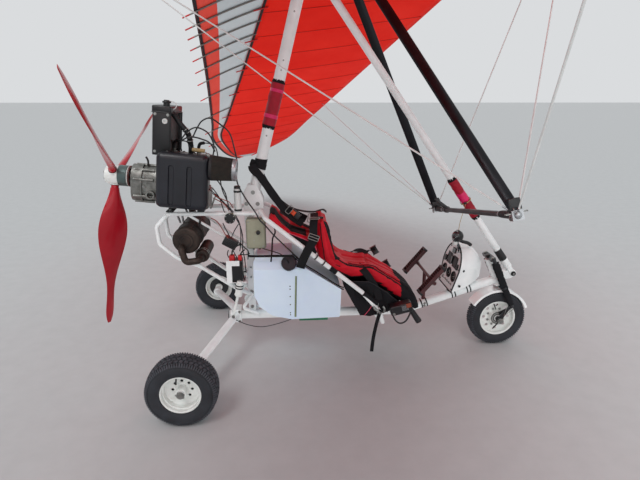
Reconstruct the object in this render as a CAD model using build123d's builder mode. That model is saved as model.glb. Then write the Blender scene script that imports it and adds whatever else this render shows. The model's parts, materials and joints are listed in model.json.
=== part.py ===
from build123d import *
from math import cos, hypot, radians, sin, sqrt, tan
import os

# A two-seat weight-shift microlight, parked on its wheels with the wing rolled to port.
# Millimetres and degrees. X points forward, Y to port and Z up. The origin lies on the ground
# under the middle of the rear axle.

os.makedirs("parts", exist_ok=True)

UP = (Align.CENTER, Align.CENTER, Align.MIN)
SEAT_GAP = 0.3        # between curved faces that rest on each other
RUN = 0.05            # radial clearance of a pin or shaft that turns

# Chassis
BEAM_R = 32.5
BEAM_WALL = 3
BEAM_Z = 290
BEAM_REAR_X = 180
MAST_R = 37.5
MAST_WALL = 3
MAST_BASE = (366, 1092)
MAST_TOP = (758, 2609)
STRUT_R = 25
STRUT_WALL = 2.5
LUG_PIN_R = 8
COLUMN_X = (326, 374)
COLUMN_HALF = MAST_R
COLUMN_Z = (BEAM_Z + BEAM_R + SEAT_GAP, 1072)
PLATE = 5
LOOP_R = 14
LOOP_Y = 120
LOOP_Z = 1065

# Running gear
TRACK = 1600
WHEEL_Z = 205
WHEELBASE = 2165
NOSE_WHEEL_Z = 215
STUB_R = 12.5
NOSE_AXLE_R = 10
STEER_TILT = 25
STEER_POINT = (WHEELBASE - 25, 2 * NOSE_WHEEL_Z + 92)
STRUT_FOOT = (STEER_POINT[0] + 116, STEER_POINT[1] + 38)
BEAM_KINK_X = STEER_POINT[0] - 700
BEAM_END = (STEER_POINT[0] - 2, STEER_POINT[1] - 5)
STEER_PIN_R = 14
FORK_HALF = 70

# Propeller and engine, laid out from the propeller hub along the thrust line
HUB = (-509, 0, 1311)
THRUST_TILT = 6
PROP_RADIUS = 1000
PROP_FIRST_BLADE = 141.3
SHAFT_R = 17.5

# Wing, laid out from its nose along the keel
NOSE = (2383, 0, 3096)
KEEL_PITCH = 11.74
WING_ROLL = 11.5
DROOP = 6.5
KEEL_R = 32
KEEL_LENGTH = 2800
HANG_X = 765
SKIN = 4
APEX = (1500, -55)
BAR_CENTRE = (1040, -1845)
BAR_HALF = 718
PIVOT_Z = 2640
PIVOT_R = 8


def keep(piece, name):
    """Labels a finished piece and writes it as its own node."""
    piece.label = name
    export_step(piece, f"parts/{name}.step")


def rod(start, end, radius, bore=0):
    """A straight round bar, or a tube if it has a bore, between two points."""
    reach = Vector(*end) - Vector(*start)
    with BuildPart(Plane(origin=start, z_dir=reach)) as bar:
        Cylinder(radius, reach.length, align=UP)
        if bore:
            Cylinder(bore, reach.length, align=UP, mode=Mode.SUBTRACT)
    return bar.part


def bent_tube(points, radius, bend, bore=0):
    """A round tube whose corners are arcs of one bend radius."""
    with BuildPart() as tube:
        with BuildLine() as route:
            FilletPolyline(*points, radius=bend)
        with BuildSketch(Plane(origin=route.line @ 0, z_dir=route.line % 0)):
            Circle(radius)
            if bore:
                Circle(bore, mode=Mode.SUBTRACT)
        sweep()
    return tube.part


def faired_strut(start, end, chord, thickness, toward):
    """A strut of oval section whose long axis points toward a direction."""
    reach = Vector(*end) - Vector(*start)
    along = reach.normalized()
    face = Vector(*toward) - along * Vector(*toward).dot(along)
    with BuildPart() as strut:
        with BuildSketch(Plane(origin=start, x_dir=face, z_dir=along)):
            Ellipse(chord / 2, thickness / 2)
        extrude(amount=reach.length)
    return strut.part


def side_profile(points, half_width, centre_y=0, radius=0):
    """A solid with an outline in the X-Z plane, as wide on each side of a plane."""
    with BuildPart() as block:
        with BuildSketch(Plane.XZ.offset(-centre_y)):
            with BuildLine():
                Polyline(*points, close=True)
            make_face()
        extrude(amount=half_width, both=True)
        if radius:
            fillet(block.edges(), radius)
    return block.part


def on_line(foot, top, z):
    """The point at a height on a sloping centre-plane line."""
    return (foot[0] + (top[0] - foot[0]) * (z - foot[1]) / (top[1] - foot[1]), 0, z)


# The main beam runs level under the tank and rises to the steering head
rise = (BEAM_END[1] - BEAM_Z) / (BEAM_END[0] - BEAM_KINK_X)
beam_front = (BEAM_END[0], 0, BEAM_END[1])
beam_top_offset = BEAM_R * sqrt(1 + rise ** 2)
steer_axis = Vector(-sin(radians(STEER_TILT)), 0, cos(radians(STEER_TILT)))


def on_steering(distance, forward=0, side=0):
    """A point in the steering head's own frame: along the axis, forward of it, and to port."""
    ahead = Vector(steer_axis.Z, 0, -steer_axis.X)
    centre = Vector(STEER_POINT[0], 0, STEER_POINT[1])
    return centre + steer_axis * distance + ahead * forward + Vector(0, side, 0)


HEAD_LOW = -54
HEAD_HIGH = 172
HEAD_R = 30
beam_route = [(BEAM_REAR_X, 0, BEAM_Z), (BEAM_KINK_X, 0, BEAM_Z), beam_front]
with BuildPart() as main_beam:
    add(bent_tube(beam_route, BEAM_R, 300, BEAM_R - BEAM_WALL))
    add(rod(on_steering(HEAD_LOW), on_steering(HEAD_HIGH), HEAD_R + SEAT_GAP), mode=Mode.SUBTRACT)
main_beam_solid = main_beam.part.solids().sort_by(SortBy.VOLUME)[-1]
keep(main_beam_solid, "main_beam")

# The steering head: a tube for the fork's pin, and a lug in front of it that carries the strut
lug_offsets = [(10, -17), (10, 53), (95, 63), (132, 58), (144, 38), (134, 18), (100, 0)]
lug_outline = [(STEER_POINT[0] + ahead, STEER_POINT[1] + above) for ahead, above in lug_offsets]
LUG_HALF = 12
with BuildPart() as steering_head:
    add(rod(on_steering(HEAD_LOW), on_steering(HEAD_HIGH), HEAD_R))
    add(side_profile(lug_outline, LUG_HALF))
    with Locations(Plane(origin=(STRUT_FOOT[0], 0, STRUT_FOOT[1]), z_dir=(0, 1, 0))):
        Cylinder(LUG_PIN_R + RUN, 4 * LUG_HALF, mode=Mode.SUBTRACT)
    add(rod(on_steering(HEAD_LOW - 5), on_steering(HEAD_HIGH + 5), STEER_PIN_R + RUN), mode=Mode.SUBTRACT)
keep(steering_head.part, "steering_head")

# The mast, its head block and the front strut
mast_foot = (MAST_BASE[0], 0, MAST_BASE[1])
mast_end = on_line(MAST_BASE, MAST_TOP, MAST_TOP[1] - 12)
keep(rod(mast_foot, mast_end, MAST_R, MAST_R - MAST_WALL), "mast")

HEAD_BLOCK_HALF = 25
with BuildPart() as mast_head:
    with BuildSketch(Plane.XZ):
        with Locations((HANG_X, PIVOT_Z)):
            RectangleRounded(56, 56, 20)
    extrude(amount=HEAD_BLOCK_HALF, both=True)
    plug_ends = [on_line(MAST_BASE, MAST_TOP, z) for z in (2520, 2600)]
    add(rod(*plug_ends, MAST_R - MAST_WALL - SEAT_GAP))
    add(rod(on_line(MAST_BASE, MAST_TOP, 2590), on_line(MAST_BASE, MAST_TOP, 2630), HEAD_BLOCK_HALF - 1))
    with Locations(Plane(origin=(HANG_X, 0, PIVOT_Z), z_dir=(0, 1, 0))):
        Cylinder(PIVOT_R + RUN, 4 * HEAD_BLOCK_HALF, mode=Mode.SUBTRACT)
keep(mast_head.part, "mast_head")

strut_dir = (Vector(MAST_TOP[0], 0, MAST_TOP[1]) - Vector(STRUT_FOOT[0], 0, STRUT_FOOT[1])).normalized()
strut_foot = Vector(STRUT_FOOT[0], 0, STRUT_FOOT[1])
STRUT_EAR = 6
STRUT_START = 62
with BuildPart() as front_strut:
    add(rod(strut_foot + strut_dir * STRUT_START, (MAST_TOP[0], 0, MAST_TOP[1]), STRUT_R, STRUT_R - STRUT_WALL))
    add(rod(mast_foot, on_line(MAST_BASE, MAST_TOP, MAST_TOP[1] + 80), MAST_R + SEAT_GAP), mode=Mode.SUBTRACT)
strut_tube = front_strut.part.solids().sort_by(SortBy.VOLUME)[-1]
with BuildPart() as strut:
    add(strut_tube)
    add(rod(strut_foot + strut_dir * STRUT_START, strut_foot + strut_dir * (STRUT_START + 80), STRUT_R + 3))
    for side in (-1, 1):
        ear_y = side * (LUG_HALF + SEAT_GAP + STRUT_EAR / 2)
        with BuildSketch(Plane(origin=strut_foot + Vector(0, ear_y, 0), x_dir=strut_dir, z_dir=(0, 1, 0))):
            with Locations((36, 0)):
                SlotOverall(108, 36)
        extrude(amount=STRUT_EAR / 2, both=True)
    with Locations(Plane(origin=strut_foot, z_dir=(0, 1, 0))):
        Cylinder(LUG_PIN_R, 2 * (LUG_HALF + STRUT_EAR) + 8)
keep(strut.part, "front_strut")


def pad_on(foot, top, low, high, tube_r, pad_r):
    """A soft round pad that sleeves a sloping tube between two heights."""
    start = Vector(*on_line(foot, top, low))
    reach = Vector(*on_line(foot, top, high)) - start
    with BuildPart(Plane(origin=start, z_dir=reach)) as pad:
        Cylinder(pad_r, reach.length, align=UP)
        fillet(pad.edges(), 18)
        Cylinder(tube_r + SEAT_GAP, reach.length, align=UP, mode=Mode.SUBTRACT)
    return pad.part


with BuildPart() as tube_pads:
    add(pad_on(MAST_BASE, MAST_TOP, 1600, 1910, MAST_R, 58))
    add(pad_on(STRUT_FOOT, MAST_TOP, 1010, 1270, STRUT_R, 55))
keep(tube_pads.part, "tube_pads")

# The rear column stands on the beam and carries the mast's gusset plates
with BuildPart() as rear_column:
    with BuildSketch(Plane.XY.offset(COLUMN_Z[0])):
        with Locations(((COLUMN_X[0] + COLUMN_X[1]) / 2, 0)):
            Rectangle(COLUMN_X[1] - COLUMN_X[0], 2 * COLUMN_HALF)
            Rectangle(COLUMN_X[1] - COLUMN_X[0] - 8, 2 * COLUMN_HALF - 8, mode=Mode.SUBTRACT)
    extrude(amount=COLUMN_Z[1] - COLUMN_Z[0])
    for hole_z in (589, 663, 1010):
        with Locations(Plane(origin=((COLUMN_X[0] + COLUMN_X[1]) / 2, 0, hole_z), z_dir=(0, 1, 0))):
            Cylinder(7, 4 * COLUMN_HALF, mode=Mode.SUBTRACT)

CROSS_X = 421
CROSS_TOP = LOOP_Z + LOOP_R + SEAT_GAP
gusset_outline = [
    (322, 985), (322, 1190), (350, 1240), (412, 1240), (452, 1150),
    (452, CROSS_TOP), (390, CROSS_TOP), (378, 985),
]
with BuildPart() as mast_gussets:
    with BuildSketch(Plane.XZ.offset(-(MAST_R + SEAT_GAP))):
        with BuildLine():
            Polyline(*gusset_outline, close=True)
        make_face()
        with Locations((340, 1114), (414, 1112)):
            Circle(7, mode=Mode.SUBTRACT)
    extrude(amount=-PLATE)
    mirror(about=Plane.XZ)

# A tray holds the battery behind the column, and an angle bracket clamps the battery's outer side
BATTERY_SIZE = (78, 100, 150)
BATTERY_X = COLUMN_X[0] - 64
BATTERY_Y = -COLUMN_HALF - 62.5
BATTERY_Z = 593
BRACKET = 3
bracket_y = BATTERY_Y - BATTERY_SIZE[1] / 2 - SEAT_GAP - BRACKET
with BuildPart() as battery_tray:
    with Locations((COLUMN_X[0] - 56, BATTERY_Y + 14, BATTERY_Z - 2)):
        Box(112, 136, 4)
    with Locations((COLUMN_X[0] - 2, -57, BATTERY_Z + 24)):
        Box(4, 78, 48)
    with BuildSketch(Plane.XZ.offset(-bracket_y)):
        with BuildLine():
            Polyline((196, BATTERY_Z - 4), (232, BATTERY_Z - 4), (232, 712), (284, 712), (284, 748), (196, 748),
                     close=True)
        make_face()
    extrude(amount=-BRACKET)
column_pieces = [rear_column.part.solid(), *mast_gussets.part.solids(), battery_tray.part.solid()]
keep(Compound(children=column_pieces), "rear_column")

# The engine frame: two side loops, cross tubes and thin diagonals
loop_route = [
    (CROSS_X, -LOOP_Y, LOOP_Z), (-165, -LOOP_Y, LOOP_Z + 4), (-245, -LOOP_Y, 985), (-235, -LOOP_Y, 865),
    (-130, -LOOP_Y, 770), (20, -LOOP_Y, 705), (250, -100, 535), (318, -COLUMN_HALF - LOOP_R - 2, 480),
]
column_side = COLUMN_HALF + SEAT_GAP
with BuildPart() as engine_frame:
    add(bent_tube(loop_route, LOOP_R, 45))
    add(rod((-35, -LOOP_Y, LOOP_Z - 5), (325, -column_side - 8, 800), 9))
    add(rod((312, -COLUMN_HALF - LOOP_R - 5, 485), (345, -column_side, 462), LOOP_R))
    mirror(about=Plane.XZ)
    add(rod((CROSS_X, -LOOP_Y, LOOP_Z), (CROSS_X, LOOP_Y, LOOP_Z), LOOP_R))
    add(rod((-232, -LOOP_Y, 1000), (-232, LOOP_Y, 1000), 10))
    with Locations(Location(((COLUMN_X[0] + COLUMN_X[1]) / 2, 0, 700))):
        Box(COLUMN_X[1] - COLUMN_X[0] + 1, 2 * column_side, 1000, mode=Mode.SUBTRACT)
keep(engine_frame.part, "engine_frame")

# The engine sits in its own frame, nose down along the thrust line
tilt = radians(THRUST_TILT)
thrust = Vector(cos(tilt), 0, -sin(tilt))
engine = Plane(origin=HUB, x_dir=thrust, z_dir=(sin(tilt), 0, cos(tilt)))


def at_engine(x, y, z):
    """A point in the engine's frame, as a world vector."""
    return engine.from_local_coords(Vector(x, y, z))


def engine_box(x_range, y_range, z_range, radius):
    """A rounded block in the engine's frame."""
    centre = [(a + b) / 2 for a, b in (x_range, y_range, z_range)]
    size = [b - a for a, b in (x_range, y_range, z_range)]
    with BuildPart(Plane(origin=at_engine(*centre), x_dir=thrust, z_dir=engine.z_dir)) as block:
        Box(*size)
        fillet(block.edges(), radius)
    return block.part


CASE_X = (282, 620)
CASE_Z = (-160, -35)
GEAR_X = (120, CASE_X[0])
CRANK_DROP = 75
GEAR_R = 84
BOSS_R = 9
with BuildPart() as gearbox:
    with BuildSketch(Plane(origin=at_engine(GEAR_X[0], 0, 0), x_dir=(0, 1, 0), z_dir=thrust)):
        Circle(GEAR_R + 2)
        with Locations((0, -CRANK_DROP)):
            Circle(80)
        make_hull()
    extrude(amount=60, taper=-2)
    with BuildSketch(Plane(origin=at_engine(GEAR_X[0] + 60, 0, 0), x_dir=(0, 1, 0), z_dir=thrust)):
        Circle(78)
        with Locations((0, -CRANK_DROP)):
            Circle(76)
        make_hull()
    extrude(amount=GEAR_X[1] - GEAR_X[0] - 60)
    with BuildSketch(Plane(origin=at_engine(GEAR_X[0] + 58, 0, 0), x_dir=(0, 1, 0), z_dir=thrust)):
        Circle(GEAR_R + 7)
        with Locations((0, -CRANK_DROP)):
            Circle(GEAR_R + 4)
        make_hull()
    extrude(amount=12)
    boss_spots = [(a, 0) for a in (0, 45, 90, 135, 180)] + [(a, -CRANK_DROP) for a in (205, 245, 295, 335)]
    with BuildSketch(Plane(origin=at_engine(GEAR_X[0] + 22, 0, 0), x_dir=(0, 1, 0), z_dir=thrust)):
        for angle, drop in boss_spots:
            with Locations((GEAR_R * cos(radians(angle)), drop + GEAR_R * sin(radians(angle)))):
                Circle(BOSS_R)
    extrude(amount=GEAR_X[1] - GEAR_X[0] - 40)
    add(rod(at_engine(GEAR_X[1] - 34, -60, -96), at_engine(GEAR_X[1] - 34, -104, -96), 28, 19))
    add(rod(at_engine(GEAR_X[0] - 12, 0, 0), at_engine(GEAR_X[0] + 5, 0, 0), 34))
    add(rod(at_engine(-45, 0, 0), at_engine(GEAR_X[0] + 5, 0, 0), SHAFT_R))
keep(gearbox.part.solids().sort_by(SortBy.VOLUME)[-1], "gearbox")

with BuildPart() as engine_block:
    add(engine_box(CASE_X, (-95, 95), CASE_Z, 14))
    add(engine_box((300, 605), (-62, 62), (CASE_Z[1] - 30, 160), 12))
    add(engine_box((292, 613), (-70, 70), (150, 186), 10))
    for flange_z in (CASE_Z[1] + 4, 136):
        add(engine_box((294, 611), (-70, 70), (flange_z, flange_z + 10), 3))
    for cylinder_x in (372, 530):
        add(rod(at_engine(cylinder_x, 0, 0), at_engine(cylinder_x, 0, 140), 71))
    for plug_x in (372, 530):
        add(rod(at_engine(plug_x, 0, 180), at_engine(plug_x, 0, 212), 11))
    for port_x in (372, 530):
        add(rod(at_engine(port_x, 55, 60), at_engine(port_x, 110, 60), 20))
        add(rod(at_engine(port_x, -55, 40), at_engine(port_x, -118, 40), 24))
        add(rod(at_engine(port_x, -118, 40), at_engine(port_x, -149.5, 40), 32))
keep(engine_block.part, "engine_block")

# Four rubber mounts carry the case on two bearers that lie across the loops
bearer_z = LOOP_Z + 4 + LOOP_R + SEAT_GAP
with BuildPart() as engine_mounts:
    for bearer_x in (-150, 50):
        with Locations((bearer_x, 0, bearer_z + 4)):
            Box(44, 2 * (LOOP_Y + LOOP_R), 8)
        for side in (-1, 1):
            add(rod((bearer_x, side * 62, bearer_z + 8), (bearer_x, side * 62, bearer_z + 60), 20))
    add(engine_block.part, mode=Mode.SUBTRACT)
mount_pieces = engine_mounts.part.solids().filter_by(lambda s: s.center().Z < bearer_z + 30)
keep(Compound(children=list(mount_pieces)), "engine_mounts")

with BuildPart() as intake_silencer:
    add(engine_box((315, 631), (-252, -150), (-138, 208), 36))
    for groove_x in (410, 520):
        with BuildSketch(Plane(origin=at_engine(groove_x, -252, 0), x_dir=thrust, z_dir=(0, 1, 0))):
            with Locations((0, -10)):
                SlotOverall(250, 34, rotation=90)
        extrude(amount=9, taper=25, mode=Mode.SUBTRACT)
keep(intake_silencer.part, "intake_silencer")

with BuildPart(Plane(origin=at_engine(632, -172, 130), z_dir=thrust)) as air_filter:
    Cone(78, 68, 150, align=UP)
    with Locations((0, 0, 150)):
        Cylinder(70, 18, align=UP)
keep(air_filter.part, "air_filter")

RADIATOR_X = (268, 386)
FIN_ROWS = 14
with BuildPart() as radiator:
    add(engine_box(RADIATOR_X, (-165, 165), (216, 266), 12))
    add(engine_box(RADIATOR_X, (-165, 165), (474, 520), 12))
    add(engine_box((RADIATOR_X[0] + 22, RADIATOR_X[1] - 22), (-150, 150), (250, 490), 2))
    for side in (-1, 1):
        cheek = sorted((side * 152, side * 165))
        add(engine_box((RADIATOR_X[0] + 6, RADIATOR_X[1] - 6), cheek, (240, 500), 3))
    for row in range(FIN_ROWS):
        fin_z = 268 + (row + 0.5) * (474 - 268) / FIN_ROWS
        with Locations(Plane(origin=at_engine((RADIATOR_X[0] + RADIATOR_X[1]) / 2, 0, fin_z), x_dir=thrust,
                             z_dir=engine.z_dir)):
            Box(RADIATOR_X[1] - RADIATOR_X[0] - 28, 306, 1.6)
    add(rod(at_engine(330, -110, 518), at_engine(330, -110, 552), 22))
    add(rod(at_engine(340, -164, 430), at_engine(340, -176, 430), 14))
    for side in (-1, 1):
        add(rod(at_engine(340, side * 45, 186), at_engine(340, side * 45, 222), 12))
keep(radiator.part, "radiator")

# Exhaust: two ports join on the port side, drop to the muffler and cross under the engine
MUFFLER = (-50, 900)
MUFFLER_R = 88
MUFFLER_Y = (-180, 300)
with BuildPart() as muffler:
    add(rod((MUFFLER[0], MUFFLER_Y[0], MUFFLER[1]), (MUFFLER[0], MUFFLER_Y[1], MUFFLER[1]), MUFFLER_R))
    fillet(muffler.edges().filter_by(GeomType.CIRCLE), 16)
    for seam_y in (MUFFLER_Y[0] + 22, -20, 140, MUFFLER_Y[1] - 30):
        add(rod((MUFFLER[0], seam_y, MUFFLER[1]), (MUFFLER[0], seam_y + 9, MUFFLER[1]), MUFFLER_R + 3))
    add(rod((MUFFLER[0], MUFFLER_Y[0] - 3, MUFFLER[1]), (MUFFLER[0], 0, MUFFLER[1]), 46))

with BuildPart() as exhaust_pipe:
    add(bent_tube([at_engine(530, 111, 60), at_engine(530, 190, 60), at_engine(380, 215, 40),
                   (-60, 215, 945)], 24, 30))
    add(rod(at_engine(372, 111, 60), at_engine(400, 200, 50), 20))
    add(muffler.part, mode=Mode.SUBTRACT)
    add(engine_block.part, mode=Mode.SUBTRACT)
pipe_solid = exhaust_pipe.part.solids().sort_by(SortBy.VOLUME)[-1]

SILENCER = (38, 782)
with BuildPart() as tail_silencer:
    add(rod((SILENCER[0], -150, SILENCER[1]), (SILENCER[0], 130, SILENCER[1]), 43))
    fillet(tail_silencer.edges().filter_by(GeomType.CIRCLE), 12)
    for band_y in (-122, -96):
        add(rod((SILENCER[0], band_y, SILENCER[1]), (SILENCER[0], band_y + 11, SILENCER[1]), 45.5))
    add(bent_tube([(-75, MUFFLER_Y[0] - SEAT_GAP, 862), (-75, -232, 862), (-50, -232, 772),
                   (SILENCER[0], -232, SILENCER[1]), (SILENCER[0], -149, SILENCER[1])], 22, 28))
with BuildPart() as exhaust:
    add(muffler.part)
    add(tail_silencer.part)
    add(pipe_solid)
keep(exhaust.part, "exhaust")

# Battery, electrics and small boxes on the column
with BuildPart() as battery:
    with Locations((BATTERY_X, BATTERY_Y, BATTERY_Z + BATTERY_SIZE[2] / 2)):
        Box(*BATTERY_SIZE)
        fillet(battery.edges(), 6)
keep(battery.part, "battery")

with BuildPart() as electrics_box:
    with Locations((COLUMN_X[1] + 26, -COLUMN_HALF - SEAT_GAP - PLATE - 40.1, 922)):
        Box(128, 80, 205)
        fillet(electrics_box.edges(), 14)

with BuildPart() as ignition_box:
    with Locations(Location((226, -98, 862), (0, 30, 0))):
        Box(95, 50, 62)
        fillet(ignition_box.edges(), 5)
    add(engine_frame.part, mode=Mode.SUBTRACT)

with BuildPart() as fuel_pump:
    pump_side = -LOOP_Y - LOOP_R - SEAT_GAP
    add(rod((238, pump_side, 1042), (238, pump_side - 24, 1042), 34))
    chamfer(fuel_pump.edges().filter_by(GeomType.CIRCLE), 3)
with BuildPart() as electrics:
    add(electrics_box.part)
    add(ignition_box.part)
    add(fuel_pump.part)
keep(electrics.part, "electrics_boxes")

with BuildPart() as coolant_canister:
    add(rod((290, 8 - LOOP_Y, LOOP_Z + LOOP_R + 1.6), (290, 8 - LOOP_Y, 1232), 23))
    fillet(coolant_canister.edges().filter_by(GeomType.CIRCLE), 5)
keep(coolant_canister.part, "coolant_canister")

# Rear undercarriage: saddle on the beam, faired legs with stub axles, shock absorbers, braces
SADDLE_X = (212, 268)
SADDLE_HALF = 60
LEG_ROOT_Z = 303
with BuildPart() as beam_saddle:
    with Locations(((SADDLE_X[0] + SADDLE_X[1]) / 2, 0, BEAM_Z + 8)):
        Box(SADDLE_X[1] - SADDLE_X[0], 2 * SADDLE_HALF, 96)
        fillet(beam_saddle.edges().filter_by(Axis.X), 12)
    add(rod((0, 0, BEAM_Z), (400, 0, BEAM_Z), BEAM_R + SEAT_GAP / 2), mode=Mode.SUBTRACT)


def axle_leg(side):
    """A faired leg from the beam saddle to the hub, with the stub axle that the wheel turns on."""
    inner = TRACK / 2 - 128
    with BuildPart() as leg:
        add(faired_strut((240, side * 30, LEG_ROOT_Z + 4), (0, side * inner, WHEEL_Z), 66, 30, (1, 0, 0.1)))
        with Locations((240, 0, BEAM_Z)):
            Box(140, 2 * (SADDLE_HALF + SEAT_GAP), 200, mode=Mode.SUBTRACT)
        add(rod((0, side * (inner - 26), WHEEL_Z), (0, side * (inner + 26), WHEEL_Z), 30))
        add(rod((0, side * inner, WHEEL_Z), (0, side * (TRACK / 2 + 52), WHEEL_Z), STUB_R))
        add(rod((0, side * (TRACK / 2 + 52), WHEEL_Z), (0, side * (TRACK / 2 + 64), WHEEL_Z), 20))
    return leg.part.solids().sort_by(SortBy.VOLUME)[-1]


legs = {"left": axle_leg(1), "right": axle_leg(-1)}
keep(Compound(children=list(legs.values())), "axle_legs")

with BuildPart() as shock_absorbers:
    add(rod((255, -112, 480), (296, -78, 560), 23))
    add(rod((222, -126, 330), (262, -106, 494), 9))
    add(rod((288, -84, 545), (318, -62, 590), 9))
    mirror(about=Plane.XZ)
    for leg in legs.values():
        add(leg, mode=Mode.SUBTRACT)
    add(battery_tray.part, mode=Mode.SUBTRACT)
    add(engine_frame.part, mode=Mode.SUBTRACT)
shocks = shock_absorbers.part.solids().filter_by(lambda s: s.volume > 60000)
keep(Compound(children=list(shocks)), "shock_absorbers")

with BuildPart() as rear_braces:
    add(bent_tube([(COLUMN_X[1] - 14, -column_side - 12, 470), (285, -76, 372), (392, -48, 316)], 12, 22))
    mirror(about=Plane.XZ)
    add(rod((0, 0, BEAM_Z), (600, 0, BEAM_Z), BEAM_R + SEAT_GAP), mode=Mode.SUBTRACT)
    add(beam_saddle.part, mode=Mode.SUBTRACT)
    add(engine_frame.part, mode=Mode.SUBTRACT)
    with Locations(Location(((COLUMN_X[0] + COLUMN_X[1]) / 2, 0, 700))):
        Box(COLUMN_X[1] - COLUMN_X[0] + 1, 2 * column_side, 1000, mode=Mode.SUBTRACT)
braces = rear_braces.part.solids().filter_by(lambda s: s.volume > 15000)
keep(Compound(children=[beam_saddle.part.solid(), *braces]), "rear_braces")


def tyre(centre, bead_r, outer_r, bead_half, half, tread_half, seat):
    """A tyre as a ring with bulged walls, revolved about the wheel's axis and seated on its rim."""
    plane = Plane(origin=centre, x_dir=(0, 1, 0), z_dir=(1, 0, 0))
    wall_r = (bead_r + outer_r) / 2
    shoulder_r = outer_r - 10
    with BuildPart() as ring:
        with BuildSketch(plane):
            with BuildLine():
                Line((-bead_half, bead_r), (bead_half, bead_r))
                ThreePointArc((bead_half, bead_r), (half, wall_r), (tread_half, shoulder_r))
                ThreePointArc((tread_half, shoulder_r), (0, outer_r), (-tread_half, shoulder_r))
                ThreePointArc((-tread_half, shoulder_r), (-half, wall_r), (-bead_half, bead_r))
            make_face()
        revolve(axis=Axis(centre, (0, 1, 0)))
        add(seat, mode=Mode.SUBTRACT)
    return ring.part.solids().sort_by(SortBy.VOLUME)[-1]


def rim(centre, bead_r, barrel_half, lip_r, web_y, web_hole_r, hub_r, hub_half, bore_r, holes, hole_r):
    """A dished rim: barrel with lips, a pierced web set to one side, and a bored hub."""
    plane = Plane(origin=centre, x_dir=(0, 1, 0), z_dir=(1, 0, 0))
    shell = 6
    with BuildPart() as wheel:
        with BuildSketch(plane):
            with Locations((0, bead_r - SEAT_GAP - shell / 2)):
                Rectangle(2 * barrel_half, shell)
            for side in (-1, 1):
                with Locations((side * (barrel_half - 2), (bead_r - 3 + lip_r) / 2)):
                    Rectangle(4, lip_r - bead_r + 3)
            with Locations((web_y, (hub_r + bead_r - shell) / 2)):
                Rectangle(shell, bead_r - shell - hub_r + 4)
            with Locations((0, (hub_r + bore_r) / 2)):
                Rectangle(2 * hub_half, hub_r - bore_r)
        revolve(axis=Axis(centre, (0, 1, 0)))
        with BuildSketch(Plane(origin=Vector(*centre) + Vector(0, web_y, 0), x_dir=(1, 0, 0), z_dir=(0, 1, 0))):
            with PolarLocations(web_hole_r, holes):
                Circle(hole_r)
        extrude(amount=shell, both=True, mode=Mode.SUBTRACT)
    return wheel.part


for name, side in (("left", 1), ("right", -1)):
    hub_centre = (0, side * TRACK / 2, WHEEL_Z)
    wheel_rim = rim(hub_centre, 112, 60, 120, -side * 18, 62, 30, 48, STUB_R + RUN, 8, 8)
    keep(wheel_rim, f"rim_{name}")
    keep(tyre(hub_centre, 112, WHEEL_Z, 52, 80, 60, wheel_rim), f"tyre_{name}")

nose_centre = (WHEELBASE, 0, NOSE_WHEEL_Z)
nose_rim = rim(nose_centre, 130, 36, 137, 0, 92, 52, 36, NOSE_AXLE_R + RUN, 8, 12)
keep(nose_rim, "front_rim")
keep(tyre(nose_centre, 130, NOSE_WHEEL_Z, 30, 47, 34, nose_rim), "front_tyre")

# The steered fork: pin, two clamps, legs, trailing links and the axle
CLAMP_LOW = -62
CLAMP_HIGH = 182
LEG_AHEAD = 12
axle_point = Vector(WHEELBASE, 0, NOSE_WHEEL_Z)
with BuildPart() as fork:
    add(rod(on_steering(CLAMP_LOW), on_steering(CLAMP_HIGH), STEER_PIN_R))
    for distance in (CLAMP_LOW, CLAMP_HIGH):
        clamp_plane = Plane(origin=on_steering(distance, 6), x_dir=(0, 1, 0), z_dir=steer_axis)
        with BuildSketch(clamp_plane):
            SlotCenterToCenter(2 * FORK_HALF, 42)
        extrude(amount=7, both=True)
    for side in (-1, 1):
        leg_y = side * FORK_HALF
        add(rod(on_steering(CLAMP_HIGH + 10, LEG_AHEAD, leg_y), on_steering(-238, LEG_AHEAD, leg_y), 13))
        link_y = side * 61
        link_top = on_steering(-225, LEG_AHEAD, link_y)
        add(faired_strut(link_top, axle_point + Vector(0, link_y, 0), 30, 9, (0, 0, 1)))
        add(rod(axle_point + Vector(0, side * 54, 0), axle_point + Vector(0, side * 66, 0), 20))
    add(rod(axle_point + Vector(0, -96, 0), axle_point + Vector(0, 96, 0), NOSE_AXLE_R))
    for side in (-1, 1):
        add(rod(axle_point + Vector(0, side * 37, 0), axle_point + Vector(0, side * 55, 0), 16))
keep(fork.part, "fork")

GUARD_R = NOSE_WHEEL_Z + 13
GUARD_REAR = 150
GUARD_ARC = 128
GUARD_HALF = 50
rear_angle = radians(GUARD_REAR)
with BuildPart() as front_mudguard:
    with BuildSketch(Plane(origin=nose_centre, x_dir=(0, 1, 0), z_dir=(sin(rear_angle), 0, -cos(rear_angle)))):
        with Locations((0, GUARD_R)):
            Rectangle(2 * GUARD_HALF, 3)
        for side in (-1, 1):
            with Locations((side * GUARD_HALF, GUARD_R - 7)):
                Rectangle(3, 17)
    revolve(axis=Axis(nose_centre, (0, 1, 0)), revolution_arc=GUARD_ARC)
    add(rod(on_steering(CLAMP_LOW - 7), on_steering(CLAMP_LOW - 24), 16))
keep(front_mudguard.part, "front_mudguard")

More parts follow.
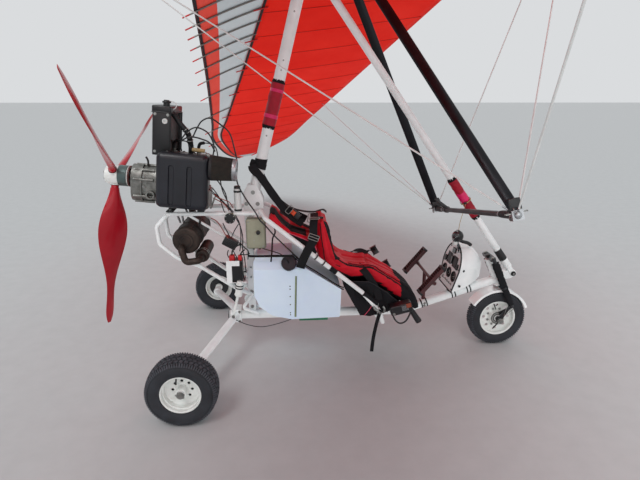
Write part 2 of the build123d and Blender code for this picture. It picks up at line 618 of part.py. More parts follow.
# Tank: a moulded shell with chamfered shoulders that sits between the column and the sling
TANK_HALF = 212
tank_outline = [
    (392, 774), (640, 774), (717, 711), (968, 548), (960, 345), (628, 338),
    (500, 368), (412, 436), (380, 520), (380, 742),
]
with BuildPart() as fuel_tank:
    with BuildSketch(Plane.XZ):
        with BuildLine():
            Polyline(*tank_outline, close=True)
        outline = make_face()
        fillet(outline.vertices(), 12)
    extrude(amount=TANK_HALF, both=True)
    with BuildSketch(Plane.YZ.offset(370)):
        for side in (-1, 1):
            with BuildLine():
                Polyline((side * (TANK_HALF - 62), 790), (side * (TANK_HALF + 18), 790),
                         (side * (TANK_HALF + 18), 672), close=True)
            make_face()
    extrude(amount=600, mode=Mode.SUBTRACT)
keep(fuel_tank.part, "fuel_tank")

with BuildPart() as tank_bearers:
    for bearer_x in (660, 920):
        with Locations((bearer_x, 0, BEAM_Z + 42)):
            Box(34, 2 * TANK_HALF - 124, 28)
    add(fuel_tank.part, mode=Mode.SUBTRACT)
    add(rod((500, 0, BEAM_Z), (1000, 0, BEAM_Z), BEAM_R + SEAT_GAP / 2), mode=Mode.SUBTRACT)
keep(Compound(children=list(tank_bearers.part.solids())), "tank_bearers")

cap_plane = Plane(origin=(616, -TANK_HALF + 33, 728), x_dir=(1, 0, 0), z_dir=(0, -118, 80))
with BuildPart() as tank_cap:
    with BuildSketch(cap_plane.offset(-10)):
        Circle(50)
    extrude(amount=40)
    add(fuel_tank.part, mode=Mode.SUBTRACT)
    chamfer(tank_cap.edges().filter_by(GeomType.CIRCLE).sort_by(Axis((616, 0, 728), (0, -118, 80)))[-1], 4)
keep(tank_cap.part.solids().sort_by(SortBy.VOLUME)[-1], "tank_cap")

# Seat tubes: one down each side, from the gussets' cross tube to a clamp on the beam
SEAT_Y = 222
SEAT_TUBE_R = 15
CLAMP_X = 1262
CLAMP_WALL = 8
seat_route = [
    (CROSS_X + 16, -LOOP_Y - 6, LOOP_Z + 16), (CROSS_X + 49, -SEAT_Y, LOOP_Z - 13), (CLAMP_X - 152, -SEAT_Y, 527),
    (CLAMP_X - 37, -SEAT_Y, 395), (CLAMP_X, -SEAT_Y, BEAM_Z), (CLAMP_X, -2 * BEAM_R - 5, BEAM_Z),
]
with BuildPart() as seat_tubes:
    add(bent_tube(seat_route, SEAT_TUBE_R, 34))
    add(rod((CLAMP_X, -2 * BEAM_R - 10, BEAM_Z), (CLAMP_X, -BEAM_R - SEAT_GAP, BEAM_Z), SEAT_TUBE_R + 5))
    add(rod((CLAMP_X - 28, -SEAT_Y, 369), (CLAMP_X - 17, -SEAT_Y, 338), SEAT_TUBE_R + 4))
    mirror(about=Plane.XZ)
    with Locations((CLAMP_X, 0, BEAM_Z)):
        Box(44, 2 * (BEAM_R + CLAMP_WALL), 2 * BEAM_R + 10)
    add(rod((CLAMP_X - 60, 0, BEAM_Z), (CLAMP_X + 60, 0, BEAM_Z), BEAM_R + SEAT_GAP / 2), mode=Mode.SUBTRACT)
    add(engine_frame.part, mode=Mode.SUBTRACT)
keep(seat_tubes.part.solids().sort_by(SortBy.VOLUME)[-1], "seat_tubes")

# Soft parts: two seats, the sling that closes the sides below them, and the harness webbing
SEAT_HALF = 190
SLING_HALF = SEAT_Y - SEAT_TUBE_R - SEAT_GAP
rear_seat_outline = [
    (476, 1028), (508, 1092), (585, 1000), (645, 958), (730, 925), (812, 868), (826, 800), (782, 778),
]
with BuildPart() as rear_seat:
    add(side_profile(rear_seat_outline, SLING_HALF, radius=12))
    add(seat_tubes.part, mode=Mode.SUBTRACT)
keep(rear_seat.part.solids().sort_by(SortBy.VOLUME)[-1], "rear_seat")

front_seat_outline = [
    (818, 1080), (876, 1092), (945, 850), (1012, 712), (1180, 722), (1330, 622), (1452, 478), (1505, 372),
    (1452, 352), (1370, 440), (1280, 520), (1160, 600), (985, 606), (895, 720),
]
front_seat = side_profile(front_seat_outline, SEAT_HALF, radius=10)
keep(front_seat, "front_seat")

sling_outline = [
    (985, 605), (1159, 599), (1279, 519), (1369, 439), (1410, 395), (1190, 337), (1104, 337), (988, 560),
]
with BuildPart() as seat_sling:
    add(side_profile(sling_outline, SLING_HALF))
    add(front_seat, mode=Mode.SUBTRACT)
    add(seat_tubes.part, mode=Mode.SUBTRACT)
keep(seat_sling.part.solids().sort_by(SortBy.VOLUME)[-1], "seat_sling")


def webbing(start, end, width, thickness, across):
    """A flat strap between two points, its width along a direction."""
    reach = Vector(*end) - Vector(*start)
    along = reach.normalized()
    face = Vector(*across) - along * Vector(*across).dot(along)
    with BuildPart() as strap:
        with BuildSketch(Plane(origin=start, x_dir=face, z_dir=along)):
            Rectangle(width, thickness)
        extrude(amount=reach.length)
    return strap.part


with BuildPart() as harness:
    add(webbing((460, 0, 1423), (850, 0, 1058), 50, 3, (0, 1, 0)))
    for side in (-1, 1):
        outer = side * (SEAT_Y + SEAT_TUBE_R + 1.8)
        add(webbing((840, outer, 930), (800, outer, 708), 50, 3, (1, 0, 0.2)))
        lap = side * (SEAT_HALF + 1.7)
        add(webbing((1150, lap, 760), (1196, lap, 625), 46, 3, (1, 0, 0.4)))
    add(rod(mast_foot, mast_end, MAST_R + SEAT_GAP), mode=Mode.SUBTRACT)
    add(front_seat, mode=Mode.SUBTRACT)
straps = harness.part.solids().filter_by(lambda s: s.volume > 15000)
keep(Compound(children=list(straps)), "harness")

# Foot plates on a cross tube, carried by a post on the beam
FOOT_Y = 215
FOOT_POST_R = 13
FOOT_TUBE_R = 11
PLATE_HALF = 13
foot_x = BEAM_KINK_X + 160
foot_z = 585
beam_top = BEAM_Z + (foot_x - BEAM_KINK_X) * rise + beam_top_offset
plate_dir = Vector(142, 0, 171).normalized()
plate_face = Vector(-plate_dir.Z, 0, plate_dir.X)
with BuildPart() as foot_rests:
    add(rod((foot_x, 0, beam_top - 20), (foot_x, 0, foot_z), FOOT_POST_R))
    add(rod((foot_x, -FOOT_Y - 32, foot_z), (foot_x, FOOT_Y + 32, foot_z), FOOT_TUBE_R))
    for side in (-1, 1):
        centre = Vector(foot_x, side * FOOT_Y, foot_z) + plate_face * (FOOT_TUBE_R + PLATE_HALF + SEAT_GAP)
        with BuildSketch(Plane(origin=centre - plate_dir * 112, x_dir=(0, 1, 0), z_dir=plate_dir)):
            Rectangle(64, 2 * PLATE_HALF)
            with Locations((0, 4)):
                Rectangle(56, 24, mode=Mode.SUBTRACT)
        extrude(amount=232)
    add(rod((BEAM_KINK_X - 140, 0, BEAM_Z), (BEAM_KINK_X + 20, 0, BEAM_Z), BEAM_R + SEAT_GAP), mode=Mode.SUBTRACT)
    add(rod((BEAM_KINK_X, 0, BEAM_Z), beam_front, BEAM_R + SEAT_GAP), mode=Mode.SUBTRACT)
keep(Compound(children=list(foot_rests.part.solids())), "foot_rests")

throttle_y = -SLING_HALF - 45
with BuildPart() as hand_throttle:
    with Locations(Location((1372, throttle_y, 420), (0, -14, 0))):
        Box(150, 70, 70)
        fillet(hand_throttle.edges(), 9)
    add(rod((1440, throttle_y - 8, 410), (1500, throttle_y - 22, 320), 15))
    add(rod((1350, throttle_y + 32, 415), (1350, -SLING_HALF - SEAT_GAP, 415), 12))
keep(hand_throttle.part, "hand_throttle")

# Instrument pod: a dished cowl that tapers forward from the panel, with a ball compass on an arm
PANEL_X = STEER_POINT[0] - 348
PANEL_HALF = 168
DIAL_R = 33
pod_sections = [
    # x, low z, high z, half width, lean of the section in degrees
    (PANEL_X, 468, 800, PANEL_HALF, 12),
    (PANEL_X + 108, 506, 780, 132, 6),
    (PANEL_X + 196, 560, 704, 62, 0),
]
with BuildPart() as instrument_pod:
    for x, low, high, half, lean in pod_sections:
        with BuildSketch(Plane(origin=(x, 0, (low + high) / 2), x_dir=(0, 1, 0),
                               z_dir=(cos(radians(lean)), 0, -sin(radians(lean))))):
            with BuildLine():
                rise_half = (high - low) / 2
                Line((-half, 0), (-half * 0.8, -rise_half))
                Line((-half * 0.8, -rise_half), (half * 0.8, -rise_half))
                Line((half * 0.8, -rise_half), (half, 0))
                ThreePointArc((half, 0), (0, rise_half), (-half, 0))
            make_face()
    loft()
    x, low, high, half, lean = pod_sections[0]
    ahead = (cos(radians(lean)), 0, -sin(radians(lean)))
    with BuildSketch(Plane(origin=(x, 0, (low + high) / 2), x_dir=(0, 1, 0), z_dir=ahead)):
        with Locations((-96, -58), (0, -58), (96, -58), (-58, 38), (58, 38)):
            Circle(DIAL_R)
    extrude(amount=7, both=True, mode=Mode.SUBTRACT)
    for post_x in (PANEL_X + 23, PANEL_X + 133):
        add(rod((post_x, 0, 440), (post_x, 0, 560), 11))
    add(rod((BEAM_KINK_X, 0, BEAM_Z), beam_front, BEAM_R + SEAT_GAP), mode=Mode.SUBTRACT)
keep(instrument_pod.part.solids().sort_by(SortBy.VOLUME)[-1], "instrument_pod")

COMPASS_R = 40
with BuildPart() as compass:
    with Locations((PANEL_X + 8, -60, 866)):
        Sphere(COMPASS_R)
    add(rod((PANEL_X + 8, -60, 840), (PANEL_X + 30, -60, 740), 7))
    add(instrument_pod.part, mode=Mode.SUBTRACT)
keep(compass.part.solids().sort_by(SortBy.VOLUME)[-1], "compass")

# Propeller: three twisted blades in a clamped hub, with a spacer ahead of the gearbox shaft
HUB_R = 62
blade_sections = [
    # radius as a share of the tip radius, chord, thickness, pitch angle
    (0.085, 56, 44, 60),
    (0.150, 84, 36, 55),
    (0.300, 196, 26, 40),
    (0.600, 140, 15, 27),
    (0.900, 78, 8, 19),
    (1.000, 30, 4, 17),
]


def blade(angle):
    """One blade, lofted outward and turned to its place about the thrust line."""
    turn = radians(angle)
    out = Vector(0, cos(turn), 0) + engine.z_dir * sin(turn)
    around = thrust.cross(out)
    with BuildPart() as lofted:
        for share, chord, thickness, pitch in blade_sections:
            lean = radians(pitch)
            chord_dir = around * cos(lean) + thrust * sin(lean)
            station = Vector(*HUB) + out * share * PROP_RADIUS
            with BuildSketch(Plane(origin=station, x_dir=chord_dir, z_dir=out)):
                with BuildLine():
                    ThreePointArc((-chord / 2, 0), (0, thickness * 0.6), (chord / 2, 0))
                    ThreePointArc((chord / 2, 0), (0, -thickness * 0.4), (-chord / 2, 0))
                make_face()
        loft()
        add(rod(Vector(*HUB) + out * 30, Vector(*HUB) + out * (0.085 * PROP_RADIUS + 2), 24))
    return lofted.part


blades = [blade(PROP_FIRST_BLADE + 120 * n) for n in range(3)]
keep(Compound(children=[b.solid() for b in blades]), "propeller_blades")

with BuildPart() as propeller_hub:
    add(rod(at_engine(-38, 0, 0), at_engine(38, 0, 0), HUB_R))
    add(rod(at_engine(-54, 0, 0), at_engine(-38, 0, 0), HUB_R - 8))
    add(rod(at_engine(38, 0, 0), at_engine(92, 0, 0), HUB_R - 4))
    add(rod(at_engine(92, 0, 0), at_engine(102, 0, 0), HUB_R + 4))
    add(rod(at_engine(-45.5, 0, 0), at_engine(110, 0, 0), SHAFT_R + RUN), mode=Mode.SUBTRACT)
    for piece in blades:
        add(piece, mode=Mode.SUBTRACT)
keep(propeller_hub.part.solids().sort_by(SortBy.VOLUME)[-1], "propeller_hub")

# Wing frame: aft of the nose, out to port and up, all in the rolled and pitched wing's own axes
pitch = radians(KEEL_PITCH)
roll = radians(WING_ROLL)
keel_dir = Vector(cos(pitch), 0, sin(pitch))
level_up = Vector(-sin(pitch), 0, cos(pitch))
wing_up = level_up * cos(roll) + Vector(0, sin(roll), 0)
wing_port = Vector(0, cos(roll), 0) - level_up * sin(roll)
droop_slope = tan(radians(DROOP))


def at_wing(aft, port, up):
    """A point given in the wing's axes, as a world vector."""
    return Vector(*NOSE) - keel_dir * aft + wing_port * port + wing_up * up


HANG_AFT = (NOSE[0] - HANG_X) / cos(pitch)
cheek_top = at_wing(HANG_AFT, 0, 0).Z + 2
RING_HALF = 55
with BuildPart() as keel:
    add(rod(at_wing(-15, 0, 0), at_wing(KEEL_LENGTH, 0, 0), KEEL_R, KEEL_R - 2.5))
    for aft in (HANG_AFT - RING_HALF - 9, HANG_AFT + RING_HALF + 1, KEEL_LENGTH - 44):
        add(rod(at_wing(aft, 0, 0), at_wing(aft + 8, 0, 0), KEEL_R + 6, KEEL_R - 1))
keep(keel.part, "keel")

CHEEK = 8
cheek_in = HEAD_BLOCK_HALF + SEAT_GAP
hang_low = on_line(MAST_BASE, MAST_TOP, MAST_TOP[1])[2] + 4
with BuildPart() as hang_block:
    for side in (-1, 1):
        with Locations((HANG_X, side * (cheek_in + CHEEK / 2), (hang_low + cheek_top) / 2)):
            Box(58, CHEEK, cheek_top - hang_low)
    with Locations((HANG_X, 0, cheek_top - 66)):
        Box(58, 2 * (cheek_in + CHEEK), 10)
    add(rod(at_wing(HANG_AFT - RING_HALF, 0, 0), at_wing(HANG_AFT + RING_HALF, 0, 0), KEEL_R + 9))
    add(rod((HANG_X, -46, PIVOT_Z), (HANG_X, 46, PIVOT_Z), PIVOT_R))
    for side in (-1, 1):
        add(rod((HANG_X, side * 33, PIVOT_Z), (HANG_X, side * 42, PIVOT_Z), 13))
    add(rod(at_wing(HANG_AFT - 200, 0, 0), at_wing(HANG_AFT + 200, 0, 0), KEEL_R + RUN), mode=Mode.SUBTRACT)
keep(hang_block.part.solids().sort_by(SortBy.VOLUME)[-1], "hang_block")

# Control frame
with BuildPart() as uprights:
    for side in (-1, 1):
        top = at_wing(APEX[0], side * 44, APEX[1] - 14)
        foot = at_wing(BAR_CENTRE[0], side * (BAR_HALF - 4), BAR_CENTRE[1] + 22)
        add(faired_strut(top, foot, 60, 25, keel_dir))
keep(uprights.part, "uprights")

BAR_R = 16
bar_ends = {side: at_wing(BAR_CENTRE[0], side * BAR_HALF, BAR_CENTRE[1]) for side in (-1, 1)}
CORNER_DEPTH = 26
bar_faces = [at_wing(BAR_CENTRE[0], side * (BAR_HALF - CORNER_DEPTH), BAR_CENTRE[1]) for side in (-1, 1)]
keep(rod(*bar_faces, BAR_R), "base_bar")


def wing_block(aft_range, port_range, up_range):
    """A box in the wing's axes."""
    centre = [(a + b) / 2 for a, b in (aft_range, port_range, up_range)]
    size = [b - a for a, b in (aft_range, port_range, up_range)]
    with BuildPart(Plane(origin=at_wing(*centre), x_dir=-keel_dir, z_dir=wing_up)) as block:
        Box(*size)
    return block.part


KINGPOST_AFT = 1480
KINGPOST_HIGH = 1060
with BuildPart() as wing_fittings:
    add(wing_block((1470, 1532), (-58, 58), (-92, 4)))
    add(wing_block((20, 150), (-58, 58), (-52, -40)))
    add(wing_block((40, 130), (-28, 28), (-44, 0)))
    for side in (-1, 1):
        corner = (side * (BAR_HALF - CORNER_DEPTH), side * (BAR_HALF + 16))
        add(wing_block((1012, 1068), (min(corner), max(corner)), (BAR_CENTRE[1] - 24, BAR_CENTRE[1] + 26)))
    add(rod(at_wing(-60, 0, 0), at_wing(2900, 0, 0), KEEL_R + SEAT_GAP / 2), mode=Mode.SUBTRACT)
    add(uprights.part, mode=Mode.SUBTRACT)
fittings = wing_fittings.part.solids().filter_by(lambda s: s.volume > 9000)
keep(Compound(children=list(fittings)), "wing_fittings")

kingpost_top = at_wing(KINGPOST_AFT, 0, KINGPOST_HIGH)
with BuildPart() as kingpost:
    add(faired_strut(at_wing(KINGPOST_AFT, 0, 20), kingpost_top, 44, 24, keel_dir))
    add(rod(at_wing(-60, 0, 0), at_wing(2900, 0, 0), KEEL_R + SEAT_GAP), mode=Mode.SUBTRACT)
    add(rod(at_wing(KINGPOST_AFT, 0, KINGPOST_HIGH), at_wing(KINGPOST_AFT, 0, KINGPOST_HIGH + 24), 20))
keep(kingpost.part.solids().sort_by(SortBy.VOLUME)[-1], "kingpost")

# Sail: each half is a skin over a closed nose pocket, lofted through a few stations
sail_stations = [
    # port, leading edge aft, trailing edge aft, lower skin's rear edge aft, nose radius, camber, rear height
    (36, 16, 2400, 1720, 28, 168, 46),
    (1650, 735, 2670, 2240, 28, 140, 12),
    (3300, 1469, 2985, 2790, 26, 100, 0),
    (3950, 1759, 3125, 3010, 24, 80, 0),
    (4720, 2101, 3150, 3060, 20, 52, 0),
    (5200, 2500, 3105, 3040, 12, 26, 0),
    (5480, 2790, 3000, 2975, 6, 10, 0),
]


CROWN = 0.45


def sail_upper(station, aft, drop=0):
    """Height of the upper skin at a distance aft: the arc through nose, crown and trailing edge."""
    _, lead, trail, _, nose, camber, rear_z = station
    x1, z1, x2, z2, x3, z3 = lead, nose, lead + CROWN * (trail - lead), camber, trail, rear_z
    slope_a, slope_b = (z2 - z1) / (x2 - x1), (z3 - z2) / (x3 - x2)
    centre_x = (slope_a * slope_b * (z1 - z3) + slope_b * (x1 + x2) - slope_a * (x2 + x3)) / (2 * (slope_b - slope_a))
    centre_z = (z1 + z2) / 2 - (centre_x - (x1 + x2) / 2) / slope_a
    radius = hypot(x1 - centre_x, z1 - centre_z) - drop
    return centre_z + sqrt(radius ** 2 - (aft - centre_x) ** 2)


def sail_plane(port, side):
    """The plane of a station: aft along its x, up along its y."""
    origin = at_wing(0, side * port, -port * droop_slope)
    return Plane(origin=origin, x_dir=-keel_dir, z_dir=wing_port)


def sail_outer(station, side):
    """The outline of a station: nose arc, upper skin, trailing edge, tail and lower skin."""
    port, lead, trail, lower, nose, camber, rear_z = station
    middle = lead + CROWN * (trail - lead)
    tail = (lower + trail) / 2
    tail_start = (lower, sail_upper(station, lower, SKIN))
    belly = ((lead + lower) / 2, (tail_start[1] - nose) / 2 - 6)
    with BuildSketch(sail_plane(port, side)) as outline:
        with BuildLine():
            ThreePointArc((lead, nose), (middle, camber), (trail, rear_z))
            Line((trail, rear_z), (trail, rear_z - SKIN))
            ThreePointArc((trail, rear_z - SKIN), (tail, sail_upper(station, tail, SKIN)), tail_start)
            ThreePointArc(tail_start, belly, (lead, -nose))
            ThreePointArc((lead, -nose), (lead - nose, 0), (lead, nose))
        make_face()
    return outline.sketch


def sail_pocket(station, side):
    """The hollow between the two skins at a station."""
    port, lead, _, lower, nose, _, _ = station
    rear = lower - 90
    middle = (lead + rear) / 2
    lower_end = sail_upper(station, lower, SKIN)
    share = (rear - lead) / (lower - lead)
    floor_rear = -nose + (lower_end + nose) * share - 6 * 4 * share * (1 - share) + SKIN
    floor_mid = -nose + (lower_end + nose) * share / 2 - 6 * 2 * share * (1 - share / 2) + SKIN
    with BuildSketch(sail_plane(port, side)) as hollow:
        with BuildLine():
            ThreePointArc((lead, nose - SKIN), (middle, sail_upper(station, middle, SKIN)),
                          (rear, sail_upper(station, rear, SKIN)))
            Line((rear, sail_upper(station, rear, SKIN)), (rear, floor_rear))
            ThreePointArc((rear, floor_rear), (middle, floor_mid), (lead, SKIN - nose))
            ThreePointArc((lead, SKIN - nose), (lead - nose + SKIN, 0), (lead, nose - SKIN))
        make_face()
    return hollow.sketch


def sail_half(side):
    """One half of the sail, from beside the keel to the rounded tip."""
    with BuildPart() as half:
        loft([sail_outer(station, side) for station in sail_stations], ruled=True)
        loft([sail_pocket(station, side) for station in sail_stations[:5]], ruled=True, mode=Mode.SUBTRACT)
    return half.part


sail = {"port": sail_half(1), "starboard": sail_half(-1)}
for name, half in sail.items():
    keep(half, f"sail_{name}")

# The keel pocket closes the gap over the keel, pierced for the kingpost
root = sail_stations[0]
root_middle = root[1] + CROWN * (root[2] - root[1])
pocket_front = 90
with BuildPart() as keel_pocket:
    with BuildSketch(Plane(origin=at_wing(0, 0, 0), x_dir=-keel_dir, z_dir=wing_port)):
        with BuildLine():
            ThreePointArc((pocket_front, sail_upper(root, pocket_front)), (root_middle, root[5]), (root[2], root[6]))
            Line((root[2], root[6]), (root[2], root[6] - SKIN))
            ThreePointArc((root[2], root[6] - SKIN), (root_middle, sail_upper(root, root_middle, SKIN)),
                          (pocket_front, sail_upper(root, pocket_front, SKIN)))
            Line((pocket_front, sail_upper(root, pocket_front, SKIN)), (pocket_front, sail_upper(root, pocket_front)))
        make_face()
    extrude(amount=root[0] - SEAT_GAP, both=True)
    add(faired_strut(at_wing(KINGPOST_AFT, 0, 20), kingpost_top, 56, 36, keel_dir), mode=Mode.SUBTRACT)
keep(keel_pocket.part.solids().sort_by(SortBy.VOLUME)[-1], "keel_pocket")

# Main stays: below to the bar's corners, above to the kingpost
WIRE_R = 2.5
TANG_PORT = 3370
TANG_AFT = 1560
tang_drop = -TANG_PORT * droop_slope
with BuildPart() as lower_wires:
    for side in (-1, 1):
        corner = bar_ends[side]
        add(rod(at_wing(60, side * 22, -44), corner, WIRE_R))
        add(rod(at_wing(KEEL_LENGTH - 40, side * 34, -20), corner, WIRE_R))
        add(rod(at_wing(TANG_AFT, side * TANG_PORT, tang_drop), corner, WIRE_R))
    for piece in (*sail.values(), wing_fittings.part, keel.part, uprights.part):
        add(piece, mode=Mode.SUBTRACT)
lower = lower_wires.part.solids().filter_by(lambda s: s.volume > 20000)
keep(Compound(children=list(lower)), "lower_wires")

with BuildPart() as upper_wires:
    add(rod(at_wing(60, 0, 40), at_wing(KINGPOST_AFT, 0, KINGPOST_HIGH - 20), WIRE_R))
    add(rod(at_wing(KEEL_LENGTH - 40, 0, 34), at_wing(KINGPOST_AFT, 0, KINGPOST_HIGH - 20), WIRE_R))
    for side in (-1, 1):
        add(rod(at_wing(TANG_AFT, side * TANG_PORT, tang_drop), at_wing(KINGPOST_AFT, 0, KINGPOST_HIGH - 20), WIRE_R))
    for piece in (*sail.values(), keel_pocket.part, kingpost.part, keel.part):
        add(piece, mode=Mode.SUBTRACT)
upper = upper_wires.part.solids().filter_by(lambda s: s.volume > 20000)
keep(Compound(children=list(upper)), "upper_wires")
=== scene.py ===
"""Looks of a parked two-seat weight-shift microlight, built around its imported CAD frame.

Metres, in the CAD's frame: X forward, Y to port, Z up, origin on the ground under the rear axle.
"""
import json
import logging
import math
from collections.abc import Callable
from dataclasses import dataclass, field
from enum import Enum

import bmesh
import bpy
from mathutils import Matrix, Vector, noise
from mathutils.bvhtree import BVHTree
from mathutils.kdtree import KDTree

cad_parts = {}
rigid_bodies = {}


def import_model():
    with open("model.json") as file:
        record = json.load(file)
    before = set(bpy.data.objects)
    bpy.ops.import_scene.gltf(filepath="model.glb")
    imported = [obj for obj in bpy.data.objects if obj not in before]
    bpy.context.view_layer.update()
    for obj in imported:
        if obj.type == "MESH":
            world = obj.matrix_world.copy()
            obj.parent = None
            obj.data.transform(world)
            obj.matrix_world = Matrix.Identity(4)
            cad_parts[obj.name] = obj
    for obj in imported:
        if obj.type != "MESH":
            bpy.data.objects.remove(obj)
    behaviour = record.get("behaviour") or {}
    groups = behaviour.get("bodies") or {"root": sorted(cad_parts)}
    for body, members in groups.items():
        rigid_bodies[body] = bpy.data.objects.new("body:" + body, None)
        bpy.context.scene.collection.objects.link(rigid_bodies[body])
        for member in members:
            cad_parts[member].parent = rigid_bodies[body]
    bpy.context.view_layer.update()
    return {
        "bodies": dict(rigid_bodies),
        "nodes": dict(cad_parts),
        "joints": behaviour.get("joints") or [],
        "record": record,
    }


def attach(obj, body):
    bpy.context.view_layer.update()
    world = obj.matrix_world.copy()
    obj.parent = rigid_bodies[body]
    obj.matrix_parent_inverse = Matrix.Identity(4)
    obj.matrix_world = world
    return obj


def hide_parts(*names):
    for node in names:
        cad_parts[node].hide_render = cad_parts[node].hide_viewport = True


LOG = logging.getLogger("microlight")
Point = tuple[float, float, float]

X = Vector((1, 0, 0))
Y = Vector((0, 1, 0))
Z = Vector((0, 0, 1))

# Corners closer than this are one corner.
SAME_SPOT = 1e-6
# A turned piece narrows to this at its ends, not to nothing.
TIP_RADIUS = 1e-5
# Edges sharper than this stay crisp.
CRISP_DEGREES = 35
# The same for pieces made of plain blocks.
BLOCK_CRISP_DEGREES = 40
# A washer against its nut: width and thickness.
WASHER_RADIUS_SHARE = 1.45
WASHER_HEIGHT_SHARE = 0.3
# Frames of cloth simulation that fill a cushion.
PADDING_FRAMES = 20


class Grain(Enum):
    """How the surface of a finish was made."""

    SMOOTH = "smooth"
    PEEL = "sprayed or powder coated"
    CAST = "sand cast"
    BRUSHED = "brushed or drawn"
    WEAVE = "woven"
    RIB = "ribbed webbing"
    MOULDED = "moulded with a fine spark-eroded grain"


@dataclass(frozen=True)
class Finish:
    """One real finish, with its colours in sRGB hex and its pattern scale in millimetres.

    Args:
        name: What the material is and how it was made.
        colour: Main colour.
        shade: Second colour that large soft blotches mix in.
        roughness: Mean roughness.
        grain: How the surface was made.
        pitch: Size of one grain or thread spacing, in millimetres.
        relief: Height of the grain, in millimetres.
        blotch: Size of the blotches, in millimetres.
        metallic: Share of bare metal.
        coat: Share of clear varnish.
        sheen: Share of fibre sheen.
        transmission: Share of light that passes straight through.
        subsurface: Share of light that spreads inside.
        specular: Strength of the plain reflection.
        drawn: Direction that brushed lines run along.
    """

    name: str
    colour: str
    shade: str
    roughness: float
    grain: Grain = Grain.SMOOTH
    pitch: float = 2.0
    relief: float = 0.05
    blotch: float = 120.0
    metallic: float = 0.0
    coat: float = 0.0
    sheen: float = 0.0
    transmission: float = 0.0
    subsurface: float = 0.0
    specular: float = 0.5
    drawn: Point = (0.0, 0.0, 1.0)

    def make(self) -> bpy.types.Material:
        """Builds the node material once and returns it after that.

        Returns:
            The Blender material.
        """
        known = bpy.data.materials.get(self.name)
        if known:
            return known
        material = bpy.data.materials.new(self.name)
        material.use_nodes = True
        tree = material.node_tree
        tree.nodes.clear()
        place = add_node(tree, "ShaderNodeTexCoord")
        blotches = add_node(
            tree, "ShaderNodeTexNoise",
            {"Scale": 1000 / self.blotch, "Detail": 5.0, "Roughness": 0.6},
            {"Vector": place.outputs["Object"]})
        ramp = add_node(
            tree, "ShaderNodeMapRange", {"From Min": 0.35, "From Max": 0.68},
            {"Value": blotches.outputs["Fac"]})
        tint = add_node(
            tree, "ShaderNodeMix",
            {"data_type": "RGBA", 6: linear(self.colour), 7: linear(self.shade)},
            {0: ramp.outputs["Result"]})
        rough = add_node(
            tree, "ShaderNodeMapRange",
            {
                "From Min": 0.3, "From Max": 0.7, "To Min": max(0.02, self.roughness - 0.06),
                "To Max": min(1.0, self.roughness + 0.08)}, {"Value": blotches.outputs["Fac"]})
        shader = add_node(
            tree, "ShaderNodeBsdfPrincipled",
            {
                "Metallic": self.metallic, "Coat Weight": self.coat, "Sheen Weight": self.sheen,
                "Transmission Weight": self.transmission, "Subsurface Weight": self.subsurface,
                "Subsurface Radius": (0.03, 0.03, 0.04), "Subsurface Scale": 0.3,
                "Specular IOR Level": self.specular},
            {"Base Color": tint.outputs[2], "Roughness": rough.outputs["Result"]})
        height = self.height_of(tree, place)
        if height is not None:
            bump = add_node(
                tree, "ShaderNodeBump", {"Distance": self.relief / 1000, "Strength": 1.0},
                {"Height": height})
            tree.links.new(bump.outputs["Normal"], shader.inputs["Normal"])
        add_node(tree, "ShaderNodeOutputMaterial", {}, {"Surface": shader.outputs["BSDF"]})
        return material

    def height_of(
            self, tree: bpy.types.NodeTree, place: bpy.types.Node) -> bpy.types.NodeSocket | None:
        """Adds the nodes of the grain.

        Args:
            tree: The material's tree.
            place: Its texture coordinates.

        Returns:
            The socket with the grain's height, or None for a smooth finish.
        """
        per_metre = 1000 / self.pitch
        spot = place.outputs["Object"]
        if self.grain in (Grain.PEEL, Grain.CAST, Grain.MOULDED):
            detail = {Grain.PEEL: 1.0, Grain.CAST: 6.0, Grain.MOULDED: 2.0}[self.grain]
            noise = add_node(
                tree, "ShaderNodeTexNoise", {"Scale": per_metre, "Detail": detail}, {"Vector": spot}
            )
            return noise.outputs["Fac"]
        if self.grain is Grain.BRUSHED:
            stretch = tuple(per_metre * (0.03 if value else 1.0) for value in self.drawn)
            lay = add_node(tree, "ShaderNodeMapping", {"Scale": stretch}, {"Vector": spot})
            noise = add_node(
                tree, "ShaderNodeTexNoise", {"Scale": 1.0, "Detail": 4.0},
                {"Vector": lay.outputs["Vector"]})
            return noise.outputs["Fac"]
        if self.grain in (Grain.WEAVE, Grain.RIB):
            waves = []
            for axis in ("X", "Z") if self.grain is Grain.WEAVE else ("DIAGONAL",):
                wave = add_node(
                    tree, "ShaderNodeTexWave",
                    {
                        "bands_direction": axis, "Scale": per_metre / 3.2, "Distortion": 0.6,
                        "Detail": 1.0, "Detail Scale": 4.0}, {"Vector": spot})
                waves.append(wave.outputs["Fac"])
            if len(waves) == 1:
                return waves[0]
            both = add_node(
                tree, "ShaderNodeMath", {"operation": "MULTIPLY"}, {0: waves[0], 1: waves[1]})
            return both.outputs["Value"]
        return None


def linear(text: str) -> tuple[float, float, float, float]:
    """Turns an sRGB hex colour into Blender's linear values.

    Args:
        text: Six hex digits.

    Returns:
        Red, green, blue and an alpha of 1.
    """
    parts = [int(text[i:i + 2], 16) / 255 for i in (0, 2, 4)]
    red, green, blue = (p / 12.92 if p <= 0.04045 else ((p + 0.055) / 1.055) ** 2.4 for p in parts)
    return red, green, blue, 1.0


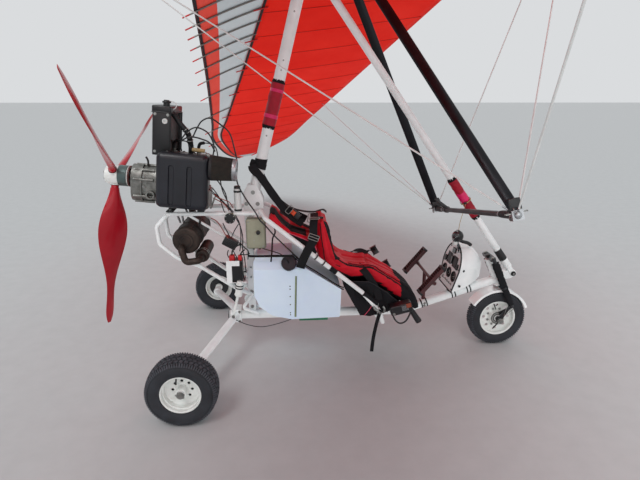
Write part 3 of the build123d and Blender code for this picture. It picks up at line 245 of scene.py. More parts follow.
def add_node(
        tree: bpy.types.NodeTree, kind: str, values: dict | None = None, links: dict | None = None
) -> bpy.types.Node:
    """Adds a node with its settings and its incoming links.

    Args:
        tree: Shader or geometry tree.
        kind: Blender's identifier of the node.
        values: Properties and socket values, by name or socket number.
        links: Sockets that feed its inputs, by input name or number.

    Returns:
        The new node.
    """
    made = tree.nodes.new(kind)
    for key, value in (values or {}).items():
        if isinstance(key, str) and hasattr(made, key):
            setattr(made, key, value)
    for key, value in (values or {}).items():
        if not (isinstance(key, str) and hasattr(made, key)):
            made.inputs[key].default_value = value
    for key, source in (links or {}).items():
        tree.links.new(source, made.inputs[key])
    return made


def linked(name: str, data: bpy.types.ID) -> bpy.types.Object:
    """Puts an object made of a mesh, curve, lamp or camera into the scene.

    Args:
        name: The object's name.
        data: What it shows.

    Returns:
        The new object.
    """
    made = bpy.data.objects.new(name, data)
    bpy.context.scene.collection.objects.link(made)
    return made


# A faint orange peel and a soft highlight along the chassis tubes.
WHITE_COAT = Finish(
    "powder coated white aluminium", "E9ECEC", "DCE0DF", 0.34, Grain.PEEL, 1.4, 0.03, coat=0.15)
# A shade greyer and duller than the tubes.
WHITE_PAINT = Finish("painted white steel", "E2E4E1", "D2D5D1", 0.38, Grain.PEEL, 1.6, 0.04, 60)
# A glossy shell with long, soft reflections.
GEL_COAT = Finish(
    "white gel coat on glass fibre", "EDEFEE", "E2E6E6", 0.2, Grain.PEEL, 9.0, 0.05, coat=0.5)
# Dull dark red with a fine peel.
MAROON_PAINT = Finish("dark red enamelled steel", "4C2224", "3A1B1E", 0.42, Grain.PEEL, 1.5, 0.05)
# A coarse hammered skin that breaks up the highlight.
BEIGE_PAINT = Finish(
    "grey-green hammered paint on a steel box", "9B9B86", "8C8C78", 0.45, Grain.PEEL, 3.0, 0.08)
# Deep red with one clear highlight along each blade.
RED_LACQUER = Finish(
    "red lacquer over a composite blade", "B00C20", "9C0A1B", 0.3, Grain.PEEL, 14.0, 0.03, 300,
    coat=0.25, specular=0.3)
# A drawn tube's lengthwise sheen, dark between the highlights.
BLACK_ANODISED = Finish(
    "black anodised aluminium", "16171B", "1E1F24", 0.32, Grain.BRUSHED, 0.8, 0.01, metallic=0.6)
# Satin silver with drawn lines.
CLEAR_ANODISED = Finish(
    "clear anodised aluminium", "B9BCBF", "A9ACAF", 0.36, Grain.BRUSHED, 0.8, 0.01, metallic=1.0)
# A rough grey skin that scatters light.
CAST_ALUMINIUM = Finish(
    "sand cast aluminium", "8F908C", "6C6D69", 0.5, Grain.CAST, 2.4, 0.25, 40, metallic=0.85)
# Small bright heads that catch the light.
STEEL = Finish(
    "zinc plated steel", "A5A6A3", "8E8F8C", 0.35, Grain.CAST, 3.0, 0.02, 20, metallic=1.0)
# Brown-black patches where the heat was.
HOT_STEEL = Finish(
    "heat stained exhaust steel", "40352F", "241E1C", 0.6, Grain.CAST, 3.0, 0.12, 70, metallic=0.55)
# Dull soot with the steel's grey coming through.
SOOT_STEEL = Finish(
    "sooty welded exhaust steel", "3A3432", "211E1E", 0.7, Grain.CAST, 2.5, 0.15, 50, metallic=0.4)
# A soft grey sheen on black moulding.
BLACK_PLASTIC = Finish(
    "moulded black polyethylene", "0F1118", "161922", 0.4, Grain.MOULDED, 1.2, 0.06)
# Even satin black.
BLACK_SATIN = Finish("moulded black ABS", "0E0F11", "151619", 0.36, Grain.MOULDED, 1.0, 0.04)
# Matt black with hardly a reflection.
DARK_RUBBER = Finish("moulded black rubber", "121315", "1D1E20", 0.62, Grain.MOULDED, 1.5, 0.08)
# Dust blotches that lighten the walls' black.
TYRE_RUBBER = Finish("dusty tyre rubber", "17191E", "26292F", 0.72, Grain.MOULDED, 2.2, 0.15, 80)
# Lighter than the walls, so the lugs stand out from their grooves.
TREAD_RUBBER = Finish(
    "tread rubber lighter than the walls", "3A3C41", "4C4E54", 0.85, Grain.MOULDED, 2.0, 0.2, 45,
    specular=0.3)
# Milky blue-white that lets light into its edges.
TANK_SHELL = Finish(
    "rotomoulded translucent polyethylene", "D6E5F3", "CBDCEC", 0.4, Grain.PEEL, 5.0, 0.06, 400,
    subsurface=0.4)
# Half-clear white, duller than the tank.
MILK_PLASTIC = Finish("milky polythene bottle", "D3D5D3", "C2C5C3", 0.4, Grain.PEEL, 4.0, 0.05)
# Grey-green metal between the hub's silver pieces.
HUB_GREEN = Finish(
    "grey-green anodised spacer", "5B6B68", "506060", 0.4, Grain.BRUSHED, 0.9, 0.02, metallic=0.5)
# Woven red with a dull sheen on its folds.
RED_CLOTH = Finish(
    "red coated seat cloth", "CC0A24", "B4081D", 0.58, Grain.WEAVE, 2.2, 0.22, 90, specular=0.25)
# Deep black in which the weave still shows.
BLACK_CLOTH = Finish(
    "black nylon seat cloth", "101013", "19191D", 0.8, Grain.WEAVE, 2.4, 0.25, 70, specular=0.25)
# Darker red than the seats, with a coarser weave.
PAD_CLOTH = Finish(
    "red nylon pad cover", "8E0C22", "A8102B", 0.5, Grain.WEAVE, 2.5, 0.3, 60, specular=0.3)
# A bright magenta band.
TAPE = Finish("magenta adhesive tape", "E01463", "C80F55", 0.35, Grain.PEEL, 6.0, 0.05)
# Cross ribs that break the light on the flat straps.
WEBBING = Finish(
    "black polyester webbing", "0E0E11", "17171A", 0.75, Grain.RIB, 3.0, 0.3, 50, specular=0.25)
# The flat, full red of the lower cloth.
SAIL_RED = Finish(
    "red polyester sailcloth", "F6220C", "EC1B09", 0.62, Grain.WEAVE, 6.0, 0.12, 500, specular=0.15)
# The paler red where light comes through a single layer.
SAIL_CORAL = Finish(
    "thin red sailcloth lit through", "F2584A", "EC4E40", 0.6, Grain.WEAVE, 6.0, 0.1, 400,
    specular=0.15)
# Cool white cloth that takes soft shadows.
SAIL_WHITE = Finish(
    "pale sailcloth", "D3DDE0", "C9D4D7", 0.55, Grain.WEAVE, 6.0, 0.1, 500, specular=0.2)
# A thin black line along sewn edges.
BINDING = Finish("black sewn binding tape", "17171A", "202024", 0.7, Grain.RIB, 4.0, 0.2)
# Smooth white that keeps thin wires readable.
WIRE_SLEEVE = Finish("white plastic sleeve on steel wire", "E2E4E2", "CFD2D0", 0.35, Grain.SMOOTH)
# Oily brown-black mesh on the pleats.
GAUZE = Finish(
    "oiled filter gauze", "24211E", "332E29", 0.75, Grain.WEAVE, 3.0, 0.4, 30, specular=0.3)
# A small bright release button.
ORANGE = Finish("orange buckle plastic", "E2521B", "D04514", 0.35, Grain.PEEL, 4.0, 0.03)
# A dry, matt sleeve on leads.
TAN = Finish("tan insulated sleeve", "A8905F", "94805A", 0.6, Grain.PEEL, 3.0, 0.1)
# A hard glint over a dark bowl.
DOME = Finish(
    "clear compass dome over a dark bowl", "1A1E22", "232A30", 0.08, Grain.SMOOTH, coat=1.0)
# Black glass with a sharp reflection.
FACE = Finish("black instrument face", "0E0F11", "141518", 0.15, Grain.SMOOTH, coat=0.8)
# Matt print that reads on the black faces.
DIAL_WHITE = Finish("white dial print", "E8E8E2", "DADAD4", 0.5)
# Bright red on the battery's terminals.
RED_PLASTIC = Finish("red terminal cover", "C8161C", "B01217", 0.4, Grain.PEEL, 3.0, 0.03)
# A thin green strip under the tank.
GREEN_TAPE = Finish("green sealing strip", "11694A", "0D5A3E", 0.5, Grain.PEEL, 4.0, 0.05)
# A dull olive bar on the tank's side.
TANK_LINE = Finish("olive gauge bar", "7F8C6C", "6F7C5E", 0.45)
# Glossy black with round highlights on the fork.
BLACK_ENAMEL = Finish(
    "black enamelled steel", "15161A", "1F2126", 0.3, Grain.PEEL, 2.0, 0.05, coat=0.3)
# A dull red ring behind the propeller's hub.
FLANGE_RED = Finish(
    "dark red painted drive flange", "5A2520", "43201D", 0.45, Grain.PEEL, 2.0, 0.05)
# Brownish red leads on the engine.
LEAD_RED = Finish("reddish silicone lead", "8E3A2A", "7A3124", 0.45)
# Stitches a shade darker than their cloth.
RED_THREAD = Finish("dark red sewing thread", "6E0A18", "5C0813", 0.6)
# A thin glossy line at a cushion's edge.
PINK_PIPING = Finish("pink-red vinyl piping", "D8506A", "C8405C", 0.35, Grain.PEEL, 5.0, 0.03)
# A small matt tag, blank.
TAG_BROWN = Finish("orange-brown printed tag", "8A3B22", "7A321C", 0.5)
# A light cord against dark webbing.
TIE_CORD = Finish("tan braided cord", "B79A68", "A5875A", 0.7, Grain.RIB, 2.0, 0.2)

NODE_FINISHES: dict[str, Finish] = {
    "main_beam": WHITE_COAT, "steering_head": WHITE_COAT, "mast": WHITE_COAT,
    "front_strut": WHITE_COAT, "mast_head": CLEAR_ANODISED, "tube_pads": PAD_CLOTH,
    "rear_column": WHITE_COAT, "engine_frame": WHITE_COAT, "gearbox": CAST_ALUMINIUM,
    "engine_block": CAST_ALUMINIUM, "engine_mounts": DARK_RUBBER, "intake_silencer": BLACK_PLASTIC,
    "air_filter": GAUZE, "radiator": BLACK_SATIN, "exhaust": HOT_STEEL, "battery": BLACK_SATIN,
    "electrics_boxes": BEIGE_PAINT, "coolant_canister": MILK_PLASTIC, "axle_legs": WHITE_COAT,
    "shock_absorbers": WHITE_PAINT, "rear_braces": WHITE_COAT, "tyre_left": TYRE_RUBBER,
    "tyre_right": TYRE_RUBBER, "front_tyre": TYRE_RUBBER, "rim_left": WHITE_PAINT,
    "rim_right": WHITE_PAINT, "front_rim": WHITE_PAINT, "fork": BLACK_ENAMEL,
    "front_mudguard": GEL_COAT, "fuel_tank": TANK_SHELL, "tank_bearers": DARK_RUBBER,
    "tank_cap": BLACK_PLASTIC, "seat_tubes": WHITE_COAT, "rear_seat": RED_CLOTH,
    "front_seat": RED_CLOTH, "seat_sling": BLACK_CLOTH, "harness": WEBBING,
    "foot_rests": MAROON_PAINT, "hand_throttle": BLACK_SATIN, "instrument_pod": GEL_COAT,
    "compass": DOME, "propeller_blades": RED_LACQUER, "propeller_hub": WHITE_PAINT,
    "keel": CLEAR_ANODISED, "hang_block": CLEAR_ANODISED, "uprights": BLACK_ANODISED,
    "base_bar": BLACK_ANODISED, "wing_fittings": CLEAR_ANODISED, "kingpost": CLEAR_ANODISED,
    "sail_port": SAIL_WHITE, "sail_starboard": SAIL_WHITE, "keel_pocket": SAIL_WHITE,
    "lower_wires": WIRE_SLEEVE, "upper_wires": WIRE_SLEEVE}


def new_piece(
        name: str, points: list[Vector], faces: list[tuple[int, ...]], finishes: list[Finish],
        body: str, indices: list[int] | None = None, smooth: bool = True) -> bpy.types.Object:
    """Makes a piece from points and faces and lets it ride on a body.

    Args:
        name: The piece's name.
        points: Its corners, in metres.
        faces: Corner numbers of each face.
        finishes: Finishes of its material slots.
        body: The CAD body that it rides on.
        indices: Material slot of each face, or None for the first.
        smooth: Whether its faces are shaded smooth.

    Returns:
        The new object.
    """
    mesh = bpy.data.meshes.new(name)
    mesh.from_pydata([tuple(p) for p in points], [], faces)
    for finish in finishes:
        mesh.materials.append(finish.make())
    if indices:
        mesh.polygons.foreach_set("material_index", indices)
    mesh.polygons.foreach_set("use_smooth", [smooth] * len(mesh.polygons))
    mesh.update()
    made = linked(name, mesh)
    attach(made, body)
    LOG.info("%s on %s: %d faces", name, body, len(faces))
    return made


def bake(source: bpy.types.Object) -> bpy.types.Object:
    """Turns a piece with modifiers into a plain mesh and drops the modifiers.

    Args:
        source: The object with live modifiers.

    Returns:
        The same object, now with its final mesh.
    """
    bpy.context.view_layer.update()
    seen = source.evaluated_get(bpy.context.evaluated_depsgraph_get())
    final = bpy.data.meshes.new_from_object(seen)
    source.modifiers.clear()
    source.data = final
    return source


def spline(
        a: Vector | float, b: Vector | float, c: Vector | float, d: Vector | float, t: float
) -> Vector | float:
    """A smooth run from b to c that also minds the neighbours a and d.

    Args:
        a: Value before the run.
        b: Value at its start.
        c: Value at its end.
        d: Value after it.
        t: Share of the run, from 0 to 1.

    Returns:
        The value there.
    """
    return 0.5 * (
        2 * b + (c - a) * t + (2 * a - 5 * b + 4 * c - d) * t ** 2
        + (3 * b - a - 3 * c + d) * t ** 3)


def thicken(piece: bpy.types.Object, thickness: float) -> None:
    """Gives a sheet its cloth's thickness, half to each side.

    Args:
        piece: The sheet.
        thickness: Thickness of the cloth.
    """
    solid = piece.modifiers.new("cloth", "SOLIDIFY")
    solid.thickness = thickness
    solid.offset = 0.0
    bake(piece)


def smooth_path(points: list[Point], steps: int = 8) -> list[Vector]:
    """Runs a smooth line through a few points.

    Args:
        points: Points that the line passes through.
        steps: Divisions between two points.

    Returns:
        The points of the smooth line.
    """
    spots = [Vector(p) for p in points]
    ends = [2 * spots[0] - spots[1], *spots, 2 * spots[-1] - spots[-2]]
    path = []
    for a, b, c, d in zip(ends, ends[1:], ends[2:], ends[3:]):
        path.extend(spline(a, b, c, d, step / steps) for step in range(steps))
    return [*path, spots[-1]]


def toward(side: Vector, other: Vector, turn: float) -> Vector:
    """The direction at an angle from a first direction toward a second."""
    return side * math.cos(turn) + other * math.sin(turn)


def tube_faces(rings: int, sides: int, capped: bool = False) -> list[tuple[int, ...]]:
    """Faces between closed rings of points that follow one another.

    Args:
        rings: Number of rings.
        sides: Points in each ring.
        capped: Whether the first and the last ring are closed.

    Returns:
        The corner numbers of each face.
    """
    faces = []
    for start in range(0, (rings - 1) * sides, sides):
        for n in range(sides):
            a, b = start + n, start + (n + 1) % sides
            faces.append((a, b, b + sides, a + sides))
    if capped:
        faces.append(tuple(reversed(range(sides))))
        faces.append(tuple(range((rings - 1) * sides, rings * sides)))
    return faces


def sheet_faces(columns: int, rows: int, flip: bool = False) -> list[tuple[int, ...]]:
    """Faces of an open sheet of points, column after column.

    Args:
        columns: Number of columns.
        rows: Points in each column.
        flip: Whether the faces look the other way.

    Returns:
        The corner numbers of each face.
    """
    faces = []
    for start in range(0, (columns - 1) * rows, rows):
        for a in range(start, start + rows - 1):
            faces.append(
                (a, a + rows, a + rows + 1, a + 1) if flip else (a, a + 1, a + rows + 1, a + rows))
    return faces


def ring_around(centre: Vector, along: Vector, radius: float, count: int = 24) -> list[Vector]:
    """A closed circle around a direction.

    Args:
        centre: Its middle.
        along: The direction that it stands across.
        radius: Its radius.
        count: Divisions around.

    Returns:
        Its points, with the first again at the end.
    """
    axis = along.normalized()
    side = axis.orthogonal().normalized()
    other = axis.cross(side)
    return [
        centre + side * (radius * math.cos(2 * math.pi * n / count)) + other * (
            radius * math.sin(2 * math.pi * n / count)) for n in range(count + 1)]


def tube_tree() -> bpy.types.NodeTree:
    """The Geometry Nodes tree that sweeps a round section along every edge path of a mesh.

    Returns:
        The tree, made on the first call.
    """
    known = bpy.data.node_groups.get("swept tube")
    if known:
        return known
    tree = bpy.data.node_groups.new("swept tube", "GeometryNodeTree")
    for name, kind in (
            ("Paths", "NodeSocketGeometry"), ("Radius", "NodeSocketFloat"),
            ("Sides", "NodeSocketInt"), ("Finish", "NodeSocketMaterial")):
        tree.interface.new_socket(name, in_out="INPUT", socket_type=kind)
    tree.interface.new_socket("Tubes", in_out="OUTPUT", socket_type="NodeSocketGeometry")
    given = add_node(tree, "NodeGroupInput")
    route = add_node(tree, "GeometryNodeMeshToCurve", {}, {"Mesh": given.outputs["Paths"]})
    section = add_node(
        tree, "GeometryNodeCurvePrimitiveCircle", {},
        {"Resolution": given.outputs["Sides"], "Radius": given.outputs["Radius"]})
    swept = add_node(
        tree, "GeometryNodeCurveToMesh", {"Fill Caps": True},
        {"Curve": route.outputs["Curve"], "Profile Curve": section.outputs["Curve"]})
    smooth = add_node(tree, "GeometryNodeSetShadeSmooth", {}, {"Geometry": swept.outputs["Mesh"]})
    real = add_node(
        tree, "GeometryNodeRealizeInstances", {}, {"Geometry": smooth.outputs["Geometry"]})
    dressed = add_node(
        tree, "GeometryNodeSetMaterial", {},
        {"Geometry": real.outputs["Geometry"], "Material": given.outputs["Finish"]})
    add_node(tree, "NodeGroupOutput", {}, {"Tubes": dressed.outputs["Geometry"]})
    return tree


def apply_tree(
        source: bpy.types.Object, tree: bpy.types.NodeTree, values: dict) -> bpy.types.Object:
    """Runs a Geometry Nodes tree on a piece and keeps the result as its mesh.

    Args:
        source: The piece with the tree's input geometry.
        tree: The tree.
        values: The tree's named inputs.

    Returns:
        The piece with its final mesh.
    """
    modifier = source.modifiers.new("nodes", "NODES")
    modifier.node_group = tree
    sockets = {
        item.name: item.identifier for item in tree.interface.items_tree if item.in_out == "INPUT"}
    for name, value in values.items():
        modifier[sockets[name]] = value
    return bake(source)


def path_mesh(name: str, paths: list[list[Vector]]) -> bpy.types.Object:
    """Makes an object of bare edge paths, as input for a Geometry Nodes tree.

    Args:
        name: The piece's name.
        paths: Points of each path.

    Returns:
        The object.
    """
    points, edges = [], []
    for path in paths:
        first = len(points)
        points.extend(tuple(p) for p in path)
        edges.extend((first + n, first + n + 1) for n in range(len(path) - 1))
    mesh = bpy.data.meshes.new(name)
    mesh.from_pydata(points, edges, [])
    made = linked(name, mesh)
    return made


def tubes(
        name: str, paths: list[list[Vector]], radius: float, finish: Finish, body: str,
        sides: int = 12) -> bpy.types.Object:
    """Sweeps round tubes, wires or hoses along paths.

    Args:
        name: The piece's name.
        paths: Points of each path.
        radius: Radius of the tubes.
        finish: Their finish.
        body: The body that they ride on.
        sides: Sides of the round section.

    Returns:
        One piece with every tube.
    """
    made = path_mesh(name, paths)
    apply_tree(made, tube_tree(), {"Radius": radius, "Sides": sides, "Finish": finish.make()})
    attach(made, body)
    LOG.info("%s on %s: %d paths", name, body, len(paths))
    return made


class Head(Enum):
    """Shapes of a fastener's head, by the number of its sides."""

    HEX = 6
    ROUND = 20


def fixing_tree() -> bpy.types.NodeTree:
    """The Geometry Nodes tree that sets a washer and a head on every point, along its facing.

    Returns:
        The tree, made on the first call.
    """
    known = bpy.data.node_groups.get("fixings")
    if known:
        return known
    tree = bpy.data.node_groups.new("fixings", "GeometryNodeTree")
    for name, kind in (
            ("Spots", "NodeSocketGeometry"), ("Radius", "NodeSocketFloat"),
            ("Height", "NodeSocketFloat"), ("Sides", "NodeSocketInt"),
            ("Finish", "NodeSocketMaterial")):
        tree.interface.new_socket(name, in_out="INPUT", socket_type=kind)
    tree.interface.new_socket("Fixings", in_out="OUTPUT", socket_type="NodeSocketGeometry")
    given = add_node(tree, "NodeGroupInput")
    head = add_node(
        tree, "GeometryNodeMeshCylinder", {},
        {
            "Vertices": given.outputs["Sides"], "Radius": given.outputs["Radius"],
            "Depth": given.outputs["Height"]})
    wide = add_node(
        tree, "ShaderNodeMath", {"operation": "MULTIPLY", 1: WASHER_RADIUS_SHARE},
        {0: given.outputs["Radius"]})
    thin = add_node(
        tree, "ShaderNodeMath", {"operation": "MULTIPLY", 1: WASHER_HEIGHT_SHARE},
        {0: given.outputs["Height"]})
    washer = add_node(
        tree, "GeometryNodeMeshCylinder", {"Vertices": 20},
        {"Radius": wide.outputs["Value"], "Depth": thin.outputs["Value"]})
    both = add_node(tree, "GeometryNodeJoinGeometry")
    tree.links.new(head.outputs["Mesh"], both.inputs["Geometry"])
    tree.links.new(washer.outputs["Mesh"], both.inputs["Geometry"])
    facing = add_node(
        tree, "GeometryNodeInputNamedAttribute", {"data_type": "FLOAT_VECTOR", "Name": "facing"})
    turn = add_node(
        tree, "FunctionNodeAlignRotationToVector", {"axis": "Z"},
        {"Vector": facing.outputs["Attribute"]})
    placed = add_node(
        tree, "GeometryNodeInstanceOnPoints", {},
        {
            "Points": given.outputs["Spots"], "Instance": both.outputs["Geometry"],
            "Rotation": turn.outputs["Rotation"]})
    real = add_node(
        tree, "GeometryNodeRealizeInstances", {}, {"Geometry": placed.outputs["Instances"]})
    dressed = add_node(
        tree, "GeometryNodeSetMaterial", {},
        {"Geometry": real.outputs["Geometry"], "Material": given.outputs["Finish"]})
    add_node(tree, "NodeGroupOutput", {}, {"Fixings": dressed.outputs["Geometry"]})
    return tree


def fixings(
        name: str, spots: list[tuple[Vector, Vector]], radius: float, height: float, body: str,
        finish: Finish = STEEL, head: Head = Head.HEX) -> bpy.types.Object:
    """Sets bolt heads, nuts or studs on a surface.

    Args:
        name: The piece's name.
        spots: Place and facing of each head.
        radius: Radius of the head.
        height: Its height, half of it sunk into what it holds.
        body: The body that they ride on.
        finish: Their finish.
        head: Shape of the head.

    Returns:
        One piece with every head.
    """
    mesh = bpy.data.meshes.new(name)
    mesh.from_pydata([tuple(place) for place, _ in spots], [], [])
    facing = mesh.attributes.new("facing", "FLOAT_VECTOR", "POINT")
    facing.data.foreach_set("vector", [value for _, way in spots for value in way])
    made = linked(name, mesh)
    apply_tree(
        made, fixing_tree(),
        {"Radius": radius, "Height": height, "Sides": head.value, "Finish": finish.make()})
    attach(made, body)
    LOG.info("%s on %s: %d heads", name, body, len(spots))
    return made


def strap(
        name: str, path: list[Vector], across: Vector, width: float, body: str,
        finish: Finish = WEBBING, thickness: float = 0.0024) -> bpy.types.Object:
    """Lays flat webbing with rolled edges along a path.

    Args:
        name: The piece's name.
        path: Points along its middle.
        across: Direction of its width.
        width: Its width.
        body: The body that it rides on.
        finish: Its finish.
        thickness: Its thickness.

    Returns:
        The strap.
    """
    section = [
        (-0.5, 0.3), (-0.47, 0.5), (0.47, 0.5), (0.5, 0.3), (0.5, -0.3), (0.47, -0.5),
        (-0.47, -0.5), (-0.5, -0.3)]
    points = []
    for n, spot in enumerate(path):
        along = (path[min(n + 1, len(path) - 1)] - path[max(n - 1, 0)]).normalized()
        side = (across - along * across.dot(along)).normalized()
        out = along.cross(side)
        points.extend(spot + side * (u * width) + out * (v * thickness) for u, v in section)
    faces = tube_faces(len(path), len(section), capped=True)
    made = new_piece(name, points, faces, [finish], body, smooth=False)
    recalculate(made)
    return made


def recalculate(piece: bpy.types.Object) -> None:
    """Merges doubles and turns every face outward.

    Args:
        piece: A closed piece.
    """
    work = bmesh.new()
    work.from_mesh(piece.data)
    bmesh.ops.remove_doubles(work, verts=work.verts, dist=SAME_SPOT)
    bmesh.ops.recalc_face_normals(work, faces=work.faces)
    work.to_mesh(piece.data)
    work.free()


def turned(
        name: str, profile: list[tuple[float, float]], centre: Vector, axis: Vector,
        finishes: list[Finish], body: str, sides: int = 48, bands: list[int] | None = None
) -> bpy.types.Object:
    """Turns a profile about an axis, like work on a lathe.

    Args:
        name: The piece's name.
        profile: Distance along the axis and radius of each point, from end to end.
        centre: Where the axis starts.
        axis: Its direction.
        finishes: Finishes of the slots.
        body: The body that it rides on.
        sides: Divisions around.
        bands: Slot of each run of the profile, or None for the first.

    Returns:
        The turned piece.
    """
    axis = axis.normalized()
    side = axis.orthogonal().normalized()
    other = axis.cross(side)
    ways = [toward(side, other, 2 * math.pi * n / sides) for n in range(sides)]
    points = [
        centre + axis * along + way * max(radius, TIP_RADIUS) for along, radius in profile
        for way in ways]
    indices = [band for band in bands for _ in range(sides)] if bands else None
    made = new_piece(name, points, tube_faces(len(profile), sides), finishes, body, indices)
    recalculate(made)
    sharpen(made)
    return made


def sharpen(piece: bpy.types.Object, angle: float = CRISP_DEGREES) -> None:
    """Keeps edges sharper than an angle crisp in a smooth piece.

    Args:
        piece: The piece.
        angle: Least angle of a crisp edge, in degrees.
    """
    piece.data.set_sharp_from_angle(angle=math.radians(angle))


def block(
        name: str, centre: Vector, size: Point, axes: tuple[Vector, Vector, Vector], bevel: float,
        finish: Finish, body: str, taper: float = 1.0) -> bpy.types.Object:
    """A moulded or folded box with rounded edges.

    Args:
        name: The piece's name.
        centre: Its middle.
        size: Its length along each axis.
        axes: Its three directions.
        bevel: Radius of its edges.
        finish: Its finish.
        body: The body that it rides on.
        taper: Share of the section that is left at the third axis' far end.

    Returns:
        The block.
    """
    work = bmesh.new()
    bmesh.ops.create_cube(work, size=1.0)
    for corner in work.verts:
        share = taper if corner.co.z > 0 else 1.0
        corner.co = (
            centre + axes[0] * (corner.co.x * size[0] * share)
            + axes[1] * (corner.co.y * size[1] * share) + axes[2] * (corner.co.z * size[2]))
    bmesh.ops.bevel(work, geom=work.edges, offset=bevel, segments=3, profile=0.5, affect="EDGES")
    bmesh.ops.recalc_face_normals(work, faces=work.faces)
    mesh = bpy.data.meshes.new(name)
    work.to_mesh(mesh)
    work.free()
    mesh.materials.append(finish.make())
    mesh.polygons.foreach_set("use_smooth", [True] * len(mesh.polygons))
    mesh.set_sharp_from_angle(angle=math.radians(BLOCK_CRISP_DEGREES))
    made = linked(name, mesh)
    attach(made, body)
    LOG.info("%s on %s", name, body)
    return made


@dataclass
class Wing:
    """Sails, battens, bindings and seams, in the rolled and pitched axes of the parked wing.

    Args:
        nose: Front end of the keel.
        pitch: Rise of the keel toward the nose, in degrees.
        roll: How far the port tip hangs down, in degrees.
        droop: Fall of each half from the keel outward, in degrees.
        skin: Gap between the skins where they meet.
        crown: Share of the chord with the greatest camber.
        pocket_half: Half the width of the keel's pocket.
        stations: Measures of the sail at growing distances from the keel.
        upper_battens: Distances of the upper battens from the keel.
        lower_battens: Distances of the lower battens from the keel.
        strip_width: Width of the trailing edge's red strip, inboard and outboard.
        axes: The wing's directions, worked out from the angles.
    """

    nose: Point = (2.383, 0.0, 3.096)
    pitch: float = 11.74
    roll: float = 11.5
    droop: float = 6.5
    skin: float = 0.004
    crown: float = 0.45
    pocket_half: float = 0.036
    # port, leading edge aft, trailing edge aft, lower skin's rear edge aft,
    # nose radius, camber, rear height
    stations: tuple[tuple[float, ...], ...] = (
        (0.036, 0.016, 2.400, 1.720, 0.028, 0.168, 0.046),
        (1.650, 0.735, 2.670, 2.240, 0.028, 0.140, 0.012),
        (3.300, 1.469, 2.985, 2.790, 0.026, 0.100, 0.000),
        (3.950, 1.759, 3.125, 3.010, 0.024, 0.080, 0.000),
        (4.720, 2.101, 3.150, 3.060, 0.020, 0.052, 0.000),
        (5.200, 2.500, 3.105, 3.040, 0.012, 0.026, 0.000),
        (5.480, 2.790, 3.000, 2.975, 0.006, 0.010, 0.000))
    upper_battens: tuple[float, ...] = (
        0.45, 0.68, 0.85, 1.0, 1.18, 1.38, 1.62, 1.90, 2.32, 2.95, 3.55, 4.2)
    lower_battens: tuple[float, ...] = (0.99, 1.46, 2.0, 2.55, 3.2)
    strip_width: tuple[float, float] = (0.17, 0.08)
    axes: dict[str, Vector] = field(default_factory=dict)

    def __post_init__(self) -> None:
        """Works out the wing's axes."""
        pitch, roll = math.radians(self.pitch), math.radians(self.roll)
        keel = Vector((math.cos(pitch), 0, math.sin(pitch)))
        level = Vector((-math.sin(pitch), 0, math.cos(pitch)))
        self.axes = {
            "keel": keel, "up": level * math.cos(roll) + Y * math.sin(roll),
            "port": Y * math.cos(roll) - level * math.sin(roll)}

    def at(self, aft: float, port: float, up: float) -> Vector:
        """A point given in the wing's axes."""
        return (
            Vector(self.nose) - self.axes["keel"] * aft + self.axes["port"] * port
            + self.axes["up"] * up)

    def station(self, port: float) -> list[float]:
        """The sail's measures at a distance from the keel, between the stations of the table.

        Args:
            port: Distance from the keel.

        Returns:
            Leading edge, trailing edge, lower rear edge, nose radius, camber and rear height.
        """
        rows = self.stations
        n = 0
        while n < len(rows) - 2 and rows[n + 1][0] < port:
            n += 1
        before, low, high, after = rows[max(n - 1, 0)], rows[n], rows[n + 1], rows[
            min(n + 2, len(rows) - 1)]
        t = (port - low[0]) / (high[0] - low[0])
        out = []
        for k in range(1, 7):
            slope_low = (high[k] - before[k]) / max(high[0] - before[0], SAME_SPOT) if n else (
                high[k] - low[k]) / (high[0] - low[0])
            slope_high = (after[k] - low[k]) / max(after[0] - low[0], SAME_SPOT)
            span = high[0] - low[0]
            value = (
                (2 * t ** 3 - 3 * t ** 2 + 1) * low[k]
                + (t ** 3 - 2 * t ** 2 + t) * span * slope_low + (3 * t ** 2 - 2 * t ** 3) * high[k]
                + (t ** 3 - t ** 2) * span * slope_high)
            out.append(value)
        return out

    def upper(self, row: list[float], aft: float, drop: float = 0.0) -> float:
        """Height of the upper skin: the arc through nose, crown and trailing edge, less a drop.

        Args:
            row: The station's measures.
            aft: Distance behind the nose.
            drop: How far below the skin.

        Returns:
            The height above the keel's line.
        """
        lead, trail, _, nose, camber, rear = row
        x1, z1, x2, z2, x3, z3 = lead, nose, lead + self.crown * (trail - lead), camber, trail, rear
        slope_a, slope_b = (z2 - z1) / (x2 - x1), (z3 - z2) / (x3 - x2)
        middle = (
            slope_a * slope_b * (z1 - z3) + slope_b * (x1 + x2) - slope_a * (x2 + x3)
        ) / (2 * (slope_b - slope_a))
        base = (z1 + z2) / 2 - (middle - (x1 + x2) / 2) / slope_a
        radius = math.hypot(x1 - middle, z1 - base) - drop
        return base + math.sqrt(max(radius ** 2 - (aft - middle) ** 2, 0))

    def lower(self, row: list[float], aft: float) -> float:
        """Height of the lower skin, from under the nose to where it meets the upper one.

        Args:
            row: The station's measures.
            aft: Distance behind the nose.

        Returns:
            The height above the keel's line.
        """
        lead, _, rear, nose, _, _ = row
        end = self.upper(row, rear, self.skin)
        share = (aft - lead) / (rear - lead)
        return -nose + (end + nose) * share - 0.006 * 4 * share * (1 - share)

    def billow(self, port: float) -> float:
        """How far the cloth lifts between two battens, from 0 at a batten to 1 halfway.

        Args:
            port: Distance from the keel.

        Returns:
            The share of the full lift.
        """
        marks = (self.pocket_half, *self.upper_battens, 4.9, 5.48)
        for a, b in zip(marks, marks[1:]):
            if a <= port <= b:
                return math.sin(math.pi * (port - a) / (b - a)) ** 2 * min(1.0, (b - a) / 0.5)
        return 0.0

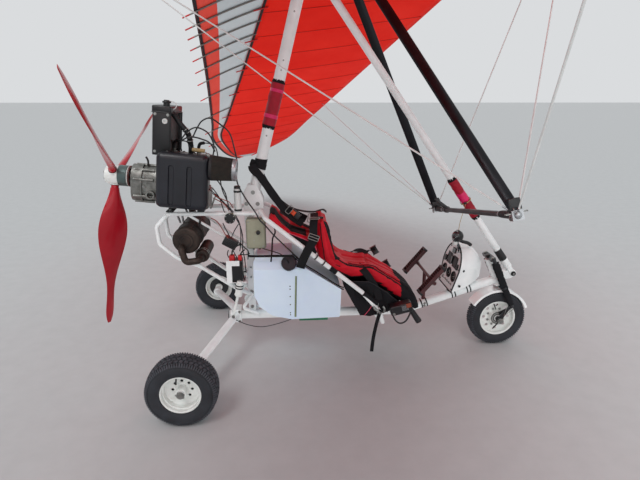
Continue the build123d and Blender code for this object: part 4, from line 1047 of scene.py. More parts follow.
    def place(self, port: float, side: int, aft: float, up: float) -> Vector:
        """A point of one half, with the wing's droop."""
        return self.at(aft, side * port, up - port * math.tan(math.radians(self.droop)))

    def columns(self) -> list[float]:
        """Distances from the keel at which the cloth is drawn.

        Returns:
            The distances, from the keel outward.
        """
        marks = sorted({self.pocket_half, *self.upper_battens, 4.9, 5.2, 5.36, 5.44, 5.48})
        out = []
        for a, b in zip(marks, marks[1:]):
            parts = max(2, round((b - a) / 0.06))
            out.extend(a + (b - a) * n / parts for n in range(parts))
        return [*out, marks[-1]]

    def strip(self, port: float) -> float:
        """Width of the thin red strip along the trailing edge."""
        share = min(1.0, max(0.0, (port - 0.75) / 3.25))
        return self.strip_width[0] + (self.strip_width[1] - self.strip_width[0]) * share

    def half(self, side: int) -> None:
        """Makes one half: upper skin, lower skin, binding, battens and seams.

        Args:
            side: 1 for port, -1 for starboard.
        """
        name = "port" if side > 0 else "starboard"
        upper = self.upper_skin(name, side)
        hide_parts(f"sail_{name}")
        self.lower_skin(name, side)
        self.batten_rods(name, side)
        self.edges(name, side)

    def upper_skin(self, name: str, side: int) -> bpy.types.Object:
        """The cloth over the battens, from under the nose to the trailing edge.

        Args:
            name: Side in the pieces' names.
            side: 1 for port, -1 for starboard.

        Returns:
            The skin.
        """
        rows = 34
        columns = self.columns()
        points = []
        for port in columns:
            row = self.station(port)
            lead, trail, _, nose, _, _ = row
            lift = 0.010 * self.billow(port)
            strip = self.strip(port)
            points.append(self.place(port, side, lead, -nose + 0.0012))
            points.append(self.place(port, side, lead - 0.7 * nose, -0.7 * nose))
            points.append(self.place(port, side, lead - nose, 0))
            points.append(self.place(port, side, lead - 0.7 * nose, 0.7 * nose))
            cuts = [
                lead + (trail - strip - lead) * (n / (rows - 3)) ** 1.15 for n in range(rows - 2)]
            cuts.extend([trail - strip / 2, trail])
            for aft in cuts:
                share = (aft - lead) / (trail - lead)
                bulge = lift * math.sin(math.pi * min(1.0, share * 1.02)) if share < 0.98 else 0.0
                points.append(self.place(port, side, aft, self.upper(row, aft) + bulge))
        deep = rows + 4
        faces = sheet_faces(len(columns), deep, flip=side > 0)
        slots = [1 if r >= deep - 3 else 2 if r < 6 else 0 for r in range(deep - 1)]
        indices = slots * (len(columns) - 1)
        piece = new_piece(
            f"sail_{name}_upper", points, faces, [SAIL_WHITE, SAIL_CORAL, SAIL_RED], "wing", indices
        )
        thicken(piece, 0.0016)
        return piece

    def lower_skin(self, name: str, side: int) -> None:
        """The red cloth below, from the leading edge to where it ends under the upper skin.

        Args:
            name: Side in the pieces' names.
            side: 1 for port, -1 for starboard.
        """
        rows = 22
        columns = [port for port in self.columns() if port < 5.3]
        points = []
        for port in columns:
            row = self.station(port)
            lead, _, rear, *_ = row
            for n in range(rows):
                aft = lead + (rear - lead) * n / (rows - 1)
                sag = -0.004 * self.billow(port) * math.sin(math.pi * n / (rows - 1))
                points.append(self.place(port, side, aft, self.lower(row, aft) + sag - 0.0025))
        faces = sheet_faces(len(columns), rows, flip=side < 0)
        piece = new_piece(f"sail_{name}_lower", points, faces, [SAIL_RED], "wing")
        thicken(piece, 0.0016)

    def batten_rods(self, name: str, side: int) -> None:
        """Batten tubes under the single cloth, with their tips behind the trailing edge.

        Args:
            name: Side in the pieces' names.
            side: 1 for port, -1 for starboard.
        """
        rods, tips, pins = [], [], []
        for port in self.upper_battens:
            row = self.station(port)
            lead, trail, rear, _, _, _ = row
            start = lead + 0.45 * (rear - lead) if port < 0.5 else rear - 0.10
            cuts = [start + (trail - start) * n / 12 for n in range(13)]
            path = [self.place(port, side, aft, self.upper(row, aft) - 0.009) for aft in cuts]
            last = path[-1] - path[-2]
            out = last.normalized()
            rods.append([*path, path[-1] + out * 0.045])
            tips.append([path[-1] + out * 0.045, path[-1] + out * 0.105])
        for port in self.lower_battens:
            row = self.station(port)
            rear = row[2]
            start = self.place(port, side, rear - 0.05, self.lower(row, rear - 0.05) - 0.008)
            end = self.place(port, side, rear + 0.07, self.upper(row, rear + 0.07) - 0.014)
            pins.append([start, end])
        grey = Finish(
            "drawn aluminium batten", "8E8A86", "7C7874", 0.4, Grain.BRUSHED, 1.0, 0.02,
            metallic=0.7)
        tubes(f"battens_{name}", rods, 0.0065, grey, "wing", 10)
        tubes(f"batten_tips_{name}", tips, 0.0055, RED_PLASTIC, "wing", 10)
        tubes(f"lower_batten_ends_{name}", pins, 0.0055, RED_PLASTIC, "wing", 8)

    def edges(self, name: str, side: int) -> None:
        """Black binding on the trailing edge and the lower skin's rear edge, and the cloth's seams.

        Args:
            name: Side in the pieces' names.
            side: 1 for port, -1 for starboard.
        """
        columns = self.columns()
        trailing, rear_edge = [], []
        for port in columns:
            row = self.station(port)
            trailing.append(self.place(port, side, row[1] - 0.006, self.upper(row, row[1] - 0.006)))
            if port < 5.3:
                rear_edge.append(
                    self.place(port, side, row[2] - 0.012, self.lower(row, row[2] - 0.012) - 0.005))
        across = self.axes["keel"]
        strap(f"trailing_binding_{name}", trailing, across, 0.028, "wing", BINDING, 0.0042)
        strap(f"rear_edge_binding_{name}", rear_edge, across, 0.022, "wing", BINDING, 0.0025)
        seams = []
        for n in range(14):
            port = 0.35 + 0.36 * n
            row = self.station(port)
            lead, _, rear, _, _, _ = row
            if port > 4.9:
                continue
            cuts = [lead + 0.02 + (rear - 0.03 - lead) * m / 14 for m in range(15)]
            seams.append([
                self.place(
                    port, side, aft,
                    self.lower(row, aft) - 0.0045
                    - 0.004 * self.billow(port) * math.sin(math.pi * m / 14))
                for m, aft in enumerate(cuts)])
        seam_red = Finish(
            "double stitched seam in red cloth", "A8180C", "941006", 0.6, Grain.RIB, 3.0, 0.2)
        tubes(f"lower_seams_{name}", seams, 0.0022, seam_red, "wing", 6)

    def build(self) -> None:
        """Makes both halves and the pocket over the keel."""
        for side in (1, -1):
            self.half(side)
        self.keel_pocket()

    def keel_pocket(self) -> None:
        """The strip of cloth over the keel that joins the halves."""
        row = self.station(self.pocket_half)
        points = []
        cuts, front = 40, 0.09
        ports = (-0.0357, -0.018, 0, 0.018, 0.0357)
        for n in range(cuts):
            aft = front + (row[1] - front) * n / (cuts - 1)
            for port in ports:
                hump = 0.006 * (1 - (port / self.pocket_half) ** 2)
                points.append(self.at(aft, port, self.upper(row, aft) + hump - 0.004))
        piece = new_piece(
            "keel_pocket_cloth", points, sheet_faces(cuts, len(ports)), [SAIL_WHITE], "wing")
        thicken(piece, 0.0016)
        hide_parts("keel_pocket")


def stitch_tree() -> bpy.types.NodeTree:
    """The Geometry Nodes tree that lays short thread stitches along every path of a mesh.

    Returns:
        The tree, made on the first call.
    """
    known = bpy.data.node_groups.get("sewn stitches")
    if known:
        return known
    tree = bpy.data.node_groups.new("sewn stitches", "GeometryNodeTree")
    for name, kind in (
            ("Paths", "NodeSocketGeometry"), ("Spacing", "NodeSocketFloat"),
            ("Length", "NodeSocketFloat"), ("Thread", "NodeSocketFloat"),
            ("Finish", "NodeSocketMaterial")):
        tree.interface.new_socket(name, in_out="INPUT", socket_type=kind)
    tree.interface.new_socket("Stitches", in_out="OUTPUT", socket_type="NodeSocketGeometry")
    given = add_node(tree, "NodeGroupInput")
    route = add_node(tree, "GeometryNodeMeshToCurve", {}, {"Mesh": given.outputs["Paths"]})
    spots = add_node(
        tree, "GeometryNodeCurveToPoints", {"mode": "LENGTH"},
        {"Curve": route.outputs["Curve"], "Length": given.outputs["Spacing"]})
    thread = add_node(
        tree, "GeometryNodeMeshCylinder", {"Vertices": 5},
        {"Radius": given.outputs["Thread"], "Depth": given.outputs["Length"]})
    placed = add_node(
        tree, "GeometryNodeInstanceOnPoints", {},
        {
            "Points": spots.outputs["Points"], "Instance": thread.outputs["Mesh"],
            "Rotation": spots.outputs["Rotation"]})
    real = add_node(
        tree, "GeometryNodeRealizeInstances", {}, {"Geometry": placed.outputs["Instances"]})
    dressed = add_node(
        tree, "GeometryNodeSetMaterial", {},
        {"Geometry": real.outputs["Geometry"], "Material": given.outputs["Finish"]})
    add_node(tree, "NodeGroupOutput", {}, {"Stitches": dressed.outputs["Geometry"]})
    return tree


def stitching(
        name: str, paths: list[list[Vector]], body: str, spacing: float = 0.007,
        finish: Finish = RED_THREAD) -> bpy.types.Object:
    """Sews a row of stitches along paths, about twice as coarse as real ones, to show.

    Args:
        name: The piece's name.
        paths: Points of each seam.
        body: The body that they ride on.
        spacing: Distance between two stitches.
        finish: The thread.

    Returns:
        One piece with every stitch.
    """
    made = path_mesh(name, paths)
    apply_tree(
        made, stitch_tree(),
        {"Spacing": spacing, "Length": spacing * 0.62, "Thread": 0.0007, "Finish": finish.make()})
    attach(made, body)
    LOG.info("%s on %s: %d seams", name, body, len(paths))
    return made


def loop_of(
        centre: Vector, first: Vector, second: Vector, half_first: float, half_second: float,
        corner: float) -> list[Vector]:
    """A closed rounded rectangle as a path.

    Args:
        centre: Its middle.
        first: Direction of its first side.
        second: Direction of its second side.
        half_first: Half of its length along the first direction.
        half_second: Half of its length along the second one.
        corner: Radius of its corners.

    Returns:
        Its points, the first one repeated at the end.
    """
    path = []
    for n, (a, b) in enumerate(((1, 1), (-1, 1), (-1, -1), (1, -1))):
        middle = centre + first * (a * (half_first - corner)) + second * (
            b * (half_second - corner))
        for step in range(5):
            turn = math.radians(90 * n + 22.5 * step)
            path.append(
                middle + first * (corner * math.cos(turn)) + second * (corner * math.sin(turn)))
    return [*path, path[0]]


@dataclass
class Harness:
    """Seat belts, buckles and the mast's webbing tie.

    Args:
        width: Width of a belt.
    """

    width: float = 0.050

    def build(self) -> None:
        """Makes every belt with its buckles."""
        first = self.shoulder_belts()
        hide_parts("harness")
        self.mast_tie()
        self.near_belt()
        self.lap_belts()
        self.hanging_strap()

    def belt(
            self, name: str, path: list[Point], across: Vector, width: float | None = None,
            steps: int = 8) -> bpy.types.Object:
        """Lays one belt through a few points.

        Args:
            name: The piece's name.
            path: Points along the belt.
            across: Direction of its width.
            width: Its width, or the harness's own if None.
            steps: Divisions between two points.

        Returns:
            The belt.
        """
        route = smooth_path(path, steps)
        made = strap(name, route, across, width or self.width, "frame")
        return made

    def shoulder_belts(self) -> bpy.types.Object:
        """Two wide belts from the mast's foot over the rear seat, and one to the front seat's top.

        Returns:
            The nearest belt.
        """
        flat = Vector((0.74, 0.10, 0.66))
        first = self.belt(
            "shoulder_belt_near",
            [
                (0.400, -0.052, 1.345), (0.444, -0.056, 1.290), (0.512, -0.060, 1.190),
                (0.584, -0.066, 1.088), (0.652, -0.074, 1.020), (0.716, -0.082, 0.980)], flat, 0.052
        )
        self.belt(
            "shoulder_belt_far",
            [
                (0.412, 0.046, 1.345), (0.458, 0.046, 1.252), (0.532, 0.040, 1.130),
                (0.640, 0.034, 1.040), (0.742, 0.026, 0.985)], flat, 0.050)
        self.belt(
            "front_seat_tether",
            [
                (0.560, -0.030, 1.128), (0.640, -0.034, 1.080), (0.716, -0.038, 1.058),
                (0.790, -0.040, 1.052), (0.850, -0.040, 1.066), (0.878, -0.040, 1.050)],
            Vector((0.2, 1, 0)), 0.046)
        self.belt(
            "rear_seat_belt_left",
            [
                (0.560, 0.075, 1.030), (0.640, 0.085, 0.978), (0.720, 0.080, 0.934),
                (0.790, 0.060, 0.905)], Vector((0, 1, 0.2)), 0.048)
        for n, (spot, way) in enumerate(
                (
                    ((0.647, -0.075, 1.060), (0.76, 0, -0.65)),
                    ((0.792, -0.060, 1.008), (0.98, 0, -0.18)))):
            self.press_buckle(f"press_buckle_{n + 1}", Vector(spot), Vector(way).normalized())
        return first

    def press_buckle(self, name: str, centre: Vector, along: Vector) -> None:
        """A black buckle housing with its orange press and a bright frame.

        Args:
            name: The pieces' name.
            centre: Its middle.
            along: Direction of the belt that it holds.
        """
        face = Vector((0, -1, 0))
        side = along.cross(face).normalized()
        housing = block(
            f"{name}_housing", centre + along * 0.030, (0.060, 0.044, 0.017), (along, side, face),
            0.004, BLACK_SATIN, "frame")
        press = block(
            f"{name}_press", centre + along * 0.006 + face * 0.006, (0.030, 0.030, 0.010),
            (along, side, face), 0.003, ORANGE, "frame")
        frame = tubes(
            f"{name}_frame", [loop_of(centre - along * 0.026, along, side, 0.016, 0.030, 0.007)],
            0.0026, STEEL, "frame", 8)

    def mast_tie(self) -> None:
        """Black webbing wound twice round the mast's foot and knotted behind it."""
        foot, top = Vector((0.366, 0, 1.092)), Vector((0.758, 0, 2.609))
        axis = (top - foot).normalized()
        side = Y
        ahead = side.cross(axis).normalized()
        for n, (height, lean) in enumerate(((1.392, 0.004), (1.366, -0.006))):
            centre = foot + axis * ((height - foot.z) / axis.z)
            path = []
            for step in range(33):
                turn = 2 * math.pi * step / 32
                way = toward(ahead, side, turn)
                path.append(centre + way * (0.0395 + 0.0022 * n) + axis * (lean * math.cos(turn)))
            made = strap(f"mast_tie_{n + 1}", path, axis, 0.036, "frame")
        knot = block(
            "mast_tie_knot", foot + axis * 0.286 - ahead * 0.050, (0.040, 0.034, 0.050),
            (ahead, side, axis), 0.012, WEBBING, "frame", 0.8)
        crumple(knot, height=0.004, size=0.02)
        self.belt(
            "mast_tie_tail",
            [(0.384, -0.030, 1.372), (0.392, -0.050, 1.350), (0.420, -0.056, 1.318)],
            Vector((0.8, 0.1, 0.6)), 0.056)

    def near_belt(self) -> None:
        """The loose belt over the near seat tube, with a ladder lock and its frame."""
        out = -0.2415
        flat = Vector((1, 0, 0.15))
        self.belt(
            "near_belt_upper",
            [
                (0.790, -0.120, 1.062), (0.784, -0.205, 1.040), (0.777, out, 1.000),
                (0.777, out - 0.001, 0.940), (0.766, out - 0.003, 0.908)], flat, 0.052)
        self.belt(
            "near_belt_lower",
            [
                (0.792, out + 0.001, 0.948), (0.771, out - 0.004, 0.896),
                (0.741, out - 0.003, 0.842), (0.718, out - 0.001, 0.795),
                (0.700, out - 0.001, 0.752), (0.690, out + 0.004, 0.718)], Vector((0.9, 0, -0.42)),
            0.058)
        along = Vector((0.36, 0, 0.93)).normalized()
        side = Vector((0.93, 0, -0.36)).normalized()
        centre = Vector((0.779, out - 0.006, 0.928))
        rings = [loop_of(centre, along, side, 0.018, 0.034, 0.005)]
        rings.append([centre - side * 0.032, centre + side * 0.032])
        lock = tubes("ladder_lock", rings, 0.0024, STEEL, "frame", 8)
        bar = tubes(
            "belt_spreader",
            [loop_of(
                Vector((0.786, -0.205, 1.046)), X, Vector((0, 1, 0.25)).normalized(), 0.034, 0.012,
                0.006)], 0.0028, STEEL, "frame", 8)

    def lap_belts(self) -> None:
        """The front seat's lap belt: both halves, their buckle and the free end."""
        near = -0.1935
        self.belt(
            "lap_belt_near",
            [
                (1.086, -0.120, 0.690), (1.120, -0.176, 0.672), (1.156, near, 0.628),
                (1.192, near - 0.004, 0.570), (1.218, -0.212, 0.510), (1.226, -0.226, 0.470)],
            Vector((0.9, -0.1, 0.35)), 0.048)
        self.belt(
            "lap_belt_far",
            [
                (1.052, 0.192, 0.640), (1.090, 0.188, 0.690), (1.140, 0.165, 0.706),
                (1.196, 0.130, 0.690)], Vector((0.6, 0.3, 0.2)), 0.048)
        self.belt(
            "lap_belt_far_upper",
            [(1.180, 0.150, 0.684), (1.226, 0.190, 0.700), (1.262, 0.196, 0.690)],
            Vector((0.5, -0.5, 0.3)), 0.045)
        for n, spot in enumerate(((1.262, 0.198, 0.694), (1.356, 0.196, 0.580))):
            tab = block(
                f"far_buckle_{n + 1}", Vector(spot), (0.062, 0.046, 0.015),
                (Vector((0.5, 0, -0.86)), Vector((0.86, 0, 0.5)), Y), 0.004, BLACK_SATIN, "frame")
        anchor = tubes(
            "lap_anchor_plates",
            [
                loop_of(Vector((1.205, -0.232, 0.430)), X, Z, 0.016, 0.024, 0.010),
                loop_of(Vector((1.205, 0.232, 0.430)), X, Z, 0.016, 0.024, 0.010)], 0.003, STEEL,
            "frame", 8)

    def hanging_strap(self) -> None:
        """The loose end of a belt that hangs from the seat tube nearly to the ground."""
        route = [
            (1.236, -0.243, 0.404), (1.228, -0.244, 0.372), (1.217, -0.243, 0.330),
            (1.205, -0.241, 0.270), (1.194, -0.240, 0.205), (1.187, -0.239, 0.140),
            (1.184, -0.238, 0.085)]
        data = bpy.data.curves.new("hanging_route", "CURVE")
        data.dimensions = "3D"
        line = data.splines.new("NURBS")
        line.points.add(len(route) - 1)
        for point, spot in zip(line.points, route):
            point.co = (*spot, 1.0)
        line.order_u = 3
        line.use_endpoint_u = True
        guide = linked("hanging_route", data)
        bpy.context.view_layer.update()
        read = bpy.data.meshes.new_from_object(
            guide.evaluated_get(bpy.context.evaluated_depsgraph_get()))
        path = [corner.co.copy() for corner in read.vertices]
        bpy.data.objects.remove(guide)
        width = 0.025
        made = strap("hanging_strap", path, Vector((1, 0, 0.15)), width, "frame", thickness=0.0022)


def swell(piece: bpy.types.Object, voxel: float, cap: float, pressure: float = 4.0) -> None:
    """Remeshes a closed form and fills it like a pad by cloth simulation.

    Args:
        piece: The closed form, a little smaller than the finished pad.
        voxel: Size of its new faces.
        cap: How far any point may move.
        pressure: Pressure of the filling.
    """
    remesh = piece.modifiers.new("voxels", "REMESH")
    remesh.mode = "VOXEL"
    remesh.voxel_size = voxel
    bake(piece)
    start = [corner.co.copy() for corner in piece.data.vertices]
    cloth = piece.modifiers.new("padding", "CLOTH")
    cloth.settings.use_pressure = True
    cloth.settings.uniform_pressure_force = pressure
    cloth.settings.effector_weights.gravity = 0
    for frame in range(1, PADDING_FRAMES + 1):
        bpy.context.scene.frame_set(frame)
    bake(piece)
    for corner, before in zip(piece.data.vertices, start):
        move = corner.co - before
        if move.length > cap:
            corner.co = before + move * (cap / move.length)
    bpy.context.scene.frame_set(1)


def refine(piece: bpy.types.Object) -> None:
    """Adds one level of subdivision to a finished pad.

    Args:
        piece: The pad.
    """
    level = piece.modifiers.new("smooth", "SUBSURF")
    level.levels = 1
    level.render_levels = 1
    bake(piece)


def surface_of(piece: bpy.types.Object) -> BVHTree:
    """A search tree of a piece's faces."""
    return BVHTree.FromPolygons(
        [corner.co for corner in piece.data.vertices],
        [tuple(face.vertices) for face in piece.data.polygons])


def laid_on(tree: BVHTree, path: list[Vector], lift: float) -> list[Vector]:
    """Lays a path on a surface.

    Args:
        tree: The surface's search tree.
        path: Points near the surface.
        lift: How far the path stands off the surface.

    Returns:
        The points of the path on the surface.
    """
    laid = []
    for spot in path:
        place, normal, _, _ = tree.find_nearest(spot)
        laid.append(place + normal * lift)
    return laid


@dataclass
class Cushion:
    """A padded form between a top and a bottom line, as wide on both sides of the middle plane.

    Args:
        name: The piece's name.
        top: Its upper side edge as distance forward and height, in metres, from end to end.
        bottom: Its lower side edge, point by point below the upper one.
        sink: How far the middle of the upper side lies below its edges, at each point.
        bulge: How far the middle of the lower side stands out, at each point.
        half: Half of its width.
        voxel: Size of the remeshed faces.
        cap: How far the filling may move the cloth.
        steps: Divisions between two points of the outline.
    """

    name: str
    top: tuple[tuple[float, float], ...]
    bottom: tuple[tuple[float, float], ...]
    sink: tuple[float, ...]
    bulge: tuple[float, ...]
    half: float
    voxel: float = 0.006
    cap: float = 0.012
    steps: int = 5

    def spot(self, station: float, v: float, w: float) -> Vector:
        """A point of the form.

        Args:
            station: Place along the form, counted in points of its outline.
            v: Place across it, from -1 to 1.
            w: Place between the lower side, -1, and the upper side, 1.

        Returns:
            The point.
        """
        n = min(int(station), len(self.top) - 2)
        t = station - n

        def blend(row: list[float] | tuple[float, ...]) -> float:
            """The value of one measure between the outline's points."""
            return spline(row[max(n - 1, 0)], row[n], row[n + 1], row[min(n + 2, len(row) - 1)], t)

        top = Vector((blend([p[0] for p in self.top]), 0, blend([p[1] for p in self.top])))
        bottom = Vector((blend([p[0] for p in self.bottom]), 0, blend([p[1] for p in self.bottom])))
        down = (bottom - top).normalized()
        crown = 1 - v * v
        top = top + down * (blend(self.sink) * crown)
        bottom = bottom + down * (blend(self.bulge) * crown)
        place = (top + bottom) / 2 + (top - bottom) / 2 * w
        return place + Y * (v * self.half)

    def form(self, body: str, finish: Finish) -> bpy.types.Object:
        """Makes the closed form before it is filled.

        Args:
            body: The body that it rides on.
            finish: Its first finish.

        Returns:
            The form.
        """
        around = 36
        stations = [n / self.steps for n in range((len(self.top) - 1) * self.steps + 1)]
        points = []
        for station in stations:
            for n in range(around):
                turn = 2 * math.pi * n / around
                across, up = math.cos(turn), math.sin(turn)
                v = math.copysign(abs(across) ** 0.45, across)
                w = math.copysign(abs(up) ** 0.45, up)
                points.append(self.spot(station, v, w))
        made = new_piece(
            self.name, points, tube_faces(len(stations), around, capped=True), [finish], body)
        recalculate(made)
        return made

    def line(self, first: float, last: float, v: float, w: float, count: int = 40) -> list[Vector]:
        """A run along the form between two stations, at a place across and up."""
        return [self.spot(first + (last - first) * n / count, v, w) for n in range(count + 1)]

    def rib(
            self, station: float, v_range: tuple[float, float], w: float, count: int = 24
    ) -> list[Vector]:
        """A run across the form at one station."""
        low, high = v_range
        return [self.spot(station, low + (high - low) * n / count, w) for n in range(count + 1)]


def sew(piece: bpy.types.Object, seams: list[list[Vector]], depth: float, width: float) -> None:
    """Pulls the cloth in along sewn seams.

    Args:
        piece: The filled pad.
        seams: Paths of the seams on or near its surface.
        depth: How deep the cloth is pulled in.
        width: How wide the pulled channel is.
    """
    spots = [spot for seam in seams for spot in seam]
    if not spots:
        return
    near = KDTree(len(spots))
    for n, spot in enumerate(spots):
        near.insert(spot, n)
    near.balance()
    mesh = piece.data
    moves = []
    for corner in mesh.vertices:
        _, _, distance = near.find(corner.co)
        moves.append(depth * math.exp(-(distance / width) ** 2))
    for corner, move, normal in zip(mesh.vertices, moves, [v.normal.copy() for v in mesh.vertices]):
        corner.co -= normal * move
    mesh.update()


def crumple(
        piece: bpy.types.Object, height: float, size: float, stretch: Point = (1.0, 1.0, 1.0),
        seed: float = 0.0) -> None:
    """Adds soft creases to cloth.

    Args:
        piece: The cloth piece.
        height: Height of the creases.
        size: Distance between them.
        stretch: How often they come along each direction, as a share.
        seed: Shifts the pattern.
    """
    mesh = piece.data
    for corner, normal in zip(mesh.vertices, [v.normal.copy() for v in mesh.vertices]):
        spot = Vector(c * s / size for c, s in zip(corner.co, stretch)) + Vector((seed, 0, 0))
        corner.co += normal * (height * noise.noise(spot))
    mesh.update()


def colour_by(
        piece: bpy.types.Object, finishes: list[Finish], choose: Callable[[Vector, Vector], int]
) -> None:
    """Gives each face the finish of its place.

    Args:
        piece: The piece.
        finishes: Finishes of its slots.
        choose: Gives the slot from a face's middle and its direction.
    """
    mesh = piece.data
    mesh.materials.clear()
    for finish in finishes:
        mesh.materials.append(finish.make())
    for face in mesh.polygons:
        face.material_index = choose(face.center, face.normal)
        face.use_smooth = True


@dataclass
class Seats:
    """Both seats, the sling below them and their piping.

    Args:
        front: Form of the front cushion.
        rear: Form of the rear cushion.
        sling_rows: Upper and lower edge of the sling along its length.
        sling_half: Half the sling's width.
    """

    front: Cushion = field(default_factory=lambda: Cushion(
        "front_seat_cushion",
        (
            (0.864, 1.030), (0.892, 0.945), (0.914, 0.858), (0.944, 0.778), (1.016, 0.732),
            (1.105, 0.716), (1.190, 0.712), (1.265, 0.664), (1.338, 0.612), (1.414, 0.550),
            (1.482, 0.476), (1.526, 0.374)),
        (
            (0.822, 1.018), (0.824, 0.928), (0.832, 0.832), (0.850, 0.735), (0.925, 0.652),
            (1.030, 0.614), (1.130, 0.610), (1.200, 0.580), (1.275, 0.530), (1.345, 0.470),
            (1.420, 0.408), (1.480, 0.356)),
        (0.012, 0.020, 0.026, 0.040, 0.052, 0.058, 0.056, 0.046, 0.030, 0.014, 0.0, 0.0),
        (0.008, 0.020, 0.024, 0.014, 0.0, 0.0, 0.0, 0.0, 0.0, 0.0, 0.0, 0.0), 0.181, 0.0074))
    rear: Cushion = field(default_factory=lambda: Cushion(
        "rear_seat_cushion",
        (
            (0.506, 1.082), (0.545, 1.036), (0.590, 0.992), (0.648, 0.952), (0.730, 0.918),
            (0.782, 0.892), (0.812, 0.852), (0.818, 0.806)),
        (
            (0.484, 1.030), (0.520, 0.998), (0.566, 0.960), (0.622, 0.914), (0.680, 0.868),
            (0.726, 0.830), (0.764, 0.800), (0.790, 0.790)),
        (0.0, 0.022, 0.034, 0.042, 0.038, 0.024, 0.006, 0.0),
        (0.0, 0.0, 0.0, 0.0, 0.0, 0.0, 0.0, 0.0), 0.198, 0.006, 0.010))
    sling_rows: tuple[tuple[float, float, float], ...] = (
        # distance forward, height of the upper edge, height of the lower edge
        (0.990, 0.603, 0.556), (1.048, 0.600, 0.446), (1.104, 0.598, 0.345), (1.150, 0.596, 0.340),
        (1.190, 0.577, 0.342), (1.279, 0.517, 0.364), (1.369, 0.437, 0.386), (1.404, 0.400, 0.394))
    sling_half: float = 0.203

    def build(self) -> None:
        """Makes the seats, their seams and the sling."""
        self.front_seat()
        self.rear_seat()
        self.sling()

    def front_seat(self) -> None:
        """Red base and back with black edges, sewn in channels."""
        form = self.front
        piece = form.form("frame", RED_CLOTH)
        swell(piece, form.voxel, form.cap)
        channels = [form.line(6.0, 9.6, v, 1.0) for v in (-0.52, -0.18, 0.18, 0.52)]
        channels.extend(form.line(4.2, 6.0, v, 1.0) for v in (-0.36, 0.36))
        channels.append(form.rib(6.0, (-0.72, 0.72), 1.0))
        channels.extend(form.line(0.3, 3.6, v, -1.0) for v in (-0.45, 0.0, 0.45))
        channels.extend(form.line(0.3, 3.6, v, 1.0) for v in (-0.4, 0.4))
        channels.extend(form.line(0.4, 3.8, side, 0.1) for side in (-1.0, 1.0))
        tree = surface_of(piece)
        edges = [form.line(0.15, 10.6, side * 0.78, 1.0, 90) for side in (-1, 1)]
        sew(piece, [laid_on(tree, seam, 0) for seam in channels], depth=0.009, width=0.010)
        sew(piece, [laid_on(tree, seam, 0) for seam in edges], depth=0.005, width=0.008)
        crumple(piece, height=0.0035, size=0.05, stretch=(0.6, 0.5, 2.2), seed=3.0)
        refine(piece)
        nose = 1.372

        def tone(spot: Vector, way: Vector) -> int:
            """Picks the cloth of one face.

            Args:
                spot: Middle of the face.
                way: Its facing.

            Returns:
                0 for red cloth, 1 for black.
            """
            edge = abs(spot.y) / form.half
            back = spot.z > 0.745 and spot.x < 1.0
            if back:
                front_line = 0.864 + (1.030 - spot.z) * 0.300
                return 1 if spot.x > front_line - 0.020 and edge > 0.72 else 0
            low = 0.629 - 0.53 * (spot.x - 1.026)
            if way.z < -0.5 or spot.z < low or spot.x > nose + 0.02 * edge:
                return 1
            return 1 if edge > 0.86 and way.z > 0.45 else 0

        colour_by(piece, [RED_CLOTH, BLACK_CLOTH], tone)
        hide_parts("front_seat")
        tree = surface_of(piece)
        piping = [
            laid_on(tree, form.line(0.2, 3.8, side * 0.98, -0.86, 40), 0.0015) for side in (-1, 1)]
        piping.extend(
            laid_on(tree, form.line(4.2, 10.8, side * 0.80, 0.99, 70), 0.0015) for side in (-1, 1))
        trim = tubes("front_seat_piping", piping, 0.0032, BLACK_CLOTH, "frame", 8)
        stitches = [
            laid_on(tree, form.line(6.05, 9.5, v, 1.0, 50), 0.0006)
            for v in (-0.52, -0.18, 0.18, 0.52)]
        stitches.append(laid_on(tree, form.rib(6.0, (-0.72, 0.72), 1.0, 40), 0.0006))
        stitching("front_seat_stitches", stitches, "frame")

    def rear_seat(self) -> None:
        """Red bolsters around a black centre, with black side panels under a pink piping."""
        form = self.rear
        piece = form.form("frame", RED_CLOTH)
        swell(piece, form.voxel, form.cap)
        tree = surface_of(piece)
        seams = [form.line(0.4, 6.6, v, 1.0) for v in (-0.55, 0.55)]
        seams.append(form.rib(2.9, (-0.95, 0.95), 1.0))
        seams.extend(form.line(3.2, 6.2, v, 1.0) for v in (-0.25, 0.25))
        sew(piece, [laid_on(tree, seam, 0) for seam in seams], depth=0.009, width=0.011)
        crumple(piece, height=0.003, size=0.045, stretch=(1.0, 0.7, 1.0), seed=8.0)
        refine(piece)

        def tone(spot: Vector, way: Vector) -> int:
            """Picks the cloth of one face.

            Args:
                spot: Middle of the face.
                way: Its facing.

            Returns:
                0 for red cloth, 1 for black.
            """
            edge = abs(spot.y) / form.half
            crest = 0.985 - (spot.x - 0.600) * 0.50
            if edge > 0.93 and spot.x > 0.625 and spot.z < crest - 0.004:
                return 1
            if edge < 0.52 and spot.x < 0.74:
                return 1
            return 1 if way.z < -0.4 else 0

        colour_by(piece, [RED_CLOTH, BLACK_CLOTH], tone)
        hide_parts("rear_seat")
        tree = surface_of(piece)
        piping = [laid_on(tree, form.line(2.7, 6.4, side, 0.62, 30), 0.0015) for side in (-1, 1)]
        trim = tubes("rear_seat_piping", piping, 0.0034, PINK_PIPING, "frame", 8)
        stitching(
            "rear_seat_stitches",
            [laid_on(tree, form.line(0.5, 6.4, v, 1.0, 40), 0.0006) for v in (-0.55, 0.55)], "frame"
        )

